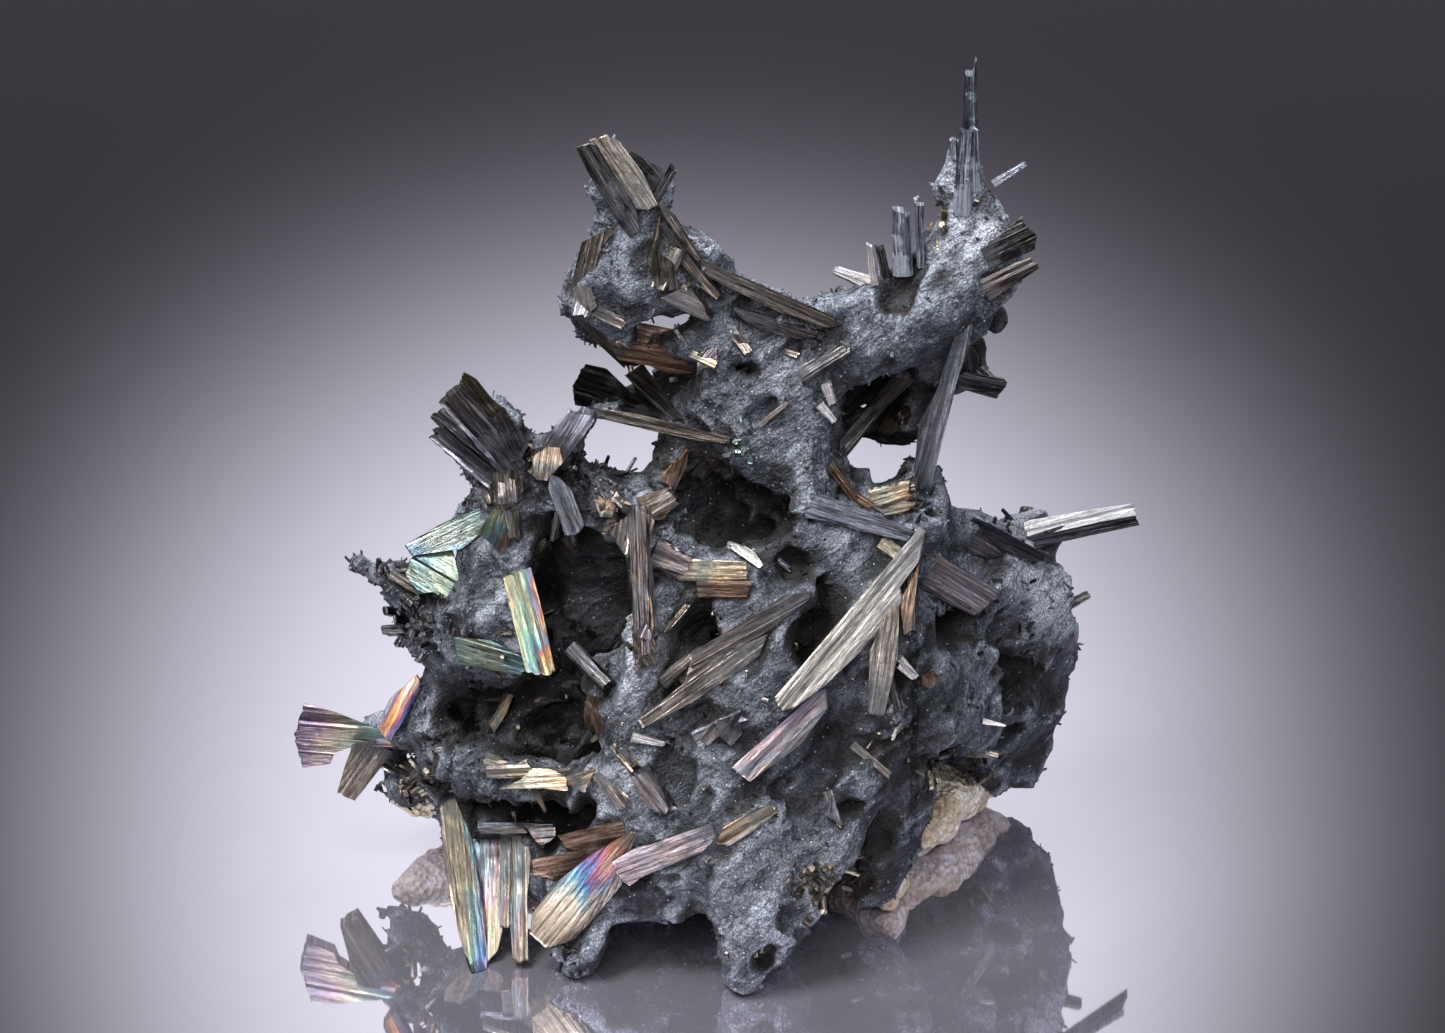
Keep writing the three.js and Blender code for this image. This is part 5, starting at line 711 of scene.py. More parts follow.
SEARCH = 60.0  # how far before and behind MIDDLE the matrix's front is looked for
LEVELLING = 6.0  # how strongly a laid plate is kept from tipping on edge
LAID_CLEAR = 35  # how many hundredths of the spots below a laid plate may show through it
LONGEST_DROP = 3.0  # a surface crystal's tip that lands farther off is past an edge
CRUST_SIDES = 6  # of a crust crystal
CRUST_SIZE = (0.4, 1.1)  # its least and greatest length,
CRUST_STUNTING = 0.6  # of which it may have no more than this share
CRUST_GIRTH = (0.14, 0.34)  # its radius, as a share of its length
CRUST_FLATNESS = 0.35  # the least ratio of its two radii
CRUST_ENDS = ((-0.45, 1.0, 0.0), (0.62, 0.8, 0.5))  # where along it they are, how wide and how slanted
CRUST_LEAN = 0.8  # how far it leans from the surface's normal
LOWEST_ROOT = 1.5  # how far over the floor the crust starts
LOWEST_TIP = 0.5  # and the sprays' tips end
SPRAY_LIFT = -0.2  # how far their roots stand out of the matrix
SPRAY_TURN = 0.35  # how much their crystals turn to the eye


# ---------------------------------------------------------------- places

def place(spots):
    """Points of the frame, in millimetres, that show at (across, up) from the front and lie at that depth.

    Formula: the sight line through (across, up) on the plane through MIDDLE is followed from the eye until
    its y is depth - MIDDLE_DEPTH.
    """
    spots = np.asarray(spots, float)
    side = spots[..., 0] - VIEW_MIDDLE[0]
    lift = spots[..., 1] - VIEW_MIDDLE[1]
    share = (spots[..., 2] - MIDDLE_DEPTH - EYE[1]) / (VIEW_DISTANCE * SIGHT[1] + lift * RISE[1])
    ray = VIEW_DISTANCE * SIGHT + side[..., None] * ACROSS + lift[..., None] * RISE
    return EYE + share[..., None] * ray


def in_view(points):
    """Where points show from the front, as [across, up]: their offset from the eye over how far they are."""
    away = points - EYE
    shown = np.stack([away @ ACROSS, away @ RISE], -1)
    return VIEW_MIDDLE + VIEW_DISTANCE * shown / (away @ SIGHT)[..., None]


def blade_lines(root, tip):
    """A flat blade's directions in the view, from root to tip and to the left of that, and its length."""
    spine = np.subtract(tip[:2], root[:2]).astype(float)
    length = np.linalg.norm(spine)
    spine /= length
    return spine, np.array([-spine[1], spine[0]]), length


def beds():
    """What the matrix's beds lie behind: each blade's name, root, tip, width and how far back the bed is."""
    found = [(name, root, tip, width, PRISM_BACK)
             for name, crystals in FREE_CRYSTALS.items() for root, tip, width, *_ in crystals]
    for name, plates in PLATES.items():
        for _, root, tip, thickness, _, outline in plates:
            _, left, _ = blade_lines(root, tip)
            found.append((name, root, tip, min(np.ptp(np.array(outline) @ left), WIDEST_BED), thickness))
    return found


BEDS = beds()


# ---------------------------------------------------------------- fields

def value_noise(points, spacing, seed):
    """Smooth noise between -1 and 1: random values on a lattice of that spacing, blended by smoothstep."""
    table = np.random.default_rng(seed).uniform(-1, 1, (NOISE_TABLE,) * 3).astype(np.float32)
    scaled = points / spacing + NOISE_TABLE
    cell = np.floor(scaled).astype(np.int64)
    share = (scaled - cell).astype(np.float32)
    share = share * share * (3 - 2 * share)
    total = np.zeros(points.shape[:-1], np.float32)
    for corner in np.ndindex(2, 2, 2):
        index = (cell + corner) % NOISE_TABLE
        weight = np.prod(np.where(corner, share, 1 - share), axis=-1)
        total += weight * table[index[..., 0], index[..., 1], index[..., 2]]
    return total


def bumps(points, spacing, height, seed):
    """Noise of that spacing, up to height to either side of 0."""
    return height * value_noise(points, spacing, seed)


def soft_min(first, second, blend):
    """The smaller of two distances, with a rounded seam of width blend where they are alike."""
    share = np.clip(0.5 + 0.5 * (second - first) / blend, 0, 1)
    return second + (first - second) * share - blend * share * (1 - share)


def limb_distance(points, start, end, start_radius, end_radius):
    """Distance to a capsule from start to end whose radius changes evenly along it."""
    span = end - start
    offset = points - start
    along = np.clip(offset @ span / (span @ span), 0, 1)
    gap = np.linalg.norm(offset - along[..., None] * span, axis=-1)
    return gap - (start_radius + (end_radius - start_radius) * along)


def web_distance(points, a, b, c, radius):
    """Distance to a triangle less radius: to its plane over its inside, else to its nearest side."""
    normal = np.cross(b - a, c - a)
    sides = [(a, b - a), (b, c - b), (c, a - c)]
    inside = np.ones(points.shape[:-1], bool)
    nearest = np.full(points.shape[:-1], np.inf)
    for corner, side in sides:
        offset = points - corner
        inside &= offset @ np.cross(normal, side) >= 0
        along = np.clip(offset @ side / (side @ side), 0, 1)
        gap = offset - along[..., None] * side
        nearest = np.minimum(nearest, np.einsum("...i,...i", gap, gap))
    height = ((points - a) @ normal) ** 2 / (normal @ normal)
    return np.sqrt(np.where(inside, height, nearest)) - radius


def add_form(distance, points, corners, form_distance, *sizes):
    """Blends one form into the distances of the points that lie within REACH of its corners."""
    low = np.min(corners, axis=0) - REACH
    high = np.max(corners, axis=0) + REACH
    near = np.all((points > low) & (points < high), axis=-1)
    if near.any():
        own = form_distance(points[near], *corners, *sizes)
        distance[near] = soft_min(distance[near], own, LIMB_BLEND)


def add_chain(distance, points, centres, radii):
    """Blends a chain of capsules into the distances, one from each centre to the next."""
    for i in range(len(centres) - 1):
        add_form(distance, points, centres[i:i + 2], limb_distance, radii[i], radii[i + 1])


def plain_matrix(points):
    """Signed distance to the smooth matrix: limbs, webs and beds blended, less the hollows."""
    distance = np.full(points.shape[:-1], FAR)
    for chain in LIMBS:
        limb = np.array(chain, float)
        add_chain(distance, points, place(limb[:, :3]), limb[:, 3])
    for *corners, radius in WEBS:
        add_form(distance, points, place(corners), web_distance, radius)
    for name, root, tip, width, back in BEDS:
        start, end = place(root), place(tip)
        end = start + FREE_STANDING.get(name, BED_SHARE) * (end - start)
        behind = SIGHT * (BED_ROOT * width + back)
        ends = [start + behind, end + behind]
        add_form(distance, points, ends, limb_distance, BED_ROOT * width, BED_TIP * width)
    for middle, half in HOLLOWS:
        offset = points - place(middle)
        axes = np.stack([offset[..., 0], offset @ RISE, offset @ SIGHT], axis=-1)
        own = (np.linalg.norm(axes / half, axis=-1) - 1) * min(half)
        if min(half) > WIDE_HOLLOW:
            own += sum(bumps(points, *wall) for wall in HOLLOW_WALLS)
        distance = -soft_min(-distance, own, HOLLOW_BLEND)
    return distance


def outline_distance(spots, outline):
    """Signed distance in the view from spots to a closed outline, below 0 inside it."""
    nearest = np.full(len(spots), np.inf)
    inside = np.zeros(len(spots), bool)
    corners = np.array(outline, float)
    for start, end in zip(corners, np.roll(corners, -1, axis=0)):
        side = end - start
        offset = spots - start
        along = np.clip(offset @ side / (side @ side), 0, 1)
        nearest = np.minimum(nearest, np.linalg.norm(offset - along[:, None] * side, axis=-1))
        level = (start[1] > spots[:, 1]) != (end[1] > spots[:, 1])
        rise = side[1] if abs(side[1]) > TINY else TINY
        inside ^= level & (offset[:, 0] < offset[:, 1] * side[0] / rise)
    return np.where(inside, -nearest, nearest)


def cleared(distance, points):
    """Takes from the matrix what lies before the plates, less their roots, in dishes that widen forwards."""
    view = in_view(points)
    for name, plates in PLATES.items():
        for _, root, tip, thickness, slope, outline in plates * (name not in UNDER_THE_CRUST):
            low, high = np.min(outline, axis=0) - DISH, np.max(outline, axis=0) + DISH
            near = np.all((view > low) & (view < high), axis=-1)
            spine, left, length = blade_lines(root, tip)
            offset = view[near] - root[:2]
            run, side = offset @ spine, offset @ left
            depth = root[2] + (tip[2] - root[2]) * run / length + slope * side
            ahead = (depth - points[near][:, 1] - MIDDLE_DEPTH) / SIGHT[1] + 0.5 * thickness
            rim = np.maximum(outline_distance(view[near], outline), BURIED * length - run)
            own = np.maximum(rim - DISH_WIDENING * np.clip(ahead, 0, 2 * DISH), -ahead)
            distance[near] = -soft_min(-distance[near], own, DISH_BLEND)
    return distance


def matrix_field(points):
    """The matrix with its swell, ribs and pits, cleared before its plates and cut off flat at the bottom."""
    strays = [sum(bumps(points, spacing, reach, seed + axis) for spacing, reach, seed in WARPS)
              for axis in range(3)]
    distance = plain_matrix(points + np.stack(strays, axis=-1))
    drawn = points - (1 - FLOW_STRETCH) * (points @ FLOW)[..., None] * FLOW
    distance -= bumps(points, *SWELL)
    for spacing, height, seed in RIBS:
        distance -= height * (RIB_CREST - RIB_FALL * np.abs(value_noise(drawn, spacing, seed)))
    pits = np.clip((bumps(points, *PITS) - PIT_FROM) / PIT_RANGE, 0, 1)
    distance += PIT_DEPTH * pits * pits * (3 - 2 * pits)
    return np.maximum(cleared(distance, points), -points[..., 2])


def calcite_field(points):
    """Calcite lumps with a coarse granular surface, cut off flat at the bottom."""
    distance = np.full(points.shape[:-1], FAR)
    for chain in CALCITE_LUMPS:
        lump = np.array(chain, float)
        centres = [lump[:, 0] - VIEW_MIDDLE[0] + MIDDLE[0], lump[:, 1] - MIDDLE_DEPTH, lump[:, 2]]
        add_chain(distance, points, np.stack(centres, -1), lump[:, 3])
    distance -= bumps(points, *CALCITE_SWELL) + np.abs(bumps(points, *CALCITE_GRAINS))
    return np.maximum(distance, -points[..., 2])


def sampled(field, high):
    """The field on a grid up to high: finely in blocks that the surface may cross, else one value a block."""
    span = BLOCK * GRAIN_CELL
    blocks = np.ceil((high - GRID_LOW) / span).astype(int)
    centres = GRID_LOW + (np.stack(np.meshgrid(*map(np.arange, blocks), indexing="ij"), -1) + 0.5) * span
    rough = field(centres.reshape(-1, 3)).reshape(blocks)
    grid = np.kron(rough, np.ones((BLOCK,) * 3)).astype(np.float32)
    crossed = np.argwhere(np.abs(rough) < span)
    steps = np.stack(np.meshgrid(*[np.arange(BLOCK)] * 3, indexing="ij"), -1).reshape(-1, 3)
    for some in np.array_split(crossed, max(1, len(crossed) // BLOCKS_AT_ONCE)):
        nodes = (some[:, None] * BLOCK + steps).reshape(-1, 3)
        grid[nodes[:, 0], nodes[:, 1], nodes[:, 2]] = field(GRID_LOW + nodes * GRAIN_CELL)
    return grid


CELL_CORNERS = np.array(list(np.ndindex(2, 2, 2)))
CELL_EDGES = [(a, b) for a in range(8) for b in range(a + 1, 8)
              if np.abs(CELL_CORNERS[a] - CELL_CORNERS[b]).sum() == 1]


def surface_of(grid):
    """Closed quads where the grid changes sign: a corner in each crossed cell, amid its edges' crossings."""
    inside = grid < 0
    crossed = np.zeros(np.array(grid.shape) - 1, np.int8)
    for corner in CELL_CORNERS:
        crossed += inside[tuple(slice(c, n - 1 + c) for c, n in zip(corner, grid.shape))]
    cells = np.argwhere((crossed > 0) & (crossed < 8))
    values = np.stack([grid[tuple((cells + corner).T)] for corner in CELL_CORNERS], -1).astype(float)
    total = np.zeros((len(cells), 3))
    count = np.zeros(len(cells))
    for a, b in CELL_EDGES:
        changes = (values[:, a] < 0) != (values[:, b] < 0)
        share = np.where(changes, values[:, a] / np.where(changes, values[:, a] - values[:, b], 1), 0)
        spot = CELL_CORNERS[a] + share[:, None] * (CELL_CORNERS[b] - CELL_CORNERS[a])
        total += changes[:, None] * spot
        count += changes
    corners = GRID_LOW + (cells + total / count[:, None]) * GRAIN_CELL
    number = np.full(crossed.shape, -1, np.int64)
    number[tuple(cells.T)] = np.arange(len(cells))
    quads = []
    step = np.eye(3, dtype=int)
    for axis in range(3):
        b, c = (axis + 1) % 3, (axis + 2) % 3
        here = tuple(slice(0, n - 1) if i == axis else slice(1, n - 1) for i, n in enumerate(grid.shape))
        there = tuple(slice(1, n) if i == axis else slice(1, n - 1) for i, n in enumerate(grid.shape))
        nodes = np.argwhere(inside[here] != inside[there]) + step[b] + step[c]
        ring = [nodes, nodes - step[b], nodes - step[b] - step[c], nodes - step[c]]
        ring = np.stack([number[tuple(r.T)] for r in ring], -1)
        outward = inside[tuple(nodes.T)]
        quads.append(np.where(outward[:, None], ring, ring[:, ::-1]))
    return corners, np.concatenate(quads)


def corner_normals(points, quads):
    """Mean direction of the faces round each corner."""
    a, b, c, d = (points[quads[:, i]] for i in range(4))
    facing = np.cross(c - a, d - b)
    normals = np.zeros_like(points)
    for i in range(4):
        for k in range(3):
            normals[:, k] += np.bincount(quads[:, i], facing[:, k], len(points))
    return normals / (np.linalg.norm(normals, axis=-1, keepdims=True) + TINY)


def matrix_values(spots):
    """The matrix's grid at the node nearest each spot."""
    index = np.round((spots - GRID_LOW) / GRAIN_CELL).astype(int)
    index = np.clip(index, 0, np.array(matrix_grid.shape) - 1)
    return matrix_grid[index[..., 0], index[..., 1], index[..., 2]]


def closeness(points, normals, reaches):
    """How near the matrix's surface is again along each corner's normal, 0 far to 1 near.

    Formula: the mean over the reaches of 1 - distance / reach, held between 0 and 1. Reaches above 0 look out
    of the matrix and tell what is hidden, and those below 0 look into it and tell what is a thin crest.
    """
    near = np.zeros(len(points))
    for reach in reaches:
        near += np.clip(1 - matrix_values(points + reach * normals) / reach, 0, 1) / len(reaches)
    return near


def painted_light_amount(points):
    """How much pale painted light the matrix's crust gets: the sum of amount * exp(-(distance across and up /
    reach) squared).
    """
    view = in_view(points)
    amount = np.zeros(len(points))
    for across, up, reach, share in PAINTED_LIGHT_SPOTS:
        amount += share * np.exp(-((view - (across, up)) ** 2).sum(axis=-1) / reach ** 2)
    return amount


def ray_to_surface(spots, lift):
    """Points of the matrix's front at (across, up), raised to the eye by lift; NaN where there is none.

    Formula: the sight line is sampled every half cell, and the first sample inside the grid's surface counts.
    """
    middle = np.concatenate([spots, np.full((len(spots), 1), MIDDLE_DEPTH)], axis=-1)
    ray = place(middle) - EYE
    ray /= np.linalg.norm(ray, axis=-1, keepdims=True)
    steps = np.arange(VIEW_DISTANCE - SEARCH, VIEW_DISTANCE + SEARCH, GRAIN_CELL / 2)
    inside = matrix_values(EYE + ray[:, None] * steps[None, :, None]) < 0
    first = steps[inside.argmax(axis=1)] - lift
    found = EYE + ray * first[:, None]
    found[~inside.any(axis=1)] = np.nan
    return found


def box_distance(grid_shape, box):
    """Distance to an upright box on the grid, from the distances along each axis."""
    parts = []
    for axis in range(3):
        spot = GRID_LOW[axis] + GRAIN_CELL * np.arange(grid_shape[axis])
        parts.append(np.maximum(box[0][axis] - spot, spot - box[1][axis]))
    x, y, z = np.meshgrid(*parts, indexing="ij", sparse=True)
    return np.maximum(np.maximum(x, y), z)


# ---------------------------------------------------------------- meshes

def new_piece(name, points, faces, material, stands_for=(), layers=(), numbers=(), smooth=True):
    """One mesh object from corners and a list of face arrays, each with its own number of corners."""
    mesh = bpy.data.meshes.new(name)
    counts = np.concatenate([np.full(len(f), f.shape[1]) for f in faces])
    indices = np.concatenate([f.ravel() for f in faces]).astype(np.int32)
    mesh.vertices.add(len(points))
    mesh.vertices.foreach_set("co", (points * MM).astype(np.float32).ravel())
    mesh.loops.add(len(indices))
    mesh.loops.foreach_set("vertex_index", indices)
    mesh.polygons.add(len(counts))
    starts = np.concatenate([[0], np.cumsum(counts)[:-1]]).astype(np.int32)
    mesh.polygons.foreach_set("loop_start", starts)
    mesh.polygons.foreach_set("use_smooth", np.full(len(counts), smooth))
    for layer_name, values in layers:
        layer = mesh.uv_layers.new(name=layer_name)
        layer.data.foreach_set("uv", values[indices].astype(np.float32).ravel())
    for number_name, values in numbers:
        attribute = mesh.attributes.new(number_name, "FLOAT", "POINT")
        attribute.data.foreach_set("value", values.astype(np.float32))
    mesh.update(calc_edges=True)
    mesh.validate()
    mesh.materials.append(material)
    piece = bpy.data.objects.new(name, mesh)
    bpy.context.collection.objects.link(piece)
    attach(piece, "root")
    if stands_for:
        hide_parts(*stands_for)
    return piece


def shell_faces(rows, count):
    """Quads that close two grids of corners, a front and a back of rows by count, along all four rims."""
    front, back = (np.arange(rows * count).reshape(rows, count) + k * rows * count for k in (0, 1))
    quads = [np.stack([front[:-1, :-1], front[1:, :-1], front[1:, 1:], front[:-1, 1:]], -1),
             np.stack([back[:-1, :-1], back[:-1, 1:], back[1:, 1:], back[1:, :-1]], -1)]
    for column, order in ((0, -1), (-1, 1)):
        edge = [front[:-1, column], front[1:, column], back[1:, column], back[:-1, column]][::order]
        quads.append(np.stack(edge, -1))
    for station, order in ((0, 1), (-1, -1)):
        edge = [front[station, :-1], front[station, 1:], back[station, 1:], back[station, :-1]][::order]
        quads.append(np.stack(edge, -1))
    return np.concatenate([q.reshape(-1, 4) for q in quads])


def ridges(rng, rows, columns):
    """Heights of fine ridges that keep their place along a blade, and change a little from row to row."""
    kept = FINE_RIDGE * rng.normal(size=columns)
    return kept + RIDGE_CHANGE * FINE_RIDGE * rng.normal(size=(rows, columns))


def striated_blade(crystal, rng):
    """One prism as a closed surface over (strip across, station along).

    corner = start + along * s * length + across * x * width(s) + facing * height(x, s). width(s) runs evenly
    from the root's width to flare times it. height(x, s) is half the thickness, plus a few flat facets that
    lean across the prism, plus fine ridges that keep their place along it. Each facet's strips end at their
    own ragged, skewed tip. The back is the same with its own facets.
    """
    start, tip, width, thickness, roll, flare = crystal
    along = tip - start
    length = np.linalg.norm(along)
    along = along / length
    facing = -SIGHT + along * (SIGHT @ along)
    facing /= np.linalg.norm(facing)
    turn = np.radians(roll)
    facing = facing * np.cos(turn) + np.cross(along, facing) * np.sin(turn)
    across = np.cross(facing, along)

    x = np.linspace(-0.5, 0.5, COLUMNS + 1)
    bounds = np.sort(rng.uniform(-FACET_SPREAD, FACET_SPREAD, rng.integers(1, 3)))
    facet = np.searchsorted(bounds, x)
    kinds = len(bounds) + 1
    reach = (1 - TATTERED * rng.uniform(0, 1, kinds) ** 1.5)[facet]
    skew = rng.uniform(-SKEW, SKEW, kinds)[facet]
    hue = rng.uniform(0, 1, kinds)[facet]
    s = np.linspace(0, 1, STATIONS)[:, None]
    middle = np.array([x[facet == kind].mean() for kind in facet])
    bevel = BEVEL * thickness * np.clip(np.abs(x) / 0.5 - BEVEL_FROM, 0, 1) / (1 - BEVEL_FROM)
    corners, runs, sides = [], [], []
    for face in (1, -1):
        slope = rng.uniform(-STEP_SLOPE, STEP_SLOPE, kinds)[facet]
        lean = slope * (x - middle) * width + STEP * thickness * rng.uniform(-1, 1, kinds)[facet]
        height = thickness / 2 - bevel + lean + ridges(rng, STATIONS, len(x))
        height = np.clip(height, LEAST_HEIGHT * thickness, MOST_HEIGHT * thickness)
        chips = 1 + CHIP * rng.normal(size=(STATIONS, 1)) * np.abs(2 * x) ** 3
        side = x * chips * width * (1 + (flare - 1) * s)
        run = s * reach * length + skew * (x - middle) * width * (s == 1)
        corner = (start + run[..., None] * along + side[..., None] * across
                  + face * height[..., None] * facing)
        corners.append(corner.reshape(-1, 3))
        runs.append(run.ravel())
        sides.append(side.ravel())
    run, side = np.concatenate(runs), np.concatenate(sides)
    scale = np.stack([run, side], -1)
    share = np.stack([run / length, side / width], -1)
    return np.concatenate(corners), shell_faces(STATIONS, len(x)), scale, share, np.tile(hue, 2 * STATIONS)


def outlined_blade(plate, rng):
    """One flat blade as a closed surface over (side, run), the distances left of and along root to tip.

    spot(side, run) = place(root + run * spine + side * left, depth), with a depth that changes evenly along
    run and side. For each side, run goes from where that strip enters the outline to where it leaves it. The
    front is raised by a few facets that lean a little, and by fine ridges that keep their place along it; its
    rim is bevelled. The back is the same corners carried back by the thickness along the line of sight.
    """
    root, tip, thickness, slope, outline = plate
    foot = np.array(root[:2], float)
    spine, left, length = blade_lines(root, tip)
    rim = np.array(outline, float) - foot
    rim = np.stack([rim @ spine, rim @ left], -1)
    low, high = rim[:, 1].min(), rim[:, 1].max()
    width = high - low
    strips = max(LEAST_STRIPS, int(width / PLATE_STRIP))
    side = np.concatenate([np.linspace(low, high, strips), rim[:, 1]])
    side = np.unique(np.clip(side, low + SIDE_INSET * width, high - SIDE_INSET * width).round(3))
    after = np.roll(rim, -1, axis=0)
    change = after[:, 1] - rim[:, 1]
    share = (side[:, None] - rim[:, 1]) / np.where(np.abs(change) < LEVEL_SIDE, LEVEL_SIDE, change)
    run = rim[:, 0] + share * (after[:, 0] - rim[:, 0])
    crossed = (share >= -ROUNDING) & (share <= 1 + ROUNDING)
    first = np.where(crossed, run, np.inf).min(axis=1)
    last = np.where(crossed, run, -np.inf).max(axis=1)

    flat = (side - low) / width - 0.5
    bounds = rng.uniform(-PLATE_SPREAD, PLATE_SPREAD, rng.integers(1, 3 + int(width / PLATE_FACET)))
    facet = np.searchsorted(np.sort(bounds), flat)
    kinds = len(bounds) + 1
    hue = rng.uniform(0, 1, kinds)[facet]
    last = last - RAGGED * rng.uniform(0, 1, kinds)[facet] ** 2 - FRAYED * np.abs(rng.normal(size=len(side)))
    last = np.maximum(last, first + SHORTEST_STRIP)
    middle = np.array([side[facet == kind].mean() for kind in facet])
    lean = (PLATE_LEAN * rng.uniform(-1, 1, kinds)[facet] * (side - middle)
            + PLATE_STEP * rng.uniform(-1, 1, kinds)[facet])
    s = PLATE_STATIONS[:, None]
    runs = first + s * (last - first)
    sides = np.broadcast_to(side, runs.shape)
    ridge = ridges(rng, *runs.shape)
    edge = np.clip((np.abs(flat) - 0.5 + PLATE_RIM) / PLATE_RIM, 0, 1)
    height = lean + ridge - PLATE_BEVEL * np.maximum(edge, (s == 0) | (s == 1))

    depth = root[2] + (tip[2] - root[2]) * runs / length + slope * sides
    spots = foot + runs[..., None] * spine + sides[..., None] * left
    sheet = place(np.concatenate([spots, depth[..., None]], -1))
    front = sheet - height[..., None] * SIGHT
    back = sheet + thickness * SIGHT
    points = np.concatenate([front.reshape(-1, 3), back.reshape(-1, 3)])
    scale = np.stack([runs, sides], -1).reshape(-1, 2)
    share = np.stack([runs / length, np.broadcast_to(flat, runs.shape)], -1).reshape(-1, 2)
    return (points, shell_faces(*runs.shape), np.tile(scale, (2, 1)), np.tile(share, (2, 1)),
            np.tile(hue, 2 * len(runs)))


def blade_piece(name, make, blades, look, seed, stands_for=()):
    """Blades of one look, each made by make, joined into one piece that stays over the floor."""
    rng = np.random.default_rng(seed)
    parts = [make(blade, rng) for blade in blades]
    offsets = np.cumsum([0] + [len(part[0]) for part in parts[:-1]])
    quads = np.concatenate([part[1] + offset for part, offset in zip(parts, offsets)])
    points, scale, share, hue = (np.concatenate([part[i] for part in parts]) for i in (0, 2, 3, 4))
    points[:, 2] = np.maximum(points[:, 2], 0)
    return new_piece(name, points, [quads], LOOKS[look], stands_for,
                     [("scale", scale), ("share", share)], [("hue", hue)], smooth=False)


def crust(points, normals, count, rng):
    """Short six-sided crystals strewn on a surface, half sunk in it.

    Each is two hexagons, corner = foot + axis * height * k + side * radius * cos + other * radius * sin, with
    the top one smaller and slanted.
    """
    chosen = rng.choice(len(points), count, replace=False)
    foot, normal = points[chosen], normals[chosen]
    axis = normal + CRUST_LEAN * rng.normal(size=(count, 3))
    axis /= np.linalg.norm(axis, axis=-1, keepdims=True)
    side = np.cross(axis, rng.normal(size=(count, 3)))
    side /= np.linalg.norm(side, axis=-1, keepdims=True)
    other = np.cross(axis, side)
    height = rng.uniform(*CRUST_SIZE, count) * rng.uniform(CRUST_STUNTING, 1, count)
    radius = height * rng.uniform(*CRUST_GIRTH, count)
    flat = rng.uniform(CRUST_FLATNESS, 1, count)
    angle = np.arange(CRUST_SIDES) * 2 * np.pi / CRUST_SIDES
    rings = []
    for k, shrink, slant in CRUST_ENDS:
        cos = np.cos(angle)[None] * (radius * shrink)[:, None]
        sin = np.sin(angle)[None] * (radius * shrink * flat)[:, None]
        lift = (height * k)[:, None] + slant * cos
        rings.append(foot[:, None] + axis[:, None] * lift[..., None] + side[:, None] * cos[..., None]
                     + other[:, None] * sin[..., None])
    corners = np.stack(rings, 1).reshape(-1, 3)
    index = np.arange(count * 2 * CRUST_SIDES).reshape(count, 2, CRUST_SIDES)
    after = np.roll(index, -1, axis=2)
    quads = np.stack([index[:, 0], after[:, 0], after[:, 1], index[:, 1]], -1).reshape(-1, 4)
    caps = np.concatenate([index[:, 0, ::-1], index[:, 1]])
    return corners, quads, caps, chosen


# ---------------------------------------------------------------- materials

def linear(colour):
    """An sRGB hex colour as linear red, green, blue and alpha."""
    parts = np.array([int(colour[i:i + 2], 16) for i in (1, 3, 5)]) / 255
    parts = np.where(parts <= 0.04045, parts / 12.92, ((parts + 0.055) / 1.055) ** 2.4)
    return (*parts, 1.0)


def feed(node, *inputs, **settings):
    """Sets a node's inputs in their order, and its named inputs and other settings by name.

    An underscore stands for a space. A node or a socket is linked, and a node stands for its first output.
    stops are the places and colours of a colour ramp.
    """
    for name, value in (*enumerate(inputs), *settings.items()):
        key = name.replace("_", " ") if isinstance(name, str) else name
        if name == "stops":
            elements = node.color_ramp.elements
            while len(elements) < len(value):
                elements.new(1.0)
            for element, (position, colour) in zip(elements, value):
                element.position = position
                element.color = linear(colour)
        elif isinstance(key, str) and key not in node.inputs:
            setattr(node, name, value)
        elif isinstance(value, (bpy.types.Node, bpy.types.NodeSocket)):
            node.id_data.links.new(getattr(value, "outputs", [value])[0], node.inputs[key])
        else:
            node.inputs[key].default_value = value
    return node


def add(tree, kind, *inputs, **settings):
    """Adds a shader node with its inputs and settings."""
    return feed(tree.nodes.new("ShaderNode" + kind), *inputs, **settings)


def new_material(name, **settings):
    """A material, what adds a node to it, and its Principled shader with these settings."""
    material = bpy.data.materials.new(name)
    material.use_nodes = True
    tree = material.node_tree
    return material, partial(add, tree), feed(tree.nodes["Principled BSDF"], **settings)


METRE = 1000.0  # millimetres; over a pattern's size it gives the scale of that pattern on Object coordinates
SOOT_GRAIN = 1 / 5.2  # width of the matrix's grains
SOOT_PATCH = 1 / 0.15  # of its lighter and darker patches
SOOT_FOLD = 1 / 0.62  # of the folds between its ribs
RUST_PATCH = 1 / 0.095
SPARKLE = 1 / 2.4  # of the cells that may hold a painted glint on a facet, coarser than the real ones so that they show
STRIA_LENGTH = 1 / 0.3  # how long a blade's fine lines run on
STRIA_WIDTH = 1 / 4.2  # and how wide they are, coarser than the real ones so that they show
FILM_LENGTH = 1 / 0.1  # how far along a blade its tarnish changes hue
FILM_WIDTH = 1 / 0.35  # and how far across it
DIRT_PATCH = 1 / 0.42
BLADE_PIT = 1 / 1.6
CALCITE_PATCH = 1 / 0.38
CALCITE_STAIN = 1 / 0.15
CALCITE_GRAIN = 1 / 1.4
CALCITE_PIT = 1 / 1.8
SANDY_GREY_AND_TOP_LIGHT = "#8f98a4"  # the even grey of the horns and the saddle, painted paler as top light
PAINTED_LIGHT_TONE = "#dde3ee"  # the pale tone of the painted light on the crust
FLOW_TURN = (0.0, np.radians(35.0), 0.0)  # turns the ribs' run on to the first axis
FOLD_STRETCH = (0.25, 1.0, 1.0)  # draws the folds out along it


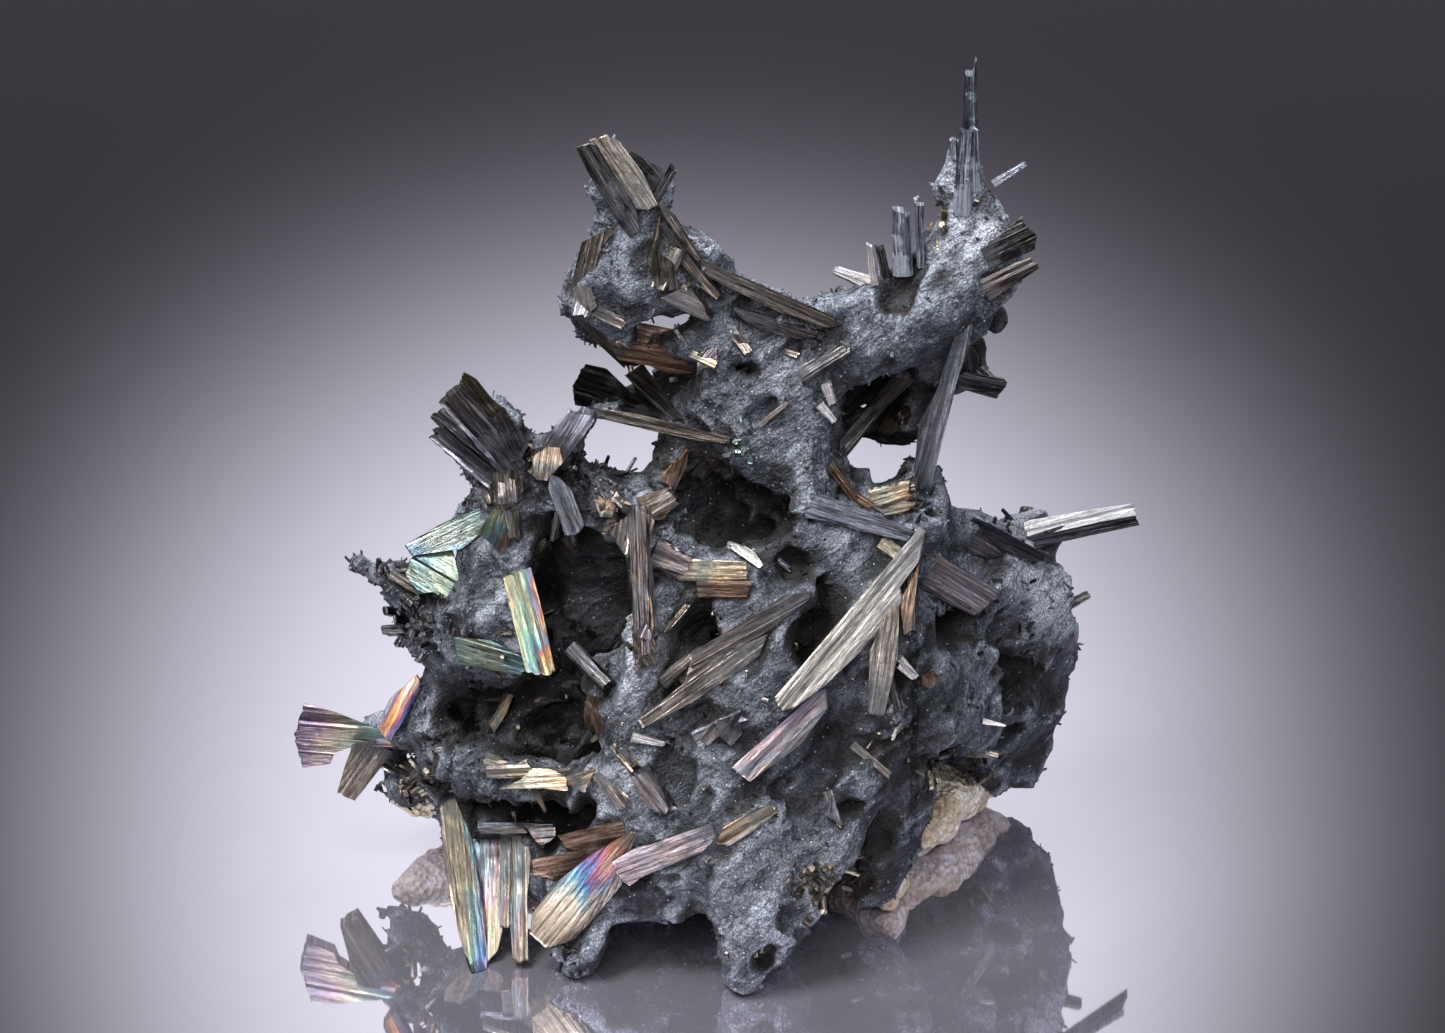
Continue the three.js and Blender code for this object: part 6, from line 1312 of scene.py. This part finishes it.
def sooty_look(name, dark, light, dust):
    """Sooty silver minerals grown as fine grains: dull, paler on what faces up from pale dust and painted top
    light, with painted shade that makes the hollows near black, and painted glints.
    """
    material, new, shader = new_material(name, Roughness=0.8, Specular_IOR_Level=0.3)
    where = new("TexCoord").outputs["Object"]
    height = new("SeparateXYZ", where).outputs["Z"]
    up = new("SeparateXYZ", new("NewGeometry").outputs["Normal"]).outputs["Z"]
    hidden, crest, dusted = (new("Attribute", attribute_name=each).outputs["Fac"]
                             for each in ("hidden", "crest", "dusted"))
    grain = new("TexNoise", where, Scale=METRE / SOOT_GRAIN, Detail=2, Roughness=0.55)

    # Patches of two greys, paler on what faces up, most of all high up and on thin crests: pale dust and
    # painted top light together.
    patches = new("TexNoise", where, Scale=METRE / SOOT_PATCH, Detail=4, Roughness=0.55)
    colour = new("MixRGB", new("MapRange", patches, 0.35, 0.65), linear(dark), linear(light))
    dust_and_top_light_mask = new("Math", new("MapRange", up, -0.2, 0.9), new("MapRange", hidden, 0.1, 0.45),
                  operation="SUBTRACT", use_clamp=True)
    dusty = new("Math", dust_and_top_light_mask, new("MapRange", patches, 0.3, 0.6), operation="MULTIPLY")
    dusty = new("Math", dusty, new("MapRange", height, 0.03, 0.085, 0.4, 1.1), operation="MULTIPLY")
    dusty = new("Math", dusty, new("MapRange", crest, 0.12, 0.5, 0, 0.6), operation="MAXIMUM")
    colour = new("MixRGB", dusty, colour, linear(dust))
    # Painted top light: high up, where the horns and the saddle are, the crust is painted an even pale grey.
    colour = new("MixRGB", new("MapRange", height, 0.045, 0.085, 0, 0.8), colour, linear(SANDY_GREY_AND_TOP_LIGHT))
    # Painted light: spots of the crust that are lit most brightly are painted towards a pale tone.
    painted_light_share = new("Math", dusted, 0.75, operation="MULTIPLY", use_clamp=True)
    colour = new("MixRGB", painted_light_share, colour, linear(PAINTED_LIGHT_TONE))

    # Grains, and painted shade in the folds between the ribs.
    speckle = new("ValToRGB", grain, stops=[(0.36, "#65656a"), (0.5, "#b0b0b4"), (0.62, "#e8e8ea")])
    colour = new("MixRGB", 0.85, colour, speckle, blend_type="MULTIPLY")
    drawn = new("VectorRotate", where, rotation_type="EULER_XYZ", Rotation=FLOW_TURN)
    drawn = new("VectorMath", drawn, FOLD_STRETCH, operation="MULTIPLY")
    folds = new("TexNoise", drawn, Scale=METRE / SOOT_FOLD, Detail=4, Roughness=0.6, Distortion=0.4)
    folds = new("Math", new("Math", folds, 0.5, operation="SUBTRACT"), operation="ABSOLUTE")
    painted_crease_shade = new("ValToRGB", folds, stops=[(0.0, "#5c5c60"), (0.012, "#a8a8ac"), (0.04, "#ffffff")])
    colour = new("MixRGB", 0.8, colour, painted_crease_shade, blend_type="MULTIPLY")

    # Rust and painted shade in the hollows, and painted glints on single facets.
    rust = new("TexNoise", where, Scale=METRE / RUST_PATCH, Detail=2, Roughness=0.55)
    rust = new("Math", new("MapRange", rust, 0.55, 0.7, 0, 0.7), new("MapRange", hidden, 0.15, 0.4),
               operation="MULTIPLY")
    colour = new("MixRGB", rust, colour, linear("#5f4a38"))
    shade = new("ValToRGB", hidden,
                stops=[(0.03, "#ffffff"), (0.16, "#b4b4b8"), (0.36, "#7a7977"), (0.7, "#45413b")])
    colour = new("MixRGB", 1.0, colour, shade, blend_type="MULTIPLY")
    cells = new("TexVoronoi", where, Scale=METRE / SPARKLE)
    few = new("Math", new("SeparateXYZ", cells.outputs["Color"]), 0.93, operation="GREATER_THAN")
    speck = new("Math", few, new("Math", cells, 0.24, operation="LESS_THAN"), operation="MULTIPLY")
    sparkle = new("Math", speck, new("Math", 1.0, hidden, operation="SUBTRACT"), operation="MULTIPLY")
    painted_glint = new("Math", sparkle, 0.6, operation="MULTIPLY")
    colour = new("MixRGB", painted_glint, colour, linear("#c6cad4"))

    rough = new("Math", sparkle, -0.45, 0.8, operation="MULTIPLY_ADD")
    ribbed = new("Bump", Height=new("Math", 0.5, folds, operation="SUBTRACT"), Distance=0.0008, Strength=0.9)
    grainy = new("Bump", Height=new("Math", grain, cells, operation="ADD"), Distance=0.00016, Strength=1.0,
                 Normal=ribbed)
    feed(shader, Base_Color=colour, Roughness=rough, Normal=grainy)
    return material


def blade_look(name, stops, tints, cover, lean=(1.0, 0.0), roughness=0.36, soot=0.8, dust="#3a3a3e"):
    """Striated metal, with a tarnish film and sooty patches.

    stops colour its fine lengthwise lines. tints colour the film by how far along and across the blade a
    spot lies, weighed by lean, and cover says how much film there is. soot says how much of the blade dust
    dulls, most of all at the root.
    """
    material, new, shader = new_material(name, Metallic=1.0, Roughness=roughness)
    where = new("TexCoord").outputs["Object"]
    scale, share = (new("SeparateXYZ", new("UVMap", uv_map=each)) for each in ("scale", "share"))
    hue = new("Attribute", attribute_name="hue").outputs["Fac"]

    def on_the_blade(length, width, shift):
        """The blade's own coordinates over a pattern's length and width, shifted on each facet."""
        along = new("Math", scale.outputs["X"], 1 / length, operation="MULTIPLY")
        across = new("Math", scale.outputs["Y"], 1 / width, operation="MULTIPLY")
        return new("CombineXYZ", along, across, new("Math", hue, shift, operation="MULTIPLY"))

    # Fine lines along it, and dark splits between them.
    lines = on_the_blade(STRIA_LENGTH, STRIA_WIDTH, 37.0)
    streaks = new("TexNoise", lines, Scale=1.0, Detail=6, Roughness=0.7, Distortion=0.25)
    value = new("Math", streaks, new("MapRange", hue, 0, 1, -0.1, 0.1), operation="ADD")
    colour = new("ValToRGB", value, stops=stops)
    splits = new("TexNoise", lines, Scale=1.7, Detail=3, Roughness=0.6, Distortion=0.3)
    splits = new("Math", new("Math", splits, 0.5, operation="SUBTRACT"), operation="ABSOLUTE")
    fibres = new("MixRGB", new("MapRange", splits, 0.002, 0.022), linear("#6a6764"), (1.3, 1.3, 1.3, 1))
    furrows = new("ValToRGB", streaks, stops=[(0.3, "#9a9a9a"), (0.5, "#e8e8e8"), (0.6, "#ffffff")])
    fibres = new("MixRGB", 1.0, fibres, furrows, blend_type="MULTIPLY")

    # The tarnish film, whose hue goes with its thickness.
    flow = on_the_blade(FILM_LENGTH, FILM_WIDTH, 0.6)
    drift = new("TexNoise", flow, Scale=1.0, Detail=4, Roughness=0.6)
    drift = new("MapRange", drift, 0, 1, -0.45, 0.45)
    along = new("Math", share.outputs["X"], lean[0], drift, operation="MULTIPLY_ADD")
    across = new("Math", new("Math", share.outputs["Y"], 0.5, operation="ADD"), lean[1],
                 new("MapRange", streaks, 0, 1, -0.4, 0.4), operation="MULTIPLY_ADD")
    film = new("ValToRGB", new("Math", along, across, operation="ADD"), stops=tints)
    shown = new("TexNoise", flow, Scale=2.3, Detail=4, Roughness=0.55)
    shown = new("MapRange", shown, 0.32, 0.55, 0, cover)
    lit = new("MixRGB", 0.5, film, new("MixRGB", 1.0, film, colour, blend_type="SOFT_LIGHT"))
    colour = new("MixRGB", 1.0, new("MixRGB", shown, colour, lit), fibres, blend_type="MULTIPLY")

    # Soot that dulls it.
    rooted = new("MapRange", share.outputs["X"], -1, 1, 0.39, -0.21, clamp=False)
    dirt = new("TexNoise", where, Scale=METRE / DIRT_PATCH, Detail=5, Roughness=0.65)
    dirt = new("MapRange", new("Math", dirt, rooted, operation="ADD"), 0.45, 0.63)
    dirty = new("Math", dirt, soot, operation="MULTIPLY", use_clamp=True)
    sooty = new("MixRGB", 1.0, linear(dust), fibres, blend_type="MULTIPLY")
    colour = new("MixRGB", dirty, colour, sooty)

    rough = new("Math", dirty, 0.35, roughness, operation="MULTIPLY_ADD")
    bare = new("Math", dirty, -0.7, 1.0, operation="MULTIPLY_ADD")
    pits = new("TexNoise", where, Scale=METRE / BLADE_PIT, Detail=3, Roughness=0.55)
    lined = new("Bump", Height=streaks, Distance=0.00006, Strength=0.9)
    pitted = new("Bump", Height=pits, Distance=0.00008, Strength=0.6, Normal=lined)
    feed(shader, Base_Color=colour, Roughness=rough, Metallic=bare, Normal=pitted)
    return material


def calcite_look():
    """Cream granular calcite, a little see-into, stained brown in patches."""
    material, new, shader = new_material("cream granular calcite", Roughness=0.42, IOR=1.6,
                                         Subsurface_Weight=0.15, Subsurface_Scale=0.002)
    where = new("TexCoord").outputs["Object"]
    patches = new("TexNoise", where, Scale=METRE / CALCITE_PATCH, Detail=4, Roughness=0.55)
    colour = new("MixRGB", new("MapRange", patches, 0.35, 0.65), linear("#d0c4ab"), linear("#fcf8ee"))
    stain = new("TexNoise", where, Scale=METRE / CALCITE_STAIN, Detail=3, Roughness=0.55)
    colour = new("MixRGB", new("MapRange", stain, 0.52, 0.68, 0, 0.7), colour, linear("#9c8160"))
    grains = new("TexVoronoi", where, Scale=METRE / CALCITE_GRAIN, Randomness=0.9)
    each = new("ValToRGB", new("SeparateXYZ", grains.outputs["Color"]),
               stops=[(0.0, "#c4b598"), (0.4, "#efe6d4"), (1.0, "#ffffff")])
    colour = new("MixRGB", 0.6, colour, each, blend_type="MULTIPLY")
    pits = new("TexNoise", where, Scale=METRE / CALCITE_PIT, Detail=3, Roughness=0.55)
    grainy = new("Bump", Height=grains, Distance=0.0009, Strength=1.0)
    pitted = new("Bump", Height=pits, Distance=0.0003, Strength=0.8, Normal=grainy)
    feed(shader, Base_Color=colour, Normal=pitted)
    return material


# The matrix is silver ores grown as fine sooty grains: it hardly shines, and what faces up and its thin
# crests are painted paler, as pale dust and painted top light.
SOOTY = sooty_look("sooty granular silver matrix", "#393d44", "#6f7681", "#bdc5d1")
# The same ores grown as little crystals on it, a little darker.
NEEDLES = sooty_look("sooty crystal crust", "#3d3f44", "#686c73", "#a3a8b1")
# Calcite grown as coarse grains: light sinks in a little, so that it looks creamy.
CALCITE = calcite_look()

# The blades are dyscrasite, a silver antimonide that grew in striated prisms and tarnished in the air: a soft
# metal shine broken by fine lines, under a film whose thickness gives its hues.
LOOKS = {
    # Plain faces with hardly any film, from near black to nearly white.
    "DARK": blade_look(
        "dark striated dyscrasite", [(0.3, "#1c1c1e"), (0.5, "#45454a"), (0.68, "#86868a")],
        [(0.2, "#4b4f5a"), (0.8, "#5d564e")], 0.5),
    "OLIVE": blade_look(
        "olive brown striated dyscrasite", [(0.28, "#2d2b28"), (0.48, "#615c55"), (0.68, "#a39c91")],
        [(0.3, "#4c4d4a"), (0.7, "#63594d")], 0.5),
    "GREY": blade_look(
        "warm grey striated dyscrasite", [(0.28, "#474440"), (0.48, "#858079"), (0.66, "#c0bab2")],
        [(0.15, "#767980"), (0.5, "#827c75"), (0.85, "#8f857a")], 0.6),
    "STEEL": blade_look(
        "blue grey striated dyscrasite", [(0.28, "#383c42"), (0.5, "#70767f"), (0.68, "#b9bfc7")],
        [(0.1, "#6d7584"), (0.45, "#75757b"), (0.7, "#8c7f82"), (0.9, "#858991")], 0.55),
    "DUSTY": blade_look(
        "dusty blue grey dyscrasite", [(0.28, "#4d525a"), (0.5, "#868d97"), (0.68, "#cdd3db")],
        [(0.1, "#8490a6"), (0.45, "#8c8f98"), (0.9, "#9ba1ac")], 0.5, soot=2.0, dust="#7f8692"),
    "PALE": blade_look(
        "pale silvery dyscrasite", [(0.25, "#a9a8a5"), (0.45, "#d2d1ce"), (0.62, "#f4f3f1")],
        [(0.2, "#dddbd6"), (0.5, "#dccfd0"), (0.8, "#ccd0d6")], 0.5, roughness=0.45, soot=0.3),
    "PALE_GREY": blade_look(
        "pale warm dyscrasite", [(0.25, "#55534f"), (0.42, "#86837e"), (0.58, "#aeaba7"), (0.72, "#d6d4d1")],
        [(0.15, "#83858c"), (0.5, "#9b9894"), (0.85, "#a19b94")], 0.45, roughness=0.42, soot=0.45),
    # A thin film, which tints the metal bronze or pale gold.
    "BRONZE": blade_look(
        "bronze tarnished dyscrasite", [(0.28, "#352b25"), (0.48, "#6b594a"), (0.68, "#b39a84")],
        [(0.15, "#6d5645"), (0.5, "#8d7661"), (0.85, "#735c52")], 0.5),
    "GILT": blade_look(
        "pale gold tarnished dyscrasite", [(0.28, "#5d564c"), (0.48, "#928a7b"), (0.68, "#cac1ae")],
        [(0.1, "#85735c"), (0.3, "#61898f"), (0.42, "#b3ad98"), (0.7, "#b3a286"), (0.9, "#936c50")], 0.6),
    # A thicker film, whose hues change along and across the blade.
    "ASHEN": blade_look(
        "ashen dyscrasite with a faint film", [(0.28, "#2f2d2a"), (0.5, "#5d5952"), (0.7, "#948e85")],
        [(0.1, "#6a655b"), (0.35, "#5d7573"), (0.5, "#6b7b90"), (0.62, "#886a76"), (0.8, "#7d7668")], 0.7,
        (0.5, 0.6), 0.42, 0.5),
    "ROSE": blade_look(
        "rose and grey tarnished dyscrasite", [(0.28, "#42403f"), (0.5, "#7b7775"), (0.7, "#b4b0ac")],
        [(0.1, "#6f7783"), (0.35, "#857479"), (0.55, "#938075"), (0.75, "#797b86"), (0.95, "#8b7c80")], 0.6,
        (0.9, 0.3), 0.34, 0.6),
    "OPAL_GREY": blade_look(
        "dusk blue and pink dyscrasite", [(0.28, "#3f3e42"), (0.5, "#77757a"), (0.7, "#b4b1b3")],
        [(0.1, "#7c8ba6"), (0.35, "#8e8598"), (0.5, "#b79a98"), (0.7, "#8d97a6"), (0.9, "#a99a92")], 0.7,
        (0.4, 0.8), 0.34, 0.4),
    "SEAGLASS": blade_look(
        "turquoise tarnished dyscrasite", [(0.28, "#464c49"), (0.5, "#71786f"), (0.7, "#9da397")],
        [(0.1, "#628e90"), (0.35, "#8fa398"), (0.6, "#a3a894"), (0.85, "#74939c")], 0.7,
        (0.7, 0.5), 0.34, 0.5),
    "OPAL": blade_look(
        "mauve and cream tarnished dyscrasite", [(0.28, "#56524f"), (0.5, "#87817a"), (0.7, "#b5aea3")],
        [(0.0, "#a0683a"), (0.1, "#2c5280"), (0.24, "#44828c"), (0.42, "#8d9a86"), (0.58, "#ab9f8a"),
         (0.76, "#97828a"), (0.95, "#6c6480")], 0.85, (1.0, 0.0), 0.34, 0.35),
    "GLINT": blade_look(
        "iridescent tarnished dyscrasite", [(0.28, "#4c483f"), (0.5, "#857e6c"), (0.7, "#beb7a2")],
        [(0.0, "#7d7a68"), (0.24, "#a09c80"), (0.36, "#9fb4a4"), (0.47, "#6fb0b6"), (0.54, "#4c74a8"),
         (0.58, "#8a4a74"), (0.62, "#b0562c"), (0.68, "#b8a67a"), (0.82, "#7fa9ac"), (1.0, "#a59f8c")], 0.85,
        (0.25, 0.55), 0.3, 0.4),
    "BANDED": blade_look(
        "dyscrasite tarnished along one edge", [(0.28, "#35312c"), (0.5, "#675f55"), (0.7, "#989082")],
        [(0.0, "#5f584d"), (0.45, "#7a7364"), (0.58, "#5d7f7e"), (0.68, "#4a80a0"), (0.76, "#54609a"),
         (0.84, "#8a6078"), (0.92, "#8f8873"), (1.0, "#7a7264")], 0.75, (0.1, 0.75), 0.4, 0.55),
    "SUNSET": blade_look(
        "dyscrasite tarnished in bands", [(0.28, "#423c35"), (0.5, "#7b7263"), (0.7, "#b3ab9a")],
        [(0.0, "#6f4e38"), (0.2, "#a3704e"), (0.33, "#a8738a"), (0.43, "#5a68a8"), (0.52, "#5aa0b8"),
         (0.64, "#a9b8ae"), (0.76, "#bdb5a2"), (0.95, "#8f877a")], 0.85, (0.8, 0.2), 0.36, 0.4),
    "FLAME": blade_look(
        "orange and blue tarnished dyscrasite", [(0.28, "#4c463e"), (0.5, "#8d8574"), (0.7, "#cfc6ac")],
        [(0.0, "#5d5a56"), (0.15, "#3f62a8"), (0.3, "#6a4c94"), (0.42, "#c9702e"), (0.55, "#e8a540"),
         (0.68, "#c9702e"), (0.8, "#4a76b8"), (0.95, "#6c6a68")], 0.9, (0.25, 0.75), 0.28, 0.3),
}
PRISM_LOOKS = {"spire": "DUSTY", "small_dark_blade": "DARK", "upright_plate": "ROSE"}


# ---------------------------------------------------------------- the matrix, its crust and the calcite

def matrix_part(name, region, crystal_count, rng):
    """The part of the matrix where region is below 0, and the crust of little crystals that grows on it."""
    points, quads = surface_of(np.maximum(matrix_grid, region))
    normals = corner_normals(points, quads)
    hidden = closeness(points, normals, RECESS_REACHES)
    crest = closeness(points, normals, CREST_REACHES)
    new_piece(name + "_matrix", points, [quads], SOOTY, [name],
              numbers=[("hidden", hidden), ("crest", crest), ("dusted", painted_light_amount(points))])
    grown = (hidden < OPEN_ENOUGH) & (points[:, 2] > LOWEST_ROOT) & (points[:, 1] > FOREMOST + 0.5)
    corners, sides, caps, chosen = crust(points[grown], normals[grown], crystal_count, rng)
    shade = np.repeat(hidden[grown][chosen], 2 * CRUST_SIDES)
    new_piece(name + "_crust", corners, [sides, caps], NEEDLES, numbers=[("hidden", shade)],
              smooth=False)


matrix_grid = sampled(matrix_field, GRID_HIGH)
rng = np.random.default_rng(7)
taken = np.full(matrix_grid.shape, FAR, np.float32)
for name, crystal_count in CRUST_COUNTS.items():
    if name in BRANCHES:
        own = box_distance(matrix_grid.shape, BRANCHES[name])
        region = np.maximum(own - BRANCH_OVERLAP, -taken)
        taken = np.minimum(taken, own)
    else:
        region = -taken - BRANCH_OVERLAP
    matrix_part(name, region, crystal_count, rng)

points, quads = surface_of(sampled(calcite_field, CALCITE_HIGH))
new_piece("calcite_rock", points, [quads], CALCITE, ["calcite_base"])


# ---------------------------------------------------------------- the blades

def prisms(crystals):
    """Crystals as striated_blade takes them, from places in the view."""
    return [[place(root), place(tip), *sizes] for root, tip, *sizes in crystals]


def laid_plate(root, tip, thickness, lift, outline):
    """A plate as outlined_blade takes it, laid on the matrix's front and standing out of it by lift.

    Formula: the plane depth = base + a * run + b * side is fitted by least squares to the depths found behind
    the outline's corners and its middle, and then moved until few of them are before it. Small weights pull
    it level, so that a ledge behind one corner doesn't tip the plate on edge.
    """
    spine, left, length = blade_lines(root, tip)
    rim = np.array([*outline, np.mean(outline, axis=0)]) - root
    hits = ray_to_surface(rim + root, np.zeros(len(rim)))
    found = ~np.isnan(hits[:, 1])
    rows = np.stack([np.ones(len(rim)), rim @ spine, rim @ left], -1)[found]
    depth = hits[found, 1] + MIDDLE_DEPTH
    usual = np.median(depth)
    level = LEVELLING * np.diag([0.0, 1.0, 1.0])
    plane = np.linalg.solve(rows.T @ rows + level, rows.T @ (depth - usual))
    base = usual + plane[0] + np.percentile(depth - usual - rows @ plane, LAID_CLEAR) - lift
    return [[*root, base], [*tip, base + plane[1] * length], thickness, plane[2], outline]


def surface_crystals(crystals):
    """Crystals as striated_blade takes them, rooted in the matrix's front."""
    spots = np.array([crystal[:2] for crystal in crystals], float)
    lifts = np.array([crystal[6:] for crystal in crystals])
    roots, tips = (ray_to_surface(spots[:, end], lifts[:, end]) for end in (0, 1))
    grown = []
    for crystal, root, tip, (root_lift, tip_lift) in zip(crystals, roots, tips, lifts):
        level = place([*crystal[1], root[1] + MIDDLE_DEPTH])
        if np.isnan(tip).any() or np.linalg.norm(tip - level) > LONGEST_DROP:
            tip = level - SIGHT * (tip_lift - root_lift)
        grown.append([root, tip, *crystal[2:6]])
    return grown


def spray(rng, middle, sideways, upwards, count, length, width):
    """Little crystals strewn round a spot of the view, rooted in the matrix's front and leaning every way."""
    spots = np.array(middle) + rng.normal(size=(count, 2)) * (sideways / 2, upwards / 2)
    roots = ray_to_surface(spots, np.full(count, SPRAY_LIFT))
    leans = rng.normal(size=(count, 3))
    grown = []
    for root, lean in zip(roots[~np.isnan(roots[:, 0])], leans):
        lean = lean / np.linalg.norm(lean) - SPRAY_TURN * SIGHT
        tip = root + lean * (length * rng.uniform(0.5, 1.2))
        breadth = width * rng.uniform(0.6, 1.5)
        if tip[2] < LOWEST_TIP or tip[1] < FOREMOST:
            continue
        sizes = [breadth, breadth * rng.uniform(0.5, 0.9), rng.uniform(0, 180), rng.uniform(0.5, 1.0)]
        grown.append([root, tip, *sizes])
    return grown


for seed, (name, crystals) in enumerate(FREE_CRYSTALS.items()):
    blade_piece(name + "_striated", striated_blade, prisms(crystals), PRISM_LOOKS[name], seed, [name])

for seed, (name, plates) in enumerate(PLATES.items(), 40):
    for number, look in enumerate(dict.fromkeys(plate[0] for plate in plates)):
        own = [plate[1:] for plate in plates if plate[0] == look]
        stands_for = [] if number else [name]
        blade_piece(f"{name}_{look.lower()}", outlined_blade, own, look, seed, stands_for)

for seed, (name, (look, crystals)) in enumerate(PRISM_PIECES.items(), 101):
    blade_piece(name, striated_blade, prisms(crystals), look, seed)

laid = {}
for look, *plate in LAID_PLATES:
    laid.setdefault(look, []).append(laid_plate(*plate))
for seed, (look, plates) in enumerate(laid.items(), 300):
    blade_piece(f"laid_{look.lower()}_plates", outlined_blade, plates, look, seed)

small = {look: surface_crystals(crystals) for look, crystals in SURFACE_CRYSTALS.items()}
for look, *spread in SPRAYS:
    small.setdefault(look, []).extend(spray(rng, *spread))
for seed, (look, crystals) in enumerate(small.items(), 200):
    blade_piece(f"small_{look.lower()}_crystals", striated_blade, crystals, look, seed)

# ---------------------------------------------------------------- floor, light and camera

FLOOR_SIZE = 8.0  # metres
POOL_MIDDLE = (-0.0039, 0.0043)  # the middle of the pool of light painted on the floor, in metres
POOL_REACH = (0.0595, 0.1365)  # how far it goes sideways and to the back
POOL_WIDENING = 1.1  # by what share it widens in each metre to the back
POOL_FALL = 3.5  # how suddenly it ends
POOL_PALE = (0.80, 0.78, 0.90, 1)
POOL_DARK = (0.0, 0.0, 0.0, 1)
bpy.ops.mesh.primitive_plane_add(size=FLOOR_SIZE)
floor = bpy.context.object
floor.name = "floor"
# Glossy acrylic sheet that mirrors the specimen, with a pool of light painted into its colour: painted pale
# towards its middle and dark away from it.
sheet, new, shader = new_material("glossy acrylic sheet with a painted pool of light", Metallic=0.92, Roughness=0.03,
                                  Specular_IOR_Level=0.0, Specular_Tint=(0.77, 0.735, 0.81, 1))
spot = new("SeparateXYZ", new("TexCoord").outputs["Object"])
behind = new("Math", spot.outputs["Y"], POOL_MIDDLE[1], operation="SUBTRACT")
wider = new("Math", behind, POOL_WIDENING * POOL_REACH[0], POOL_REACH[0], operation="MULTIPLY_ADD")
sideways = new("Math", spot.outputs["X"], POOL_MIDDLE[0], operation="SUBTRACT")
sideways = new("Math", sideways, wider, operation="DIVIDE")
backward = new("Math", behind, POOL_REACH[1], operation="DIVIDE")
away = new("Math", sideways, sideways, new("Math", backward, backward, operation="MULTIPLY"),
           operation="MULTIPLY_ADD")
away = new("Math", new("Math", away, operation="SQRT"), POOL_FALL, operation="POWER")
lit = new("Math", new("Math", away, -1.0, operation="MULTIPLY"), operation="EXPONENT")
# Painted light: the floor's colour is the painted pool, pale in its middle and dark outside it.
feed(shader, Base_Color=new("MixRGB", lit, POOL_DARK, POOL_PALE))
floor.data.materials.append(sheet)

# A studio that is dim low down and brightest in a band overhead, a little to the back.
world = bpy.data.worlds.new("soft studio")
bpy.context.scene.world = world
world.use_nodes = True
tree = world.node_tree
direction = add(tree, "SeparateXYZ", add(tree, "TexCoord").outputs["Generated"])
level = add(tree, "Math", direction.outputs["Y"], 0.3, direction.outputs["Z"], operation="MULTIPLY_ADD")
sky = add(tree, "ValToRGB", add(tree, "MapRange", level, -0.3, 1.0),
          stops=[(0.0, "#4a494f"), (0.35, "#85848c"), (0.6, "#acacb4"), (0.74, "#ffffff"), (0.82, "#ffffff"),
                 (1.0, "#8c90a0")])
feed(tree.nodes["Background"], Color=sky, Strength=1.0)


def softbox(name, spot, size, watts, colour):
    """A square area light at a spot in metres that faces the specimen and that the camera doesn't see."""
    light = bpy.data.lights.new(name, "AREA")
    light.size = size
    light.energy = watts
    light.color = linear(colour)[:3]
    lamp = bpy.data.objects.new(name, light)
    lamp.location = spot
    lamp.rotation_euler = (Vector(MIDDLE * MM) - lamp.location).to_track_quat("-Z", "Y").to_euler()
    lamp.visible_camera = False
    bpy.context.collection.objects.link(lamp)


softbox("key", (-0.3, -0.2, 0.7), 0.3, 11.0, "#ffffff")
softbox("fill", (0.6, -0.25, 0.45), 0.3, 2.0, "#e6ecff")
softbox("front", (-0.1, -0.7, 0.62), 0.5, 6.0, "#fff8f0")
softbox("rim", (0.15, 0.5, 0.75), 0.3, 3.0, "#ffffff")

view = bpy.data.cameras.new("view")
view.sensor_width = SENSOR_WIDTH
view.lens = SENSOR_WIDTH * VIEW_DISTANCE / VIEW_WIDTH
view.clip_start = 0.01
camera = bpy.data.objects.new("view", view)
turn = np.eye(4)
turn[:3, 0], turn[:3, 1], turn[:3, 2], turn[:3, 3] = ACROSS, RISE, -SIGHT, EYE * MM
camera.matrix_world = Matrix(turn.tolist())
bpy.context.collection.objects.link(camera)
bpy.context.scene.camera = camera
bpy.context.scene.view_settings.view_transform = "Standard"
